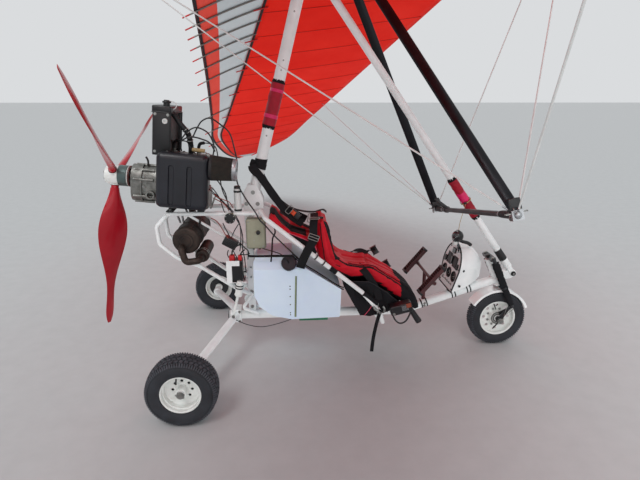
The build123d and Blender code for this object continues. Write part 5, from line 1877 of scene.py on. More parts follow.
    def sling(self) -> None:
        """The black cloth trough that closes the space under the front seat."""
        rows = self.sling_rows
        around = 44
        lengthwise = 7
        points, faces = [], []
        stations = []
        for low, high in zip(rows, rows[1:]):
            stations.extend(
                tuple(a + (b - a) * n / lengthwise for a, b in zip(low, high))
                for n in range(lengthwise))
        stations.append(rows[-1])
        for along, upper, lower in stations:
            deep = upper - lower
            for n in range(around + 1):
                share = n / around
                run = share * (2 * deep + 2 * self.sling_half)
                if run < deep:
                    y, z = -self.sling_half, upper - run
                elif run > deep + 2 * self.sling_half:
                    y, z = self.sling_half, lower + run - deep - 2 * self.sling_half
                else:
                    y, z = run - deep - self.sling_half, lower
                down = (upper - z) / max(deep, 0.02)
                pull = 0.020 * down * (1 - down) * 4 * min(1.0, deep / 0.2)
                y -= math.copysign(
                    pull * (0.5 + 0.5 * math.sin(along * 47)), y) if abs(y) > 0.19 else 0
                fold = 0.0045 * math.sin(along * 95 + z * 60) * down * (1 if abs(y) > 0.15 else 0)
                z += 0.004 * math.sin(along * 60 + y * 30) * (1 if abs(y) < 0.19 else 0)
                points.append(Vector((along, y + fold, z)))
        faces = sheet_faces(len(stations), around + 1, flip=True)
        piece = new_piece("seat_sling_cloth", points, faces, [BLACK_CLOTH], "frame")
        thicken(piece, 0.002)
        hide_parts("seat_sling")
        hem = [Vector((along, -self.sling_half - 0.0005, upper)) for along, upper, _ in stations]
        other = [Vector((p.x, -p.y, p.z)) for p in hem]
        trim = tubes("sling_hems", [hem, other], 0.0035, BINDING, "frame", 8)
        cut = [
            Vector((x, -self.sling_half - 0.0035, z))
            for x, z in ((1.182, 0.420), (1.160, 0.385), (1.130, 0.346))]
        trim = tubes("sling_piping", [smooth_path(cut, 6)], 0.0026, PINK_PIPING, "frame", 8)


@dataclass(frozen=True)
class Sleeve:
    """A padded sleeve around a tube, with tape and end rings.

    Args:
        name: The piece's name.
        foot: Its lower end.
        top: Its upper end.
        inner: Radius of its bore.
        outer: Radius of its cover.
        tapes: Bands of tape, as shares of its length.
    """

    name: str
    foot: Point
    top: Point
    inner: float
    outer: float
    tapes: tuple[tuple[float, float], ...]

    def build(self) -> None:
        """Makes the sleeve with its tape bands and its black end rings."""
        foot, top = Vector(self.foot), Vector(self.top)
        axis = (top - foot).normalized()
        length = (top - foot).length
        ring = 0.026
        rows = [(0.0, self.inner), (0.0, self.outer - 0.010)]
        rows.extend((length * n / 14, self.outer - 0.006) for n in range(1, 14))
        rows.extend([(length, self.outer - 0.010), (length, self.inner), (0.0, self.inner)])
        piece = turned(self.name, rows, foot, axis, [PAD_CLOTH], "frame", 40)
        swell(piece, voxel=0.005, cap=0.006, pressure=3.0)
        crumple(piece, height=0.0034, size=0.028, seed=5.0)
        refine(piece)

        def tone(spot: Vector, _: Vector) -> int:
            """Slot of the face at a spot: 0 for the red cover, 1 for its black ends."""
            along = (spot - foot).dot(axis)
            return 1 if along < ring or along > length - ring else 0

        colour_by(piece, [PAD_CLOTH, BLACK_CLOTH], tone)
        if self.name == "mast_pad":
            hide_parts("tube_pads")
        tree = surface_of(piece)
        for n, (low, high) in enumerate(self.tapes):
            self.tape(
                f"{self.name}_tape_{n + 1}", tree, foot + axis * (low * length), axis,
                (high - low) * length)

    def tape(self, name: str, tree: BVHTree, start: Vector, axis: Vector, width: float) -> None:
        """Winds a band of tape round the sleeve, following its surface.

        Args:
            name: The piece's name.
            tree: Faces of the sleeve.
            start: Middle of its first edge.
            axis: Direction of the tube.
            width: Its width.
        """
        side = axis.orthogonal().normalized()
        other = axis.cross(side)
        around, rows = 48, 5
        points = []
        for row in range(rows):
            share = row / (rows - 1)
            lift = 0.0012 if 0 < row < rows - 1 else -0.002
            for n in range(around):
                turn = 2 * math.pi * n / around
                way = toward(side, other, turn)
                ragged = 0.0025 * math.sin(3 * turn + 9 * row)
                centre = start + axis * (width * share + ragged)
                hit = tree.ray_cast(centre + way * 0.12, -way, 0.12)
                spot = hit[0] if hit[0] else centre + way * self.outer
                points.append(spot + way * lift)
        piece = new_piece(name, points, tube_faces(rows, around), [TAPE], "frame")


def tread_tree() -> bpy.types.NodeTree:
    """The Geometry Nodes tree that sets a tread block on each point, turned by two attributes.

    Returns:
        The tree, made on the first call.
    """
    known = bpy.data.node_groups.get("tread blocks")
    if known:
        return known
    tree = bpy.data.node_groups.new("tread blocks", "GeometryNodeTree")
    for name, kind in (
            ("Spots", "NodeSocketGeometry"), ("Length", "NodeSocketFloat"),
            ("Width", "NodeSocketFloat"), ("Height", "NodeSocketFloat"),
            ("Finish", "NodeSocketMaterial")):
        tree.interface.new_socket(name, in_out="INPUT", socket_type=kind)
    tree.interface.new_socket("Blocks", in_out="OUTPUT", socket_type="NodeSocketGeometry")
    given = add_node(tree, "NodeGroupInput")
    size = add_node(
        tree, "ShaderNodeCombineXYZ", {},
        {"X": given.outputs["Length"], "Y": given.outputs["Width"], "Z": given.outputs["Height"]})
    lug = add_node(tree, "GeometryNodeMeshCube", {}, {"Size": size.outputs["Vector"]})
    out = add_node(
        tree, "GeometryNodeInputNamedAttribute", {"data_type": "FLOAT_VECTOR", "Name": "facing"})
    along = add_node(
        tree, "GeometryNodeInputNamedAttribute", {"data_type": "FLOAT_VECTOR", "Name": "along"})
    raised = add_node(
        tree, "FunctionNodeAlignRotationToVector", {"axis": "Z"},
        {"Vector": out.outputs["Attribute"]})
    turned_round = add_node(
        tree, "FunctionNodeAlignRotationToVector", {"axis": "X", "pivot_axis": "Z"},
        {"Rotation": raised.outputs["Rotation"], "Vector": along.outputs["Attribute"]})
    placed = add_node(
        tree, "GeometryNodeInstanceOnPoints", {},
        {
            "Points": given.outputs["Spots"], "Instance": lug.outputs["Mesh"],
            "Rotation": turned_round.outputs["Rotation"]})
    real = add_node(
        tree, "GeometryNodeRealizeInstances", {}, {"Geometry": placed.outputs["Instances"]})
    dressed = add_node(
        tree, "GeometryNodeSetMaterial", {},
        {"Geometry": real.outputs["Geometry"], "Material": given.outputs["Finish"]})
    add_node(tree, "NodeGroupOutput", {}, {"Blocks": dressed.outputs["Geometry"]})
    return tree


def blocks_on(
        name: str, spots: list[tuple[Vector, Vector, Vector]], size: Point, body: str,
        finish: Finish) -> bpy.types.Object:
    """Sets rubber blocks on a tyre.

    Args:
        name: The piece's name.
        spots: Place, outward direction and long direction of each block.
        size: Length, width and height of a block.
        body: The body that they ride on.
        finish: Their finish.

    Returns:
        One piece with every block.
    """
    mesh = bpy.data.meshes.new(name)
    mesh.from_pydata([tuple(place) for place, _, _ in spots], [], [])
    for attribute, column in (("facing", 1), ("along", 2)):
        data = mesh.attributes.new(attribute, "FLOAT_VECTOR", "POINT")
        data.data.foreach_set("vector", [value for spot in spots for value in spot[column]])
    made = linked(name, mesh)
    apply_tree(
        made, tread_tree(),
        {"Length": size[0], "Width": size[1], "Height": size[2], "Finish": finish.make()})
    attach(made, body)
    LOG.info("%s on %s: %d blocks", name, body, len(spots))
    return made


@dataclass(frozen=True)
class Wheel:
    """Tread, rim details and fastenings of one wheel.

    Args:
        body: The body that it is.
        tyre: CAD node of its tyre.
        rim: CAD node of its rim; not used.
        centre: Its middle.
        outward: 1 to port, -1 to starboard.
        outer: Radius of the tyre.
        half_tread: Half the tread's width.
        wall_half: Half the width over the walls.
        bead: Radius at which the tyre meets the rim.
        axle_end: Distance of the axle's end from the middle.
        blocks: Tread blocks around.
        groove: Depth of the tread.
    """

    body: str
    tyre: str
    rim: str
    centre: Point
    outward: int
    outer: float
    half_tread: float
    wall_half: float
    bead: float
    axle_end: float
    blocks: int
    groove: float = 0.0045

    def at(self, turn: float, radius: float, across: float) -> Vector:
        """A point at an angle, a radius and a distance across the wheel."""
        return Vector(self.centre) + Vector(
            (radius * math.cos(turn), self.outward * across, radius * math.sin(turn)))

    def build(self) -> None:
        """Makes the tread, the wall rings, the bead, the valve and the nut."""
        self.carcass()
        self.tread()
        self.walls()
        self.fastenings()

    def carcass(self) -> None:
        """The tyre's body, as deep below the tread as its grooves."""
        half = [
            (share * self.wall_half, self.bead + (self.outer - self.bead) * rise)
            for share, rise in (
                (0.72, 0.0), (0.88, 0.07), (0.98, 0.26), (1.0, 0.47), (0.965, 0.66), (0.875, 0.79))]
        half.extend(
            (share * self.half_tread, self.crown(share * self.half_tread) - self.groove)
            for share in (1.0, 0.85, 0.7, 0.35))
        profile = [(-across, radius) for across, radius in half]
        profile.append((0.0, self.outer - self.groove))
        profile.extend(reversed(half))
        profile.append(profile[0])
        piece = turned(
            f"{self.body}_carcass", profile, Vector(self.centre), Y * self.outward, [TYRE_RUBBER],
            self.body, 96)
        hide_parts(self.tyre)

    def crown(self, across: float) -> float:
        """Radius of the tyre's running surface at a distance across it."""
        share = across / self.half_tread
        return self.outer - 0.010 * share * share

    def tread(self) -> None:
        """Staggered centre blocks and shoulder blocks that reach over the edge."""
        spots, shoulders = [], []
        rows = (-0.66, -0.24, 0.24, 0.66) if self.half_tread > 0.045 else (-0.52, 0.0, 0.52)
        for row, share in enumerate(rows):
            across = share * self.half_tread
            lean = math.radians(9 * share)
            for n in range(self.blocks):
                turn = 2 * math.pi * (n + 0.5 * (row % 2)) / self.blocks
                out = Vector((
                    math.cos(turn) * math.cos(lean), self.outward * math.sin(lean),
                    math.sin(turn) * math.cos(lean)))
                round_way = Vector((-math.sin(turn), 0, math.cos(turn)))
                skew = 0.45 if row % 2 else -0.45
                along = (round_way + Y * skew).normalized()
                spots.append((self.at(turn, self.crown(across) - 0.0035, across), out, along))
        for side in (-1, 1):
            for n in range(self.blocks * 2):
                turn = math.pi * (n + 0.25 * side) / self.blocks
                lean = math.radians(52)
                out = Vector((
                    math.cos(turn) * math.cos(lean), self.outward * side * math.sin(lean),
                    math.sin(turn) * math.cos(lean)))
                along = Vector((
                    math.cos(turn) * math.sin(lean), -self.outward * side * math.cos(lean),
                    math.sin(turn) * math.sin(lean)))
                shoulders.append((
                    self.at(turn, self.outer - 0.0165, side * (self.half_tread + 0.0035)), out,
                    along))
        pitch = 2 * math.pi * self.outer / self.blocks
        lugs = blocks_on(
            f"{self.body}_tread", spots, (pitch * 0.66, self.half_tread * 0.31, 0.007), self.body,
            TREAD_RUBBER)
        edge = blocks_on(
            f"{self.body}_shoulder_lugs", shoulders, (0.022, pitch * 0.24, 0.008), self.body,
            TREAD_RUBBER)

    def walls(self) -> None:
        """Raised rings on the walls and the bead that laps the rim."""
        middle = (self.bead + self.outer) / 2
        rings = []
        for side in (-1, 1):
            for radius, across in (
                    (middle + (self.outer - middle) * 0.42, self.wall_half * 0.945),
                    (middle - (middle - self.bead) * 0.52, self.wall_half * 0.915)):
                rings.append(
                    [self.at(2 * math.pi * n / 72, radius, side * across) for n in range(73)])
        piece = tubes(f"{self.body}_wall_rings", rings, 0.0016, TYRE_RUBBER, self.body, 6)

    def fastenings(self) -> None:
        """Axle nut with its washer, the valve stem and its cap."""
        out = Y * self.outward
        centre = Vector(self.centre)
        face = centre + out * self.axle_end
        nut = fixings(
            f"{self.body}_axle_nut", [(face, out)], 0.015, 0.016,
            "frame" if "front" not in self.body else "steering", STEEL)
        stem = [
            self.at(math.radians(105), self.bead - 0.010, 0.010),
            self.at(math.radians(106), self.bead - 0.026, 0.030),
            self.at(math.radians(108), self.bead - 0.040, 0.046)]
        valve = tubes(
            f"{self.body}_valve", [smooth_path(stem, 4)], 0.0042, DARK_RUBBER, self.body, 10)
        cap = tubes(
            f"{self.body}_valve_cap",
            [[stem[-1], stem[-1] + (stem[-1] - stem[-2]).normalized() * 0.010]], 0.0046,
            BLACK_SATIN, self.body, 10)


@dataclass
class RunningGear:
    """Wheels, brake, springs and clamps.

    Args:
        holes: Round holes in the disc of a rear rim.
        hole_circle: Radius of the circle that they stand on.
        hole_radius: Radius of each.
    """

    holes: int = 8
    hole_circle: float = 0.0545
    hole_radius: float = 0.0086

    def wheels(self) -> list[Wheel]:
        """The three wheels with their sizes, which are those of the CAD.

        Returns:
            The wheels.
        """
        rear = {
            "outer": 0.205, "half_tread": 0.060, "wall_half": 0.080, "bead": 0.112,
            "axle_end": 0.066, "blocks": 44}
        front = {
            "outer": 0.215, "half_tread": 0.034, "wall_half": 0.047, "bead": 0.130,
            "axle_end": 0.096, "blocks": 40}
        return [
            Wheel("wheel_left", "tyre_left", "rim_left", (0, 0.8, 0.205), 1, **rear),
            Wheel("wheel_right", "tyre_right", "rim_right", (0, -0.8, 0.205), -1, **rear),
            Wheel("front_wheel", "front_tyre", "front_rim", (2.165, 0, 0.215), -1, **front)]

    def build(self) -> None:
        """Dresses the wheels and their suspension."""
        for wheel in self.wheels():
            wheel.build()
        self.rear_rims()
        self.front_hub()
        self.shocks()
        self.fork_dress()

    def rear_rims(self) -> None:
        """The stepped flange of each rear rim, its hub cap ring and the web's edge, with black
        discs of painted shade behind the holes and in the hub.
        """
        for side, name in ((1, "left"), (-1, "right")):
            centre = Vector((0, side * 0.8, 0.205))
            out = Y * side
            flange = turned(
                f"rim_{name}_flange",
                [
                    (0.060, 0.121), (0.0632, 0.120), (0.0632, 0.110), (0.0605, 0.107),
                    (0.0560, 0.1055), (0.052, 0.1062), (0.052, 0.112), (0.056, 0.118),
                    (0.060, 0.121)], centre, out, [WHITE_PAINT], f"wheel_{name}", 64)
            cone = turned(
                f"rim_{name}_dish",
                [
                    (0.052, 0.1062), (0.038, 0.1058), (0.036, 0.0995), (0.006, 0.0980),
                    (0.004, 0.0915), (-0.0005, 0.0825), (-0.0005, 0.0780), (-0.003, 0.0780),
                    (-0.003, 0.0835), (0.0, 0.0962), (0.003, 0.1018), (0.034, 0.1034),
                    (0.036, 0.1070), (0.052, 0.1075), (0.052, 0.1062)], centre, out, [WHITE_PAINT],
                f"wheel_{name}", 64)
            disc = self.holed_disc(name, centre, out)
            # Painted shade: a black disc inboard of the web, so that the holes read as dark as the
            # wheel's shadowed inside.
            drum = turned(
                f"rim_{name}_painted_shade_disc",
                [(-0.012, 0.0), (-0.012, 0.077), (-0.034, 0.080), (-0.034, 0.0)], centre, out,
                [BLACK_ENAMEL], f"wheel_{name}", 48)
            # Painted shade: a black disc inside the hub ring, for the shadowed gap between the ring
            # and the nut.
            seal = turned(
                f"rim_{name}_hub_gap_shade",
                [(0.0482, 0.0), (0.0482, 0.0205), (0.0500, 0.0200), (0.0500, 0.0)], centre, out,
                [DARK_RUBBER], f"wheel_{name}", 40)
            # A real washer under the axle nut, made black: its colour also paints the shade of the
            # gap round the nut.
            washer = turned(
                f"axle_washer_{name}",
                [(0.0655, 0.0), (0.0655, 0.0225), (0.0668, 0.0225), (0.0668, 0.0)], centre, out,
                [DARK_RUBBER], "frame", 40)
            ring = turned(
                f"rim_{name}_hub_ring",
                [
                    (0.0475, 0.0205), (0.0475, 0.028), (0.050, 0.0285), (0.0535, 0.0265),
                    (0.0535, 0.0215), (0.0475, 0.0205)], centre, out, [WHITE_PAINT],
                f"wheel_{name}", 48)
            rims = [
                [
                    centre + out * 0.0002 + toward(X, Z, turn) * self.hole_circle + toward(
                        X, Z, a) * 0.0092 for a in (2 * math.pi * k / 20 for k in range(21))]
                for turn in (2 * math.pi * n / self.holes for n in range(self.holes))]
            edges = tubes(f"rim_{name}_hole_edges", rims, 0.0012, WHITE_PAINT, f"wheel_{name}", 6)

    def holed_disc(self, name: str, centre: Vector, out: Vector) -> bpy.types.Object:
        """The rim's pressed disc, cut through by eight round holes.

        Args:
            name: Side in the piece's name.
            centre: Middle of the disc.
            out: Its outward direction.

        Returns:
            The disc.
        """
        disc = turned(
            f"rim_{name}_disc",
            [
                (-0.003, 0.028), (-0.003, 0.0835), (0.0, 0.0830), (0.0, 0.0440), (0.003, 0.0400),
                (0.003, 0.028), (-0.003, 0.028)], centre, out, [WHITE_PAINT], f"wheel_{name}", 96)
        work = bmesh.new()
        facing = out.to_track_quat("Z", "Y").to_matrix().to_4x4()
        for n in range(self.holes):
            spot = centre + toward(X, Z, 2 * math.pi * n / self.holes) * self.hole_circle
            bmesh.ops.create_cone(
                work, cap_ends=True, segments=24, radius1=self.hole_radius,
                radius2=self.hole_radius, depth=0.02, matrix=Matrix.Translation(spot) @ facing)
        mesh = bpy.data.meshes.new("hole cutter")
        work.to_mesh(mesh)
        work.free()
        cutter = linked("hole cutter", mesh)
        cut = disc.modifiers.new("holes", "BOOLEAN")
        cut.operation = "DIFFERENCE"
        cut.solver = "EXACT"
        cut.object = cutter
        bake(disc)
        bpy.data.objects.remove(cutter)
        sharpen(disc)
        return disc

    def front_hub(self) -> None:
        """The brake drum and its ring in the front rim, the rim's rolled lip and its bolts."""
        centre = Vector((2.165, 0, 0.215))
        drum = turned(
            "front_brake_drum",
            [(0.0362, 0.036), (0.0362, 0.0495), (0.0325, 0.0515), (0.0325, 0.036), (0.0362, 0.036)],
            centre, -Y, [CAST_ALUMINIUM], "front_wheel", 48)
        groove = turned(
            "front_drum_ring",
            [(0.0362, 0.0265), (0.0385, 0.0270), (0.0385, 0.0330), (0.0362, 0.0335)], centre, -Y,
            [DARK_RUBBER], "front_wheel", 40)
        lip = turned(
            "front_rim_lip",
            [
                (0.0355, 0.138), (0.0385, 0.1372), (0.0385, 0.1300), (0.0350, 0.1270),
                (0.0330, 0.1262), (0.0330, 0.132), (0.0355, 0.138)], centre, -Y, [WHITE_PAINT],
            "front_wheel", 72)
        bolts = [
            (centre - Y * 0.006 + Vector((0.066 * math.cos(t), 0, 0.066 * math.sin(t))), -Y)
            for t in (math.radians(22.5 + 45 * n) for n in range(8))]
        heads = fixings("front_rim_bolts", bolts, 0.0062, 0.007, "front_wheel", STEEL)

    def shocks(self) -> None:
        """Dark rings, clevis pins and bolts on the two short shock absorbers."""
        for side, name in ((-1, "right"), (1, "left")):
            low, high = Vector((0.269, side * 0.156, 0.500)), Vector((0.284, side * 0.150, 0.610))
            axis = (high - low).normalized()
            body = turned(
                f"shock_body_{name}",
                [
                    (-0.006, 0.0), (-0.006, 0.0200), (0.0, 0.0245), (0.088, 0.0250),
                    (0.092, 0.0215), (0.104, 0.0205), (0.108, 0.0)], low, axis, [WHITE_PAINT],
                "frame", 40)
            for n, along in enumerate((0.050, 0.068)):
                ring = turned(
                    f"shock_ring_{name}_{n + 1}",
                    [(0, 0.0240), (0, 0.0266), (0.008, 0.0266), (0.008, 0.0240)],
                    low + axis * along, axis, [DARK_RUBBER], "frame", 32)
            ends = fixings(
                f"shock_bolts_{name}",
                [
                    (Vector((0.318, side * 0.066, 0.590)), Y * side),
                    (Vector((0.223, side * 0.136, 0.333)), Y * side)], 0.008, 0.012, "frame", STEEL)
            flange = fixings(
                f"saddle_bolts_{name}",
                [
                    (Vector((x, side * 0.0602, z)), Y * side) for x in (0.222, 0.258)
                    for z in (0.262, 0.334)], 0.0065, 0.007, "frame", STEEL)

    def fork_dress(self) -> None:
        """Black wraps on the fork's legs, the brake rod, its lever and the link bolts."""
        axis = Vector((-0.42262, 0, 0.90631))
        head = Vector((2.140, 0, 0.522))
        ahead = Vector((0.90631, 0, 0.42262))
        for side, name in ((-1, "right"), (1, "left")):
            leg = head + ahead * 0.012 + Y * (side * 0.070)
            self.wrap(f"fork_wrap_{name}", leg + axis * -0.212, leg + axis * 0.146, ahead)
            pivot = fixings(
                f"fork_link_bolts_{name}",
                [
                    (head + axis * -0.226 + ahead * 0.012 + Y * (side * 0.070), Y * side),
                    (Vector((2.165, side * 0.0665, 0.215)), Y * side)], 0.010, 0.014, "steering",
                STEEL)
        rod_path = [
            Vector((2.116, -0.078, 0.150)), Vector((2.180, -0.080, 0.232)),
            Vector((2.222, -0.080, 0.300))]
        rods = tubes("brake_rod", [smooth_path(rod_path, 6)], 0.0048, BLACK_SATIN, "steering", 10)
        lever = tubes(
            "brake_lever",
            [[
                Vector((2.214, -0.070, 0.318)), Vector((2.190, -0.081, 0.250)),
                Vector((2.262, -0.080, 0.306))]], 0.0035, STEEL, "steering", 8)
        plate = block(
            "brake_plate", Vector((2.196, -0.0480, 0.272)), (0.060, 0.024, 0.010), (ahead, axis, Y),
            0.003, BLACK_SATIN, "steering")
        cap = turned(
            "steering_cap", [(0, 0.0), (0, 0.017), (0.010, 0.017), (0.014, 0.012), (0.014, 0.0)],
            head + axis * 0.189, axis, [BLACK_SATIN], "steering", 32)
        clamps = fixings(
            "fork_clamp_bolts",
            [
                (head + axis * 0.182 + ahead * 0.012 + Y * (s * 0.070) + axis * 0.010, axis)
                for s in (-1, 1)], 0.009, 0.012, "steering", STEEL)

    def wrap(self, name: str, foot: Vector, top: Vector, ahead: Vector) -> None:
        """An oval cloth wrap round one leg of the fork, gathered by its tapes.

        Args:
            name: The piece's name.
            foot: Its lower end.
            top: Its upper end.
            ahead: Direction of its wide side.
        """
        axis = (top - foot).normalized()
        across = axis.cross(ahead).normalized()
        rows, around = 60, 32
        points = []
        for row in range(rows + 1):
            share = row / rows
            gather = 1 - 0.16 * sum(
                math.exp(-((share - tape) / 0.016) ** 2) for tape in (0.03, 0.34, 0.66, 0.97))
            wide = (0.0225 + 0.0065 * share) * gather
            thick = 0.0162 * gather
            for n in range(around):
                turn = 2 * math.pi * n / around
                spot = foot + (top - foot) * share
                fold = 1 + 0.035 * math.sin(share * 74 + 2 * math.cos(turn))
                points.append(
                    spot + ahead * (math.cos(turn) * wide * fold)
                    + across * (math.sin(turn) * thick * fold))
        made = new_piece(
            name, points, tube_faces(rows + 1, around, capped=True), [BLACK_CLOTH], "steering")
        recalculate(made)


@dataclass
class Engine:
    """Hoses, leads, bolts, filter, radiator fittings and exhaust springs around the engine.

    Args:
        hub: Middle of the propeller hub.
        tilt: Fall of the thrust line toward the nose, in degrees.
        filter_pleats: Pleats of the air filter.
    """

    hub: Point = (-0.509, 0.0, 1.311)
    tilt: float = 6.0
    filter_pleats: int = 60

    def at(self, along: float, port: float, up: float) -> Vector:
        """A point in the engine's frame, forward along the thrust line.

        Args:
            along: Distance ahead of the propeller hub.
            port: Distance to port.
            up: Distance above the thrust line.

        Returns:
            The point.
        """
        lean = math.radians(self.tilt)
        thrust = Vector((math.cos(lean), 0, -math.sin(lean)))
        rise = Vector((math.sin(lean), 0, math.cos(lean)))
        return Vector(self.hub) + thrust * along + Y * port + rise * up

    @property
    def thrust(self) -> Vector:
        """Direction of the thrust line, forward."""
        return (self.at(1, 0, 0) - self.at(0, 0, 0)).normalized()

    @property
    def rise(self) -> Vector:
        """Upward direction of the engine's frame."""
        return (self.at(0, 0, 1) - self.at(0, 0, 0)).normalized()

    def build(self) -> None:
        """Makes every engine detail."""
        self.coolant_hoses()
        self.cables()
        self.air_cleaner()
        self.radiator()
        self.radiator_fittings()
        self.head_and_gearbox()
        self.carburettors()
        self.silencers()
        self.canister()
        self.propeller_hub()

    def coolant_hoses(self) -> None:
        """The thick radiator hose with its clamps, the lower hose and the pale overflow hose."""
        route = smooth_path([
            (-0.118, -0.090, 1.729), (-0.080, -0.090, 1.693), (-0.045, -0.090, 1.638),
            (-0.010, -0.086, 1.591), (0.001, -0.070, 1.552), (0.001, -0.040, 1.485),
            (-0.006, -0.020, 1.452)])
        hose = tubes("radiator_hose", [route], 0.0165, DARK_RUBBER, "frame", 20)
        ribs = []
        for n in range(2, len(route) - 2, 2):
            ribs.append(ring_around(route[n], route[n + 1] - route[n - 1], 0.0168))
        corrugation = tubes("radiator_hose_ribs", ribs, 0.0013, DARK_RUBBER, "frame", 6)
        clamps = []
        for n in (3, 22, 25, 31, 34):
            clamps.append(ring_around(route[n], route[n + 1] - route[n - 1], 0.0180))
        bands = tubes("hose_clamps", clamps, 0.0030, STEEL, "frame", 8)
        screws = tubes(
            "hose_clamp_screws",
            [
                [
                    route[n] + Vector((0.018, -0.010, 0.006)),
                    route[n] + Vector((0.022, -0.030, 0.010))] for n in (22, 25, 31)], 0.0034,
            STEEL, "frame", 6)
        lower = tubes(
            "lower_coolant_hose",
            [smooth_path([
                (-0.190, 0.120, 1.500), (-0.150, 0.150, 1.452), (-0.080, 0.150, 1.400),
                (-0.020, 0.120, 1.330), (-0.010, 0.080, 1.290)])], 0.0155, DARK_RUBBER, "frame", 18)
        overflow = tubes(
            "overflow_hose",
            [smooth_path([
                (-0.108, -0.110, 1.780), (-0.091, -0.110, 1.776), (-0.062, -0.110, 1.764),
                (-0.060, -0.108, 1.738), (-0.092, -0.104, 1.716), (-0.105, -0.100, 1.700)], 6)],
            0.0032, MILK_PLASTIC, "frame", 8)

    def cables(self) -> None:
        """Control cables and wiring in their arcs over the engine and down the frame."""
        y1, y2, y3 = -0.120, -0.140, -0.100
        thick = [
            smooth_path([
                (-0.060, -0.050, 1.470), (-0.047, y1, 1.532), (-0.004, y1, 1.588),
                (0.046, y1, 1.617), (0.093, y1, 1.607), (0.134, y1, 1.574), (0.158, y1, 1.506),
                (0.150, -0.130, 1.440)]),
            smooth_path([
                (-0.060, -0.100, 1.470), (-0.048, y2, 1.524), (-0.013, y2, 1.552),
                (0.036, y2, 1.561), (0.092, y2, 1.547), (0.138, y2, 1.523), (0.165, -0.130, 1.470)
            ]),
            smooth_path([
                (0.030, -0.110, 1.560), (0.062, y3, 1.620), (0.093, y3, 1.658), (0.142, y3, 1.673),
                (0.198, y3, 1.639), (0.257, y3, 1.582), (0.282, y3, 1.489), (0.297, y3, 1.390),
                (0.292, -0.125, 1.280), (0.340, -0.152, 1.180), (0.409, -0.186, 1.082),
                (0.431, -0.196, 1.040), (0.475, -0.198, 0.992), (0.520, -0.204, 0.938),
                (0.599, -0.206, 0.856), (0.681, -0.206, 0.772), (0.720, -0.204, 0.738)])]
        thin = [
            smooth_path([
                (0.134, -0.130, 1.240), (0.175, -0.145, 1.180), (0.196, -0.150, 1.110),
                (0.205, -0.148, 1.080)]),
            smooth_path([
                (0.110, -0.120, 1.230), (0.160, -0.130, 1.190), (0.215, -0.138, 1.130),
                (0.262, -0.136, 1.060), (0.300, -0.130, 0.980), (0.312, -0.122, 0.900),
                (0.306, -0.110, 0.820), (0.316, -0.098, 0.740), (0.320, -0.085, 0.640)]),
            smooth_path([
                (0.130, -0.110, 1.200), (0.190, -0.125, 1.150), (0.250, -0.128, 1.090),
                (0.292, -0.124, 1.010), (0.300, -0.114, 0.930), (0.294, -0.104, 0.850),
                (0.286, -0.100, 0.800)]),
            smooth_path([(0.190, -0.150, 1.010), (0.214, -0.146, 0.950), (0.232, -0.142, 0.912)]),
            smooth_path([(0.290, -0.150, 1.000), (0.262, -0.140, 0.955), (0.238, -0.138, 0.905)]),
            smooth_path([
                (0.238, -0.128, 0.830), (0.252, -0.135, 0.800), (0.268, -0.142, 0.770),
                (0.288, -0.140, 0.720), (0.300, -0.125, 0.660), (0.312, -0.105, 0.590)]),
            smooth_path([
                (0.286, -0.122, 0.868), (0.320, -0.118, 0.830), (0.344, -0.110, 0.800),
                (0.338, -0.098, 0.740)]),
            smooth_path(
                [(0.212, -0.118, 0.815), (0.206, -0.128, 0.790), (0.216, -0.150, 0.772)], 6),
            smooth_path([(0.300, -0.144, 0.790), (0.330, -0.120, 0.780), (0.350, -0.080, 0.775)], 6)
        ]
        lead = [
            smooth_path([
                (0.150, -0.165, 1.205), (0.170, -0.168, 1.186), (0.205, -0.165, 1.168),
                (0.240, -0.158, 1.150), (0.262, -0.150, 1.110)], 6),
            smooth_path([
                (0.138, -0.160, 1.180), (0.176, -0.164, 1.160), (0.210, -0.160, 1.136),
                (0.232, -0.152, 1.098)], 6),
            smooth_path([
                (0.112, -0.130, 1.040), (0.150, -0.138, 1.020), (0.176, -0.140, 0.980),
                (0.200, -0.136, 0.930), (0.216, -0.130, 0.900)], 6)]
        black = tubes("control_cables", thick, 0.0046, BLACK_SATIN, "frame", 10)
        wiring = tubes("wiring", thin, 0.0034, BLACK_SATIN, "frame", 8)
        leads = tubes("ignition_leads", lead, 0.0030, LEAD_RED, "frame", 8)
        spiral = []
        for path in (thin[1], thin[2]):
            spiral.extend(
                ring_around(path[n], path[n + 1] - path[n - 1], 0.0042, 10)
                for n in range(8, len(path) - 8, 6))
        ties = tubes("cable_ties", spiral, 0.0013, BLACK_PLASTIC, "frame", 6)
        sleeve = tubes(
            "tan_sleeve",
            [[
                Vector((0.030, -0.160, 1.486)), Vector((0.060, -0.160, 1.482)),
                Vector((0.106, -0.160, 1.476))]], 0.0125, TAN, "frame", 16)
        under = [smooth_path([
            (0.238, -0.120, 0.301), (0.320, -0.120, 0.262), (0.418, -0.120, 0.243),
            (0.545, -0.120, 0.268), (0.687, -0.108, 0.312)])]
        low = tubes("belly_cable", under, 0.0028, BLACK_SATIN, "frame", 8)

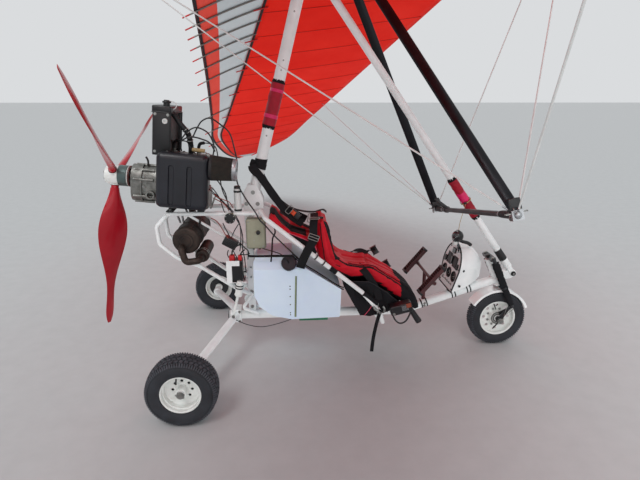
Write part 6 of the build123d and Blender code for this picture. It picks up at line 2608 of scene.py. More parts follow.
    def air_cleaner(self) -> None:
        """The conical filter: pleated gauze between a rubber root and a bright end cap."""
        root = self.at(0.632, -0.172, 0.130)
        pleats, rows = self.filter_pleats * 4, 9
        axis = self.thrust
        side, other = Y, self.rise
        points = []
        for row in range(rows + 1):
            share = row / rows
            for n in range(pleats):
                turn = 2 * math.pi * n / pleats
                wave = 0.0024 * math.cos(4 * math.pi * n / 8)
                radius = 0.0775 - 0.0095 * share + wave
                points.append(
                    root + axis * (0.012 + 0.132 * share) + toward(side, other, turn) * radius)
        gauze = new_piece("filter_pleats", points, tube_faces(rows + 1, pleats), [GAUZE], "frame")
        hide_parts("air_filter")
        base = turned(
            "filter_root",
            [
                (-0.002, 0.0), (-0.002, 0.074), (0.002, 0.079), (0.014, 0.0795), (0.018, 0.0785),
                (0.018, 0.0)], root, axis, [DARK_RUBBER], "frame", 48)
        cap = turned(
            "filter_cap",
            [
                (0.140, 0.0), (0.140, 0.0692), (0.148, 0.0706), (0.163, 0.0702), (0.168, 0.066),
                (0.168, 0.056), (0.1645, 0.053), (0.1645, 0.0)], root, axis, [CLEAR_ANODISED],
            "frame", 56)
        screw = fixings("filter_cap_nut", [(root + axis * 0.166, axis)], 0.007, 0.010, "frame")

    def radiator(self) -> None:
        """The radiator's core, side plates, top tank and fins, at the height of the photograph."""
        axes = (self.thrust, Y, self.rise)
        core = block(
            "radiator_core", self.at(0.3275, 0, 0.320), (0.074, 0.300, 0.250), axes, 0.003,
            BLACK_SATIN, "frame")
        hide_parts("radiator")
        pieces = [
            core,
            block(
                "radiator_top_tank", self.at(0.3275, 0, 0.455), (0.116, 0.330, 0.042), axes, 0.009,
                BLACK_SATIN, "frame")]
        pieces.extend(
            block(
                f"radiator_side_{name}", self.at(0.3275, side * 0.157, 0.310),
                (0.106, 0.016, 0.266), axes, 0.004, BLACK_SATIN, "frame")
            for side, name in ((-1, "right"), (1, "left")))
        rows = []
        for n in range(42):
            up = 0.204 + 0.0054 * n
            rows.extend(
                [self.at(along, -0.146, up), self.at(along, 0.146, up)]
                for along in (0.2895, 0.3655))
        pieces.append(tubes("radiator_fins", rows, 0.0013, SOOT_STEEL, "frame", 6))
        feet = [
            [self.at(0.340, side * 0.045, 0.186), self.at(0.340, side * 0.045, 0.200)]
            for side in (-1, 1)]
        pieces.append(tubes("radiator_feet", feet, 0.0120, DARK_RUBBER, "frame", 16))
        neck = [[self.at(0.346, -0.110, 0.474), self.at(0.346, -0.110, 0.494)]]
        pieces.append(tubes("radiator_neck", neck, 0.0200, BLACK_SATIN, "frame", 24))

    def radiator_fittings(self) -> None:
        """Filler cap, side boss, tank seams and the brackets."""
        cap = turned(
            "radiator_filler_cap",
            [
                (0, 0.0), (0, 0.026), (0.006, 0.027), (0.010, 0.025), (0.010, 0.018),
                (0.016, 0.017), (0.018, 0.014), (0.018, 0.0)], self.at(0.346, -0.110, 0.493),
            self.rise, [BLACK_SATIN], "frame", 32)
        boss = turned(
            "radiator_side_boss",
            [
                (0, 0.0), (0, 0.0165), (0.006, 0.0165), (0.008, 0.0145), (0.008, 0.0085),
                (0.003, 0.0075), (0.003, 0.0)], self.at(0.350, -0.1650, 0.386), -Y, [MILK_PLASTIC],
            "frame", 28)
        rings = [loop_of(self.at(0.327, 0, 0.436), self.thrust, Y, 0.060, 0.166, 0.012)]
        seams = tubes("radiator_tank_seams", rings, 0.0022, BLACK_SATIN, "frame", 8)
        rails = [
            [self.at(0.383, port, 0.184), self.at(0.383, port, 0.436)] for port in (-0.1665, 0.1665)
        ]
        edge = tubes("radiator_rails", rails, 0.0045, BLACK_SATIN, "frame", 8)
        bolts = fixings(
            "radiator_bolts",
            [(self.at(a, -0.1652, u), -Y) for a in (0.290, 0.366) for u in (0.200, 0.424)], 0.0060,
            0.007, "frame")

    def head_and_gearbox(self) -> None:
        """Cylinder head bolts, spark plug caps and leads, gearbox and crankcase bolts, and the
        breather.
        """
        heads = [
            (self.at(x, y, 0.187), self.rise) for x in (0.318, 0.372, 0.426, 0.476, 0.530, 0.584)
            for y in (-0.056, 0.056)]
        top = fixings("cylinder_head_bolts", heads, 0.0075, 0.010, "frame")
        case = [
            (
                self.at(
                    0.140, 0.084 * math.cos(math.radians(a)),
                    0.084 * math.sin(math.radians(a)) + drop), -self.thrust)
            for a, drop in [(a, 0.0) for a in (0, 45, 90, 135, 180)] + [
                (a, -0.075) for a in (205, 245, 295, 335)]]
        bolts = fixings("gearbox_bolts", case, 0.0062, 0.010, "frame")
        split = [
            (self.at(0.205, y, z), Y * math.copysign(1, y))
            for y, z in ((-0.094, 0.02), (-0.093, -0.045), (0.094, 0.02), (0.093, -0.045))]
        side = fixings("gearbox_flange_bolts", split, 0.0055, 0.008, "frame")
        crank = [
            (self.at(x, s * 0.0955, -0.060 + dz), Y * s) for s in (-1, 1)
            for x in (0.305, 0.385, 0.465, 0.545) for dz in (0.0, -0.075)]
        lower = fixings("crankcase_bolts", crank, 0.0060, 0.009, "frame")
        caps, leads = [], []
        for x in (0.372, 0.530):
            start = self.at(x, 0, 0.198)
            caps.append(smooth_path([
                start, self.at(x, 0, 0.232), self.at(x + 0.010, -0.006, 0.256),
                self.at(x + 0.036, -0.016, 0.264)], 5))
            leads.append(smooth_path([
                self.at(x + 0.034, -0.015, 0.264), self.at(x + 0.090, -0.040, 0.262),
                self.at(x + 0.130, -0.078, 0.220), (0.190, -0.120, 1.250), (0.226, -0.140, 1.150),
                (0.232, -0.136, 1.090)], 7))
        plugs = tubes("spark_plug_caps", caps, 0.0105, DARK_RUBBER, "frame", 14)
        wires = tubes("spark_plug_leads", leads, 0.0038, BLACK_SATIN, "frame", 8)
        vent = tubes(
            "gearbox_breather",
            [smooth_path([
                self.at(0.215, -0.02, 0.082), self.at(0.213, -0.02, 0.115),
                self.at(0.200, -0.02, 0.140)], 5)], 0.0065, BLACK_SATIN, "frame", 10)

    def carburettors(self) -> None:
        """Two carburettors between the silencer and the ports: bodies, bowls, clips and linkage."""
        for n, x in enumerate((0.372, 0.530)):
            body = turned(
                f"carburettor_{n + 1}",
                [
                    (0, 0.0), (0, 0.020), (0.010, 0.0245), (0.040, 0.0245), (0.052, 0.020),
                    (0.052, 0.0)], self.at(x, -0.112, 0.092), -self.rise, [CAST_ALUMINIUM], "frame",
                32)
            top = turned(
                f"carburettor_top_{n + 1}",
                [
                    (0, 0.0), (0, 0.021), (0.018, 0.021), (0.024, 0.014), (0.036, 0.008),
                    (0.036, 0.0)], self.at(x, -0.112, 0.090), self.rise, [BLACK_SATIN], "frame", 28)
            clip = tubes(
                f"carburettor_clips_{n + 1}",
                [ring_around(self.at(x, y, 0.040), Y, 0.0335) for y in (-0.122, -0.142)], 0.0024,
                STEEL, "frame", 8)
        arm = tubes(
            "throttle_linkage",
            [
                [
                    Vector((0.120, -0.165, 1.452)), Vector((0.148, -0.170, 1.440)),
                    Vector((0.172, -0.170, 1.424))],
                [Vector((0.118, -0.165, 1.452)), Vector((0.110, -0.150, 1.468))]], 0.0040, STEEL,
            "frame", 8)
        pivot = fixings(
            "linkage_pivot", [(Vector((0.126, -0.172, 1.449)), -Y)], 0.0085, 0.012, "frame", STEEL,
            Head.ROUND)
        bracket = block(
            "engine_bracket", Vector((0.136, -0.150, 1.150)), (0.012, 0.046, 0.084),
            (Vector((0.9, 0, -0.4)).normalized(), Y, Vector((0.4, 0, 0.9)).normalized()), 0.002,
            CAST_ALUMINIUM, "frame", 0.6)

    def silencers(self) -> None:
        """Springs, seams, brackets and welds of the exhaust."""
        springs = []
        for foot, top in (
                ((-0.086, -0.120, 1.001), (-0.106, -0.120, 1.068)),
                ((-0.069, -0.112, 1.000), (-0.077, -0.112, 1.072)),
                ((0.030, -0.120, 0.975), (0.044, -0.120, 1.046)),
                ((-0.086, 0.150, 0.992), (-0.106, 0.132, 1.060))):
            springs.append(self.coil(Vector(foot), Vector(top), 0.0058, 11))
        coils = tubes("exhaust_springs", springs, 0.0018, BLACK_SATIN, "frame", 6)
        ribs = []
        for n in range(5):
            y = -0.140 + 0.020 * n
            arc = [
                Vector((
                    -0.050 + 0.0915 * math.cos(math.radians(a)), y,
                    0.900 + 0.0915 * math.sin(math.radians(a)))) for a in range(-15, 66, 5)]
            ribs.append(arc)
        shield = tubes("heat_shield_ribs", ribs, 0.0030, SOOT_STEEL, "frame", 8)
        welds = [
            ring_around(Vector((-0.075, -0.186, 0.862)), Y, 0.0235),
            ring_around(Vector((0.038, -0.152, 0.782)), Y, 0.0240),
            ring_around(self.at(0.530, 0.118, 0.060), Y, 0.0260)]
        beads = tubes("exhaust_welds", welds, 0.0024, HOT_STEEL, "frame", 8)
        rim_ring = tubes(
            "muffler_cap_rings",
            [ring_around(Vector((-0.050, -0.1835, 0.900)), Y, r) for r in (0.030, 0.047)], 0.0016,
            SOOT_STEEL, "frame", 8)
        strap_ring = [ring_around(Vector((0.038, y, 0.782)), Y, 0.0462) for y in (-0.1175, -0.0915)]
        bands = tubes("silencer_band_edges", strap_ring, 0.0018, STEEL, "frame", 8)
        hanger = tubes(
            "silencer_hangers",
            [
                [Vector((-0.002, -0.128, 0.806)), Vector((-0.018, -0.128, 0.830))],
                [Vector((-0.005, -0.100, 0.812)), Vector((-0.016, -0.100, 0.826))]], 0.0040, STEEL,
            "frame", 8)

    def coil(self, foot: Vector, top: Vector, radius: float, turns: int) -> list[Vector]:
        """A wound spring between two points, with straight hooked ends.

        Args:
            foot: Its lower end.
            top: Its upper end.
            radius: Radius of the windings.
            turns: Number of windings.

        Returns:
            The points of the wire.
        """
        axis = (top - foot).normalized()
        side = axis.orthogonal().normalized()
        other = axis.cross(side)
        path = [foot]
        steps = turns * 10
        for n in range(steps + 1):
            share = 0.12 + 0.76 * n / steps
            turn = 2 * math.pi * n / 10
            path.append(
                foot + (top - foot) * share + side * (radius * math.cos(turn))
                + other * (radius * math.sin(turn)))
        return [*path, top]

    def canister(self) -> None:
        """Cap and black bands of the coolant canister."""
        centre = Vector((0.290, -0.112, 0))
        rings = [
            turned(
                f"canister_band_{n + 1}",
                [(0, 0.0228), (0, 0.0248), (0.012, 0.0248), (0.012, 0.0228)], centre + Z * z, Z,
                [BLACK_SATIN], "frame", 32) for n, z in enumerate((1.084, 1.206))]
        cap = turned(
            "canister_cap", [(0, 0.0), (0, 0.0215), (0.014, 0.0205), (0.017, 0.017), (0.017, 0.0)],
            centre + Z * 1.231, Z, [BLACK_SATIN], "frame", 28)

    def propeller_hub(self) -> None:
        """Spacer, rings, bolts and blade clamps on the hub."""
        origin = Vector(self.hub)
        axis = self.thrust
        spacer = turned(
            "hub_spacer",
            [
                (0.0285, 0.050), (0.0285, 0.0665), (0.031, 0.0680), (0.083, 0.0680),
                (0.085, 0.0665), (0.085, 0.055)], origin, axis, [HUB_GREEN], "propeller", 64)
        ring = turned(
            "hub_front_ring", [(0.085, 0.056), (0.085, 0.0640), (0.0915, 0.0640), (0.0915, 0.056)],
            origin, axis, [WHITE_PAINT], "propeller", 64)
        flange = turned(
            "drive_flange",
            [
                (0.0918, 0.030), (0.0918, 0.0672), (0.094, 0.0690), (0.101, 0.0690),
                (0.1035, 0.0665), (0.1035, 0.030)], origin, axis, [FLANGE_RED], "propeller", 64)
        end = turned(
            "hub_end_plate",
            [
                (-0.0565, 0.0), (-0.0565, 0.030), (-0.0545, 0.0525), (-0.0520, 0.0550),
                (-0.0380, 0.0550), (-0.0380, 0.0)], origin, axis, [WHITE_PAINT], "propeller", 64)
        nuts = fixings(
            "hub_bolts",
            [
                (self.at(-0.0560, 0.040 * math.cos(t), 0.040 * math.sin(t)), -axis)
                for t in (math.radians(30 + 60 * n) for n in range(6))], 0.0068, 0.012, "propeller")
        lugs = fixings(
            "flange_lugs",
            [
                (self.at(0.1045, 0.054 * math.cos(t), 0.054 * math.sin(t)), axis)
                for t in (math.radians(20 + 45 * n) for n in range(8))], 0.0085, 0.014, "propeller",
            BLACK_SATIN)
        clamps, roots = [], []
        for n in range(3):
            turn = math.radians(141.3 + 120 * n)
            out = toward(Y, self.rise, turn)
            clamps.append(ring_around(origin + out * 0.0610, out, 0.0268, 40))
            roots.append(ring_around(origin + out * 0.0655, out, 0.0250, 40))
        sockets = tubes("blade_sockets", clamps, 0.0036, WHITE_PAINT, "propeller", 10)
        seals = tubes("blade_root_seals", roots, 0.0024, DARK_RUBBER, "propeller", 8)


@dataclass
class Cabin:
    """Tank fittings, electrics, instruments, throttle, foot plates and frame fastenings.

    Args:
        panel_x: Distance forward of the panel's middle.
        panel_z: Height of the panel's middle.
        panel_lean: Lean of the panel, in degrees.
        panel_half: Half the panel's width.
        beam_kink: Where the main beam bends.
        beam_front: Front end of the main beam.
        strut_foot: Lower end of the front strut.
        strut_top: Upper end of the front strut.
        mast_foot: Lower end of the mast.
    """

    panel_x: float = 1.792
    panel_z: float = 0.634
    panel_lean: float = 12.0
    panel_half: float = 0.168
    beam_kink: Point = (1.440, 0.0, 0.290)
    beam_front: Point = (2.138, 0.0, 0.517)
    strut_foot: Point = (2.256, 0.0, 0.560)
    strut_top: Point = (0.758, 0.0, 2.609)
    mast_foot: Point = (0.366, 0.0, 1.092)

    def build(self) -> None:
        """Makes every detail of the cabin and the chassis."""
        self.tank()
        self.electrics()
        self.panel()
        self.pod_outside()
        self.compass()
        self.throttle()
        self.feet()
        self.fastenings()
        self.strut_wraps()

    def tank(self) -> None:
        """Straps, sight strip, cap ribs, filler ring and drain."""
        out = -0.2135
        band = smooth_path([
            (0.345, -0.150, 0.806), (0.352, -0.205, 0.800), (0.400, out, 0.798),
            (0.520, out, 0.797), (0.640, out, 0.795)], 6)
        flat = strap("tank_top_strap", band, Vector((0, 0, 1)), 0.016, "frame")
        ties = []
        for shift in (0.0, 0.014):
            ties.append(smooth_path([
                (0.640, -0.150, 0.790 - shift), (0.668, -0.170, 0.768 - shift),
                (0.722, -0.180, 0.722 - shift), (0.830, -0.186, 0.650 - shift),
                (0.945, -0.200, 0.574 - shift), (0.985, -0.208, 0.560 - shift)], 6))
        double = tubes("tank_front_ties", ties, 0.0042, WEBBING, "frame", 8)
        marks = fixings(
            "tank_sight_marks",
            [
                (Vector((0.6205, -0.2122, z)), -Y)
                for z in (0.580, 0.560, 0.506, 0.447, 0.387, 0.372)], 0.0030, 0.0014, "frame",
            BLACK_SATIN, Head.ROUND)
        rail = strap(
            "tank_gauge_bar",
            [
                Vector((0.661 - 0.008 * t, -0.2125, 0.652 - 0.296 * t))
                for t in (n / 8 for n in range(9))], X, 0.0105, "frame", TANK_LINE, 0.0026)
        edge = strap(
            "tank_gauge_edge",
            [
                Vector((0.6665 - 0.008 * t, -0.2127, 0.652 - 0.296 * t))
                for t in (n / 8 for n in range(9))], X, 0.0024, "frame", BLACK_SATIN, 0.0030)
        hold = smooth_path([
            (0.520, -0.140, 0.992), (0.530, -0.190, 0.952), (0.513, -0.200, 0.913),
            (0.506, -0.200, 0.827), (0.500, -0.196, 0.772), (0.497, -0.186, 0.750)], 6)
        down = tubes("tank_hold_down_cord", [hold], 0.0050, WEBBING, "frame", 8)
        centre, axis = Vector((0.616, -0.179, 0.728)), Vector((0, -0.118, 0.080)).normalized()
        side, other = X, axis.cross(X)
        grips = []
        for n in range(28):
            turn = 2 * math.pi * n / 28
            way = toward(side, other, turn)
            grips.append(
                [centre + way * 0.0502 + axis * 0.004, centre + way * 0.0502 + axis * 0.026])
        ribs = tubes("tank_cap_ribs", grips, 0.0020, BLACK_PLASTIC, "frame", 6)
        neck = tubes(
            "tank_neck_ring",
            [[
                centre + toward(side, other, t) * 0.0535 + axis * 0.001
                for t in (2 * math.pi * n / 48 for n in range(49))]], 0.0040, TANK_SHELL, "frame", 8
        )
        vent = tubes(
            "tank_vent_hose",
            [smooth_path([
                centre + axis * 0.031, (0.600, -0.215, 0.775), (0.560, -0.200, 0.806),
                (0.500, -0.150, 0.812), (0.440, -0.100, 0.815)], 6)], 0.0034, BLACK_SATIN, "frame",
            8)
        drain = strap(
            "belly_green_strip",
            [Vector((0.680 + 0.196 * t, -0.192, 0.3325)) for t in (n / 6 for n in range(7))], Y,
            0.034, "frame", GREEN_TAPE, 0.016)

    def electrics(self) -> None:
        """The grey-green box's lid, knob and screws, the battery's terminals, the pump's ring."""
        face = -0.1232
        lid = tubes(
            "electrics_lid_seam",
            [loop_of(Vector((0.400, face + 0.0160, 0.922)), X, Z, 0.0642, 0.1027, 0.014)], 0.0013,
            BLACK_SATIN, "frame", 6)
        knob = turned(
            "electrics_knob",
            [(0, 0.0), (0, 0.0145), (0.010, 0.0130), (0.016, 0.0120), (0.017, 0.009), (0.017, 0.0)],
            Vector((0.4156, face, 0.934)), -Y, [BLACK_SATIN], "frame", 24)
        screws = fixings(
            "electrics_screws",
            [
                (Vector((x, face - 0.0002, z)), -Y)
                for x, z in ((0.351, 1.006), (0.351, 0.838), (0.449, 1.006), (0.449, 0.838))],
            0.0036, 0.003, "frame", STEEL, Head.ROUND)
        small = fixings(
            "electrics_rivets",
            [(Vector((x, face - 0.0002, z)), -Y) for x, z in ((0.386, 0.880), (0.386, 0.862))],
            0.0022, 0.002, "frame", STEEL, Head.ROUND)
        glands = tubes(
            "electrics_glands",
            [
                [Vector((0.380, -0.083, 0.822)), Vector((0.380, -0.083, 0.806))],
                [Vector((0.420, -0.083, 0.822)), Vector((0.420, -0.083, 0.806))]], 0.0080,
            BLACK_SATIN, "frame", 12)
        red = [
            block(
                f"battery_terminal_cover_{n + 1}", Vector(spot), size, (X, Y, Z), 0.004,
                RED_PLASTIC, "frame")
            for n, (spot, size) in enumerate((
                ((0.234, -0.118, 0.760), (0.036, 0.040, 0.040)),
                ((0.288, -0.128, 0.764), (0.026, 0.034, 0.034))))]
        lugs = tubes(
            "battery_leads",
            [
                smooth_path([
                    (0.234, -0.120, 0.775), (0.240, -0.125, 0.812), (0.270, -0.118, 0.842),
                    (0.300, -0.100, 0.850)], 5),
                smooth_path(
                    [(0.289, -0.128, 0.775), (0.300, -0.128, 0.800), (0.318, -0.110, 0.812)], 5)],
            0.0050, BLACK_SATIN, "frame", 10)
        rib = tubes(
            "battery_case_lines",
            [
                loop_of(Vector((0.262, -0.100, z)), X, Y, 0.0392, 0.0502, 0.006)
                for z in (0.716, 0.722)], 0.0012, BLACK_SATIN, "frame", 6)
        pump = turned(
            "pump_cover",
            [
                (0, 0.0), (0, 0.0345), (0.0035, 0.0350), (0.006, 0.0330), (0.0068, 0.0200),
                (0.0068, 0.0)], Vector((0.238, -0.1582, 1.042)), -Y, [BLACK_SATIN], "frame", 40)
        cover = fixings(
            "pump_screws",
            [
                (Vector((0.238 + 0.029 * math.cos(t), -0.1640, 1.042 + 0.029 * math.sin(t))), -Y)
                for t in (math.radians(30 + 60 * n) for n in range(6))], 0.0030, 0.004, "frame",
            STEEL, Head.ROUND)
        fins = []
        for n in range(5):
            spot = Vector((0.226, -0.0985, 0.862))
            lean = math.radians(30)
            along = Vector((math.cos(lean), 0, -math.sin(lean)))
            up = Vector((math.sin(lean), 0, math.cos(lean)))
            shift = up * (-0.022 + 0.011 * n) - Y * 0.0262
            fins.append([spot + shift - along * 0.038, spot + shift + along * 0.038])
        shell = block(
            "ignition_box_cover", Vector((0.226, -0.098, 0.862)), (0.0965, 0.0515, 0.0635),
            (along, Y, up), 0.005, BLACK_SATIN, "frame")
        lines = tubes("ignition_box_ribs", fins, 0.0012, BLACK_SATIN, "frame", 6)

    def on_panel(self, port: float, high: float, out: float = 0.0) -> Vector:
        """A point of the instrument panel's plane, and out from it toward the seats.

        Args:
            port: Distance to port of the middle.
            high: Distance above the middle, in the plane.
            out: Distance out of the plane.

        Returns:
            The point.
        """
        lean = math.radians(self.panel_lean)
        face = Vector((math.cos(lean), 0, -math.sin(lean)))
        rise = Vector((math.sin(lean), 0, math.cos(lean)))
        return Vector((self.panel_x, 0, self.panel_z)) + Y * port + rise * high - face * out

    def panel(self) -> None:
        """Edge trim, five dials with their bezels, switches and labels' blank plates."""
        lean = math.radians(self.panel_lean)
        face = Vector((-math.cos(lean), 0, math.sin(lean)))
        rise = Vector((math.sin(lean), 0, math.cos(lean)))
        half, high = self.panel_half, 0.166
        outline = [(-half, 0.0), (-half * 0.8, -high), (half * 0.8, -high), (half, 0.0)]
        curve = [
            (half * math.cos(t), high * math.sin(t))
            for t in (math.pi * n / 24 for n in range(1, 24))]
        path = [self.on_panel(y, z, 0.001) for y, z in (*outline, *curve, outline[0])]
        trim = tubes("panel_edge_trim", [path], 0.0048, DARK_RUBBER, "frame", 10)
        dials = ((-0.096, -0.058), (0.0, -0.058), (0.096, -0.058), (-0.058, 0.038), (0.058, 0.038))
        ticks, hands, squares = [], [], []
        for n, (y, z) in enumerate(dials):
            centre = self.on_panel(y, z)
            turned(
                f"dial_{n + 1}",
                [
                    (-0.0065, 0.0), (-0.0065, 0.0295), (0.001, 0.0310), (0.0045, 0.0345),
                    (0.0060, 0.0365), (0.0045, 0.0385), (0.0, 0.0390)], centre, face,
                [FACE, BLACK_SATIN], "frame", 40, [0, 1, 1, 1, 1, 1])
            for k in range(10):
                turn = math.radians(225 - 30 * k)
                way = Y * -math.cos(turn) + rise * math.sin(turn)
                ticks.append(
                    [centre - face * 0.0060 + way * 0.0215, centre - face * 0.0060 + way * 0.0270])
            turn = math.radians(200 - 47 * n)
            way = Y * -math.cos(turn) + rise * math.sin(turn)
            hands.append(
                [centre - face * 0.0054 - way * 0.004, centre - face * 0.0054 + way * 0.020])
            if n > 2:
                squares.append(block(
                    f"dial_plate_{n - 2}", centre + face * 0.0014, (0.080, 0.080, 0.003),
                    (Y, rise, face), 0.001, BLACK_SATIN, "frame"))
        marks = tubes("dial_marks", ticks, 0.0008, DIAL_WHITE, "frame", 5)
        needles = tubes("dial_hands", hands, 0.0009, DIAL_WHITE, "frame", 5)
        boxes = [
            block(
                f"panel_gauge_{n + 1}", self.on_panel(y, z, 0.004), (w, h, 0.010), (Y, rise, face),
                0.002, BLACK_SATIN, "frame")
            for n, (y, z, w, h) in enumerate((
                (0.0, 0.110, 0.052, 0.036), (0.0, 0.040, 0.026, 0.058),
                (-0.120, 0.020, 0.024, 0.040), (0.120, 0.020, 0.024, 0.040)))]
        screens = [
            block(
                f"panel_gauge_glass_{n + 1}", self.on_panel(y, z, 0.0094), (w, h, 0.0016),
                (Y, rise, face), 0.0004, FACE, "frame")
            for n, (y, z, w, h) in enumerate(
                ((0.0, 0.110, 0.044, 0.028), (0.0, 0.040, 0.018, 0.050)))]
        stems = [
            [self.on_panel(y, -0.120, 0.0), self.on_panel(y, -0.113, 0.018)]
            for y in (-0.09, -0.05, -0.01, 0.03)]
        toggles = tubes("panel_switches", stems, 0.0028, STEEL, "frame", 8)
        nuts = fixings(
            "panel_switch_nuts", [(stem[0] + face * 0.001, face) for stem in stems], 0.0062, 0.004,
            "frame")
        key = turned(
            "ignition_lock", [(0, 0.0), (0, 0.0125), (0.006, 0.0115), (0.008, 0.008), (0.008, 0.0)],
            self.on_panel(0.085, -0.118), face, [STEEL], "frame", 24)
        rim_screws = fixings(
            "panel_screws",
            [
                (self.on_panel(y, z, 0.0006), face)
                for y, z in (
                    (-0.150, 0.010), (0.150, 0.010), (-0.118, -0.148), (0.118, -0.148),
                    (-0.088, 0.122), (0.088, 0.122))], 0.0042, 0.003, "frame", BLACK_SATIN,
            Head.ROUND)

    def pod_outside(self) -> None:
        """Screws on the pod's flanks, and the rubber bands that clamp its posts to the beam."""
        spots = []
        for side in (-1, 1):
            spots.extend([
                (Vector((1.826, side * 0.1605, 0.640)), Y * side),
                (Vector((1.812, side * 0.1430, 0.520)), Y * side)])
        screws = fixings("pod_screws", spots, 0.0062, 0.006, "frame", BLACK_SATIN, Head.ROUND)
        foot, front = Vector(self.beam_kink), Vector(self.beam_front)
        axis = (front - foot).normalized()
        for n, x in enumerate((1.814, 1.925)):
            centre = foot + axis * ((x - foot.x) / axis.x)
            for k, shift in enumerate((-0.012, 0.012)):
                ring = turned(
                    f"post_band_{n + 1}_{k + 1}",
                    [(0, 0.0322), (0, 0.0352), (0.008, 0.0352), (0.008, 0.0322)],
                    centre + axis * shift, axis, [DARK_RUBBER], "frame", 40)
            pad = block(
                f"post_pad_{n + 1}", centre + Vector((-axis.z, 0, axis.x)) * 0.034,
                (0.056, 0.040, 0.009), (axis, Y, Vector((-axis.z, 0, axis.x))), 0.003, DARK_RUBBER,
                "frame")
        for n, x in enumerate((1.582, 1.618)):
            centre = foot + axis * ((x - foot.x) / axis.x)
            ring = turned(
                f"foot_post_band_{n + 1}",
                [(0, 0.0322), (0, 0.0356), (0.009, 0.0356), (0.009, 0.0322)], centre, axis,
                [DARK_RUBBER], "frame", 40)
        clip = fixings(
            "foot_post_bolts",
            [
                (foot + axis * ((1.604 - foot.x) / axis.x) - Y * 0.0335 - Z * dz, -Y)
                for dz in (-0.006, 0.012)], 0.006, 0.008, "frame")

    def compass(self) -> None:
        """The ball compass: bowl, bezel, card marks, its bracket, clip and tie."""
        centre = Vector((1.800, -0.060, 0.866))
        axis = Vector((-0.92, -0.1, 0.38)).normalized()
        bowl = turned(
            "compass_bowl",
            [
                (-0.0415, 0.0), (-0.0395, 0.014), (-0.031, 0.0275), (-0.016, 0.0385),
                (0.002, 0.0418), (0.006, 0.0418), (0.006, 0.0395), (0.0, 0.0390)], centre, axis,
            [BLACK_SATIN], "frame", 40)
        ring = turned(
            "compass_bezel",
            [(0.004, 0.0395), (0.004, 0.0432), (0.010, 0.0438), (0.015, 0.0415), (0.015, 0.0375)],
            centre, axis, [BLACK_SATIN], "frame", 40)
        card = tubes(
            "compass_marks",
            [
                [
                    centre + axis * (0.0405 * math.cos(a)) + (
                        axis.orthogonal().normalized() * math.cos(t)
                        + axis.cross(axis.orthogonal().normalized()) * math.sin(t)
                    ) * (0.0405 * math.sin(a)) for a in (math.radians(48), math.radians(56))]
                for t in (2 * math.pi * n / 16 for n in range(16))], 0.0008, DIAL_WHITE, "frame", 5)
        arm = tubes(
            "compass_bracket",
            [smooth_path([
                (1.812, -0.060, 0.838), (1.842, -0.058, 0.824), (1.880, -0.054, 0.812),
                (1.905, -0.050, 0.795)], 6)], 0.0125, BLACK_SATIN, "frame", 14)
        base = block(
            "compass_clip", Vector((1.784, -0.062, 0.818)), (0.030, 0.034, 0.026), (X, Y, Z), 0.006,
            MILK_PLASTIC, "frame")
        tie = tubes(
            "compass_tie",
            [smooth_path([
                (1.805, -0.058, 0.905), (1.812, -0.052, 0.960), (1.828, -0.046, 1.020),
                (1.842, -0.040, 1.072), (1.846, -0.036, 1.096)], 6)], 0.0020, TIE_CORD, "frame", 6)

    def throttle(self) -> None:
        """The hand throttle's lid, dots, orange tag, cable loop, grip ridges and bolts."""
        y = -0.2517 - 0.0352
        lean = math.radians(-14)
        along = Vector((math.cos(lean), 0, -math.sin(lean)))
        up = Vector((math.sin(lean), 0, math.cos(lean)))
        centre = Vector((1.372, y, 0.420))
        dots = fixings(
            "throttle_lid_dots",
            [
                (centre + along * (0.006 + 0.0075 * a) + up * (-0.010 + 0.0075 * b), -Y)
                for a in range(6) for b in range(5)], 0.0018, 0.0016, "frame", CLEAR_ANODISED,
            Head.ROUND)
        tag = block(
            "throttle_tag", centre + along * 0.052 + up * 0.018 - Y * 0.0012, (0.034, 0.030, 0.004),
            (along, up, Y), 0.001, TAG_BROWN, "frame")
        lid = tubes(
            "throttle_lid_seam", [loop_of(centre - Y * 0.0002, along, up, 0.066, 0.027, 0.008)],
            0.0011, FACE, "frame", 6)
        loop = tubes(
            "throttle_cable",
            [smooth_path([
                (1.306, y + 0.020, 0.410), (1.312, y + 0.004, 0.384), (1.330, y - 0.002, 0.346),
                (1.362, y - 0.003, 0.322), (1.400, y - 0.002, 0.334), (1.426, y + 0.006, 0.372),
                (1.436, y + 0.016, 0.394)])], 0.0056, BLACK_SATIN, "frame", 12)
        hand, end = Vector((1.440, -0.2597, 0.410)), Vector((1.500, -0.2737, 0.320))
        axis = (end - hand).normalized()
        length = (end - hand).length
        grip = turned(
            "throttle_grip",
            [
                (0.004, 0.010), (0.006, 0.0172), (0.030, 0.0178), (length * 0.6, 0.0195),
                (length - 0.010, 0.0215), (length - 0.002, 0.0205), (length, 0.016), (length, 0.0)],
            hand, axis, [DARK_RUBBER], "frame", 36)
        ridges = tubes(
            "throttle_grip_ridges",
            [
                ring_around(hand + axis * (0.022 + 0.010 * n), axis, 0.0180 + 0.0004 * n, 28)
                for n in range(7)], 0.0012, DARK_RUBBER, "frame", 6)
        start, way = Vector((0.470, 0, 1.052)), Vector((0.640, 0, -0.525)).normalized()
        for side, name in ((-1, "right"), (1, "left")):
            for n, (low, high) in enumerate(((0.888, 0.930), (1.116, 1.214))):
                foot_end = start + way * ((low - start.x) / way.x) + Y * (side * 0.222)
                bend = turned(
                    f"seat_tube_wrap_{name}_{n + 1}",
                    [
                        (0, 0.0150), (0, 0.0168), (0.004, 0.0176), ((high - low) / way.x, 0.0172),
                        ((high - low) / way.x, 0.0150)], foot_end, way, [BLACK_CLOTH], "frame", 28)
            for n, x in enumerate((0.792, 0.842)):
                band = turned(
                    f"seat_tube_band_{name}_{n + 1}",
                    [(0, 0.0150), (0, 0.0200), (0.008, 0.0200), (0.008, 0.0150)],
                    start + way * ((x - start.x) / way.x) + Y * (side * 0.222), way, [BLACK_SATIN],
                    "frame", 28)
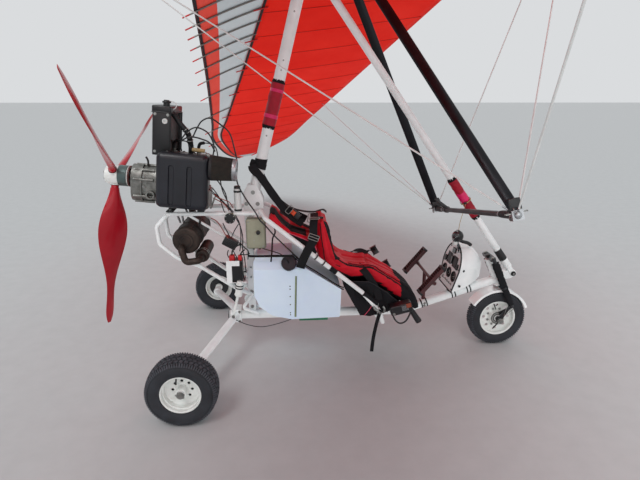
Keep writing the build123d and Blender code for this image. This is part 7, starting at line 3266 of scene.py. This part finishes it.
        elbows = tubes(
            "seat_tube_elbows",
            [
                smooth_path([
                    (1.186, -0.246, 0.432), (1.196, -0.250, 0.410), (1.216, -0.250, 0.400),
                    (1.232, -0.248, 0.380)], 5),
                smooth_path(
                    [(1.250, -0.246, 0.430), (1.262, -0.250, 0.412), (1.258, -0.250, 0.388)], 5)],
            0.0078, STEEL, "frame", 12)
        bolts = fixings(
            "throttle_bolts",
            [
                (Vector((1.222, -0.2392, 0.372)), -Y), (Vector((1.198, -0.2392, 0.412)), -Y),
                (centre - along * 0.058 - up * 0.020, -Y)], 0.0072, 0.010, "frame")

    def feet(self) -> None:
        """Black ends, ridges and hinges of the foot plates."""
        way = Vector((0.142, 0, 0.171)).normalized()
        face = Vector((-way.z, 0, way.x))
        for side, name in ((-1, "right"), (1, "left")):
            centre = Vector((1.600, side * 0.215, 0.585)) + face * 0.0243 + way * 0.004
            ends = [
                block(
                    f"foot_plate_end_{name}_{n + 1}", centre + way * shift, (0.016, 0.068, 0.030),
                    (way, Y, face), 0.004, BLACK_SATIN, "frame")
                for n, shift in enumerate((-0.118, 0.110))]
            ridges = [
                [
                    centre + way * (-0.085 + 0.017 * n) + face * 0.0135 - Y * 0.026,
                    centre + way * (-0.085 + 0.017 * n) + face * 0.0135 + Y * 0.026]
                for n in range(11)]
            grips = tubes(f"foot_plate_ridges_{name}", ridges, 0.0016, MAROON_PAINT, "frame", 6)
            clamps = tubes(
                f"foot_plate_clamps_{name}",
                [
                    ring_around(Vector((1.600, side * (0.215 + s), 0.585)), Y, 0.0135, 28)
                    for s in (-0.018, 0.018)], 0.0032, STEEL, "frame", 8)

    def fastenings(self) -> None:
        """Bolts of the gussets and the column, rivets of the mast, and welds of the frame tubes."""
        gusset = []
        for side in (-1, 1):
            y = side * 0.0428
            gusset.extend([
                (Vector((x, y, z)), Y * side)
                for x, z in (
                    (0.340, 1.114), (0.414, 1.112), (0.385, 1.190), (0.350, 1.010), (0.362, 1.040))
            ])
        plates = fixings("gusset_bolts", gusset, 0.0095, 0.012, "frame")
        column = fixings(
            "column_bolts",
            [
                (Vector((0.350, side * 0.0378, z)), Y * side) for side in (-1, 1)
                for z in (0.480, 0.365)], 0.0085, 0.010, "frame")
        mast_axis = (Vector((0.758, 0, 2.609)) - Vector(self.mast_foot)).normalized()
        dots = []
        for z in (1.560, 1.962, 2.020, 2.300, 2.480):
            spot = Vector(self.mast_foot) + mast_axis * ((z - 1.092) / mast_axis.z)
            dots.append((spot - Y * 0.0374, -Y))
            dots.append((spot + Y * 0.0374, Y))
        rivets = fixings("mast_rivets", dots, 0.0040, 0.003, "frame", STEEL, Head.ROUND)
        pin = fixings(
            "head_pin_nuts",
            [(Vector((0.765, side * 0.0475, 2.640)), Y * side) for side in (-1, 1)], 0.0125, 0.014,
            "hang_block")
        lug = fixings(
            "strut_pin_nuts",
            [(Vector((2.256, side * 0.0230, 0.560)), Y * side) for side in (-1, 1)], 0.0125, 0.012,
            "frame", DARK_RUBBER, Head.ROUND)
        centre_nut = fixings(
            "strut_pin_heads",
            [(Vector((2.256, side * 0.0265, 0.560)), Y * side) for side in (-1, 1)], 0.0080, 0.008,
            "frame")
        ear = fixings(
            "strut_ear_bolts",
            [
                (
                    Vector(self.strut_foot)
                    + (Vector(self.strut_top) - Vector(self.strut_foot)).normalized() * 0.074
                    + Y * (side * 0.0188), Y * side) for side in (-1, 1)], 0.0070, 0.008, "frame")
        rings = [
            ring_around(Vector((0.366 + 0.055, s * 0.120, 1.065)), Y, 0.0152, 28) for s in (-1, 1)]
        rings.extend(
            ring_around(Vector((-0.232, s * 0.112, 1.000)), Y, 0.0112, 28) for s in (-1, 1))
        beads = tubes("frame_welds", rings, 0.0022, WHITE_COAT, "frame", 6)
        mounts = []
        for x in (-0.150, 0.050):
            for side in (-1, 1):
                mounts.append((Vector((x, side * 0.105, 1.0925)), Z))
        feet = fixings("engine_mount_bolts", mounts, 0.008, 0.010, "frame")
        cap = turned(
            "beam_rear_plug",
            [(-0.006, 0.0), (-0.006, 0.030), (-0.003, 0.0325), (0.010, 0.0325), (0.010, 0.0)],
            Vector((0.180, 0, 0.290)), X, [BLACK_PLASTIC], "frame", 40)

    def strut_wraps(self) -> None:
        """The black sleeve near the strut's foot, the clasp and the tie on its pad."""
        foot = Vector(self.strut_foot)
        axis = (Vector(self.strut_top) - foot).normalized()
        wrap = turned(
            "strut_foot_sleeve",
            [
                (0, 0.0252), (0, 0.0275), (0.040, 0.0282), (0.080, 0.0275), (0.116, 0.0270),
                (0.120, 0.0252)], foot + axis * 0.106, axis, [DARK_RUBBER], "frame", 40)
        start = foot + axis * ((1.098 - foot.z) / axis.z)
        knots = tubes(
            "pad_cord",
            [
                ring_around(start, (axis + Vector((0, 0.12, 0.05))).normalized(), 0.0366, 40),
                ring_around(
                    start + axis * 0.010, (axis + Vector((0, -0.2, 0.0))).normalized(), 0.0370, 40)
            ], 0.0024, TIE_CORD, "frame", 6)
        clasp = block(
            "pad_clasp", start + Vector((-0.018, -0.036, -0.004)), (0.020, 0.010, 0.014), (X, Y, Z),
            0.003, BLACK_SATIN, "frame")


@dataclass
class Rigging:
    """Corner fittings, grips, swages and thimbles of the wing's wires, and the plates' bolts.

    Args:
        wing: The wing that it belongs to.
        bar_aft: Distance of the base bar behind the nose.
        bar_half: Half the base bar's length.
        bar_up: Height of the base bar from the keel.
    """

    wing: Wing
    bar_aft: float = 1.040
    bar_half: float = 0.718
    bar_up: float = -1.845

    def corner(self, side: int) -> Vector:
        """Where the wires meet at one end of the base bar."""
        return self.wing.at(self.bar_aft, side * self.bar_half, self.bar_up)

    def wires(self) -> list[tuple[Vector, Vector]]:
        """Both ends of every wire.

        Returns:
            The pairs of ends.
        """
        drop = -3.370 * math.tan(math.radians(self.wing.droop))
        top = self.wing.at(1.480, 0, 1.040)
        runs = []
        for side in (-1, 1):
            corner = self.corner(side)
            runs.append((corner, self.wing.at(0.060, side * 0.022, -0.044)))
            runs.append((corner, self.wing.at(2.760, side * 0.034, -0.020)))
            runs.append((corner, self.wing.at(1.560, side * 3.370, drop)))
            runs.append((top, self.wing.at(1.560, side * 3.370, drop)))
        runs.append((top, self.wing.at(0.060, 0, 0.040)))
        runs.append((top, self.wing.at(2.760, 0, 0.034)))
        return runs

    def build(self) -> None:
        """Makes every fitting of the rigging."""
        self.wire_ends()
        self.corners()
        self.lever()
        self.bar_grips()
        self.plates()

    def wire_ends(self) -> None:
        """A swaged sleeve and a thimble at both ends of each wire."""
        sleeves, thimbles = [], []
        for near, far in self.wires():
            axis = (far - near).normalized()
            for start, way in ((near, axis), (far, -axis)):
                sleeves.append([start + way * 0.048, start + way * 0.078])
                thimbles.append(self.teardrop(start + way * 0.030, way))
        covered = [
            [near + (far - near).normalized() * 0.086, far - (far - near).normalized() * 0.086]
            for near, far in self.wires()[:6]]
        plastic = tubes("wire_sleeves", covered, 0.0043, WIRE_SLEEVE, "wing", 10)
        metal = tubes("wire_swages", sleeves, 0.0048, CLEAR_ANODISED, "wing", 10)
        loops = tubes("wire_thimbles", thimbles, 0.0022, STEEL, "wing", 6)

    def teardrop(self, centre: Vector, way: Vector) -> list[Vector]:
        """The drop-shaped loop of a thimble.

        Args:
            centre: Middle of the round part.
            way: Direction of the round part.

        Returns:
            The points of the loop.
        """
        side = way.cross(self.wing.axes["port"]).normalized()
        path = []
        for n in range(17):
            turn = 2 * math.pi * n / 16
            wide = 0.011 * math.sin(turn) * (
                1.0 if math.cos(turn) < 0 else 1 - 0.75 * math.cos(turn))
            path.append(centre + way * (0.018 * math.cos(turn)) + side * wide)
        return path

    def corners(self) -> None:
        """Bolts, tangs, a round end cap, shackles and the upright's socket at both ends of the base
        bar.
        """
        port, keel, up = (self.wing.axes[k] for k in ("port", "keel", "up"))
        for side, name in ((-1, "starboard"), (1, "port")):
            corner = self.corner(side)
            out = port * side
            cap = turned(
                f"corner_ball_{name}",
                [
                    (0.0, 0.0), (0.0, 0.016), (0.005, 0.0185), (0.012, 0.0190), (0.019, 0.0160),
                    (0.023, 0.009), (0.024, 0.0)], corner + out * 0.004 + up * 0.001, out,
                [CLEAR_ANODISED], "wing", 32)
            bolts = fixings(
                f"corner_bolts_{name}",
                [
                    (corner - out * 0.010 + keel * a * 0.028 + up * b, keel * a) for a in (-1, 1)
                    for b in (-0.012, 0.014)], 0.0075, 0.012, "wing")
            tangs = [
                block(
                    f"corner_tang_{name}_{n + 1}", corner + direction * 0.030 + up * 0.012,
                    (0.046, 0.016, 0.004), (direction, direction.cross(up).normalized(), up),
                    0.0015, STEEL, "wing") for n, direction in enumerate((keel, -keel))]
            shackle = tubes(
                f"corner_shackles_{name}",
                [
                    [
                        corner + keel * 0.018 + up * 0.020 + toward(keel, up, t) * 0.011
                        for t in (2 * math.pi * n / 14 for n in range(15))],
                    [
                        corner - keel * 0.014 + up * 0.026 + toward(port, up, t) * 0.011
                        for t in (2 * math.pi * n / 14 for n in range(15))]], 0.0034, STEEL, "wing",
                8)
            socket = block(
                f"upright_socket_{name}", corner - out * 0.014 + up * 0.048, (0.066, 0.034, 0.070),
                (keel, port, up), 0.006, BLACK_SATIN, "wing", 0.92)

    def lever(self) -> None:
        """The black lever with its clamp that stands on the port end of the base bar."""
        up, keel, port = (self.wing.axes[k] for k in ("up", "keel", "port"))
        foot = self.wing.at(self.bar_aft - 0.004, 0.450, self.bar_up)
        clamp = turned(
            "lever_clamp", [(0, 0.0162), (0, 0.0235), (0.030, 0.0235), (0.030, 0.0162)],
            foot - port * 0.015, port, [BLACK_SATIN], "wing", 32)
        arm = block(
            "bar_lever", foot + up * 0.052 - keel * 0.034, (0.030, 0.016, 0.112),
            ((keel + up * 0.8).normalized(), port, (up - keel * 0.8).normalized()), 0.005,
            BLACK_SATIN, "wing", 0.55)

    def bar_grips(self) -> None:
        """Foam grips and end ferrules on the base bar."""
        for side, name in ((-1, "starboard"), (1, "port")):
            start = self.wing.at(self.bar_aft, side * 0.688, self.bar_up)
            axis = -self.wing.axes["port"] * side
            grip = turned(
                f"bar_grip_{name}",
                [
                    (0, 0.0155), (0.002, 0.0192), (0.070, 0.0206), (0.120, 0.0200), (0.150, 0.0186),
                    (0.154, 0.0155)], start, axis, [DARK_RUBBER], "wing", 36)
            ring = turned(
                f"bar_ferrule_{name}",
                [(0.158, 0.0158), (0.158, 0.0182), (0.168, 0.0182), (0.168, 0.0158)], start, axis,
                [CLEAR_ANODISED], "wing", 32)

    def plates(self) -> None:
        """Bolts on the nose plate and the apex, plugs of the keel and the kingpost's cap."""
        up, keel, port = (self.wing.axes[k] for k in ("up", "keel", "port"))
        nose = fixings(
            "nose_plate_bolts",
            [
                (self.wing.at(aft, p, -0.0525), -up) for aft in (0.040, 0.085, 0.130)
                for p in (-0.044, 0.044)], 0.0085, 0.010, "wing")
        apex = fixings(
            "apex_bolts",
            [
                (self.wing.at(aft, side * 0.0585, -0.055), port * side) for side in (-1, 1)
                for aft in (1.486, 1.516)], 0.0085, 0.012, "wing")
        ends = [
            turned(
                f"keel_plug_{name}",
                [(0, 0.0), (0, 0.0290), (0.004, 0.0322), (0.010, 0.0322), (0.010, 0.0)],
                self.wing.at(aft, 0, 0), way, [BLACK_PLASTIC], "wing", 40)
            for name, aft, way in (("front", -0.024, -keel), ("rear", 2.809, keel))]
        head = turned(
            "kingpost_ball",
            [(0, 0.0), (0, 0.0208), (0.010, 0.0208), (0.018, 0.016), (0.022, 0.007), (0.022, 0.0)],
            self.wing.at(1.480, 0, 1.076), up, [BLACK_PLASTIC], "wing", 32)


@dataclass
class Studio:
    """Floor, lamps and the camera at the photograph's viewing angle.

    Args:
        camera_place: Where the camera stands.
        camera_turn: Its heading, in degrees.
        camera_down: How far it looks down, in degrees.
        lens: Its focal length, in millimetres.
        sky: Colour of the background.
        suns: Name, place, width in degrees and strength of each sun.
        reflector: Sides of the light on the floor.
        reflector_watts: Its power.
        world_strength: Strength of the light from all round.
        reach: Half the floor's side.
    """

    camera_place: Point = (0.6166, -3.2359, 1.7802)
    camera_turn: float = -3.892
    camera_down: float = 16.19
    lens: float = 27.06
    sky: str = "DADCDE"
    suns: tuple[tuple[str, Point, float, float], ...] = (
        ("key", (-2.5, -6.0, 8.5), 28.0, 1.3), ("back", (4.0, 7.0, 7.0), 45.0, 0.4),
        ("low fill", (1.5, -8.0, 2.2), 60.0, 0.8))
    reflector: tuple[float, float] = (8.0, 11.0)
    reflector_watts: float = 115.0
    world_strength: float = 0.6
    reach: float = 400.0

    def build(self) -> None:
        """Makes the stage, the lamps and the camera."""
        self.floor()
        self.lamps()
        self.camera()

    def floor(self) -> None:
        """A wide pale grey floor that reaches the horizon."""
        mesh = bpy.data.meshes.new("floor")
        reach = self.reach
        mesh.from_pydata(
            [(-reach, -reach, 0), (reach, -reach, 0), (reach, reach, 0), (-reach, reach, 0)], [],
            [(0, 1, 2, 3)])
        floor = linked("floor", mesh)
        floor.data.materials.append(
            Finish("pale studio floor", "BCBDBD", "B8B9B9", 0.9, specular=0.1).make())

    def lamps(self) -> None:
        """Three soft suns, a floor light that fills the sail's underside, and a pale world."""
        scene = bpy.context.scene
        world = bpy.data.worlds.new("studio")
        scene.world = world
        world.use_nodes = True
        tree = world.node_tree
        tree.nodes.clear()
        ray = add_node(tree, "ShaderNodeLightPath")
        light = add_node(
            tree, "ShaderNodeBackground",
            {"Color": linear("E9EEF3"), "Strength": self.world_strength})
        sky = add_node(tree, "ShaderNodeBackground", {"Color": linear(self.sky), "Strength": 1.0})
        seen = add_node(
            tree, "ShaderNodeMath", {"operation": "MAXIMUM"},
            {0: ray.outputs["Is Camera Ray"], 1: ray.outputs["Is Glossy Ray"]})
        clear = add_node(
            tree, "ShaderNodeMath", {"operation": "MAXIMUM"},
            {0: seen.outputs["Value"], 1: ray.outputs["Is Transmission Ray"]})
        mix = add_node(
            tree, "ShaderNodeMixShader", {},
            {
                0: clear.outputs["Value"], 1: light.outputs["Background"],
                2: sky.outputs["Background"]})
        add_node(tree, "ShaderNodeOutputWorld", {}, {"Surface": mix.outputs["Shader"]})
        for name, place, angle, strength in self.suns:
            data = bpy.data.lights.new(name, "SUN")
            data.angle = math.radians(angle)
            data.energy = strength
            lamp = linked(name, data)
            lamp.location = place
            lamp.rotation_euler = (-Vector(place)).to_track_quat("-Z", "Y").to_euler()
        data = bpy.data.lights.new("floor reflector", "AREA")
        data.shape = "RECTANGLE"
        data.size, data.size_y = self.reflector
        data.energy = self.reflector_watts
        lamp = linked("floor reflector", data)
        lamp.location = (0.6, -1.0, 0.02)
        lamp.rotation_euler = (math.pi, 0, 0)
        lamp.visible_camera = False
        lamp.visible_glossy = False

    def camera(self) -> None:
        """The camera, from the fit to the photograph."""
        data = bpy.data.cameras.new("camera")
        data.sensor_width = 36.0
        data.lens = self.lens
        camera = linked("camera", data)
        camera.location = self.camera_place
        turn = math.radians(self.camera_turn)
        down = math.radians(self.camera_down)
        look = Vector(
            (-math.sin(turn) * math.cos(down), math.cos(turn) * math.cos(down), -math.sin(down)))
        camera.rotation_euler = look.to_track_quat("-Z", "Y").to_euler()
        bpy.context.scene.camera = camera
        bpy.context.scene.view_settings.view_transform = "Standard"


def dress_nodes(nodes: dict[str, bpy.types.Object]) -> None:
    """Gives each CAD node the finish of its real piece.

    Args:
        nodes: The CAD nodes by name.
    """
    for name, finish in NODE_FINISHES.items():
        node = nodes[name]
        node.data.materials.clear()
        node.data.materials.append(finish.make())


def main() -> None:
    """Builds every sub-assembly in order."""
    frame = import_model()
    Studio().build()
    dress_nodes(frame["nodes"])
    wing = Wing()
    wing.build()
    Seats().build()
    for sleeve in (
            Sleeve(
                "mast_pad", foot=(0.4973, 0.0, 1.600), top=(0.5774, 0.0, 1.910), inner=0.0376,
                outer=0.050, tapes=((0.21, 0.32), (0.73, 0.82))),
            Sleeve(
                "strut_pad", foot=(1.9505, 0.0, 0.978), top=(1.7372, 0.0, 1.270), inner=0.0251,
                outer=0.0376, tapes=((0.40, 0.68),)),):
        sleeve.build()
    Harness().build()
    RunningGear().build()
    Engine().build()
    Cabin().build()
    Rigging(wing).build()
    bpy.context.view_layer.update()


if __name__ == "__main__":
    logging.basicConfig(level=logging.INFO)
    main()
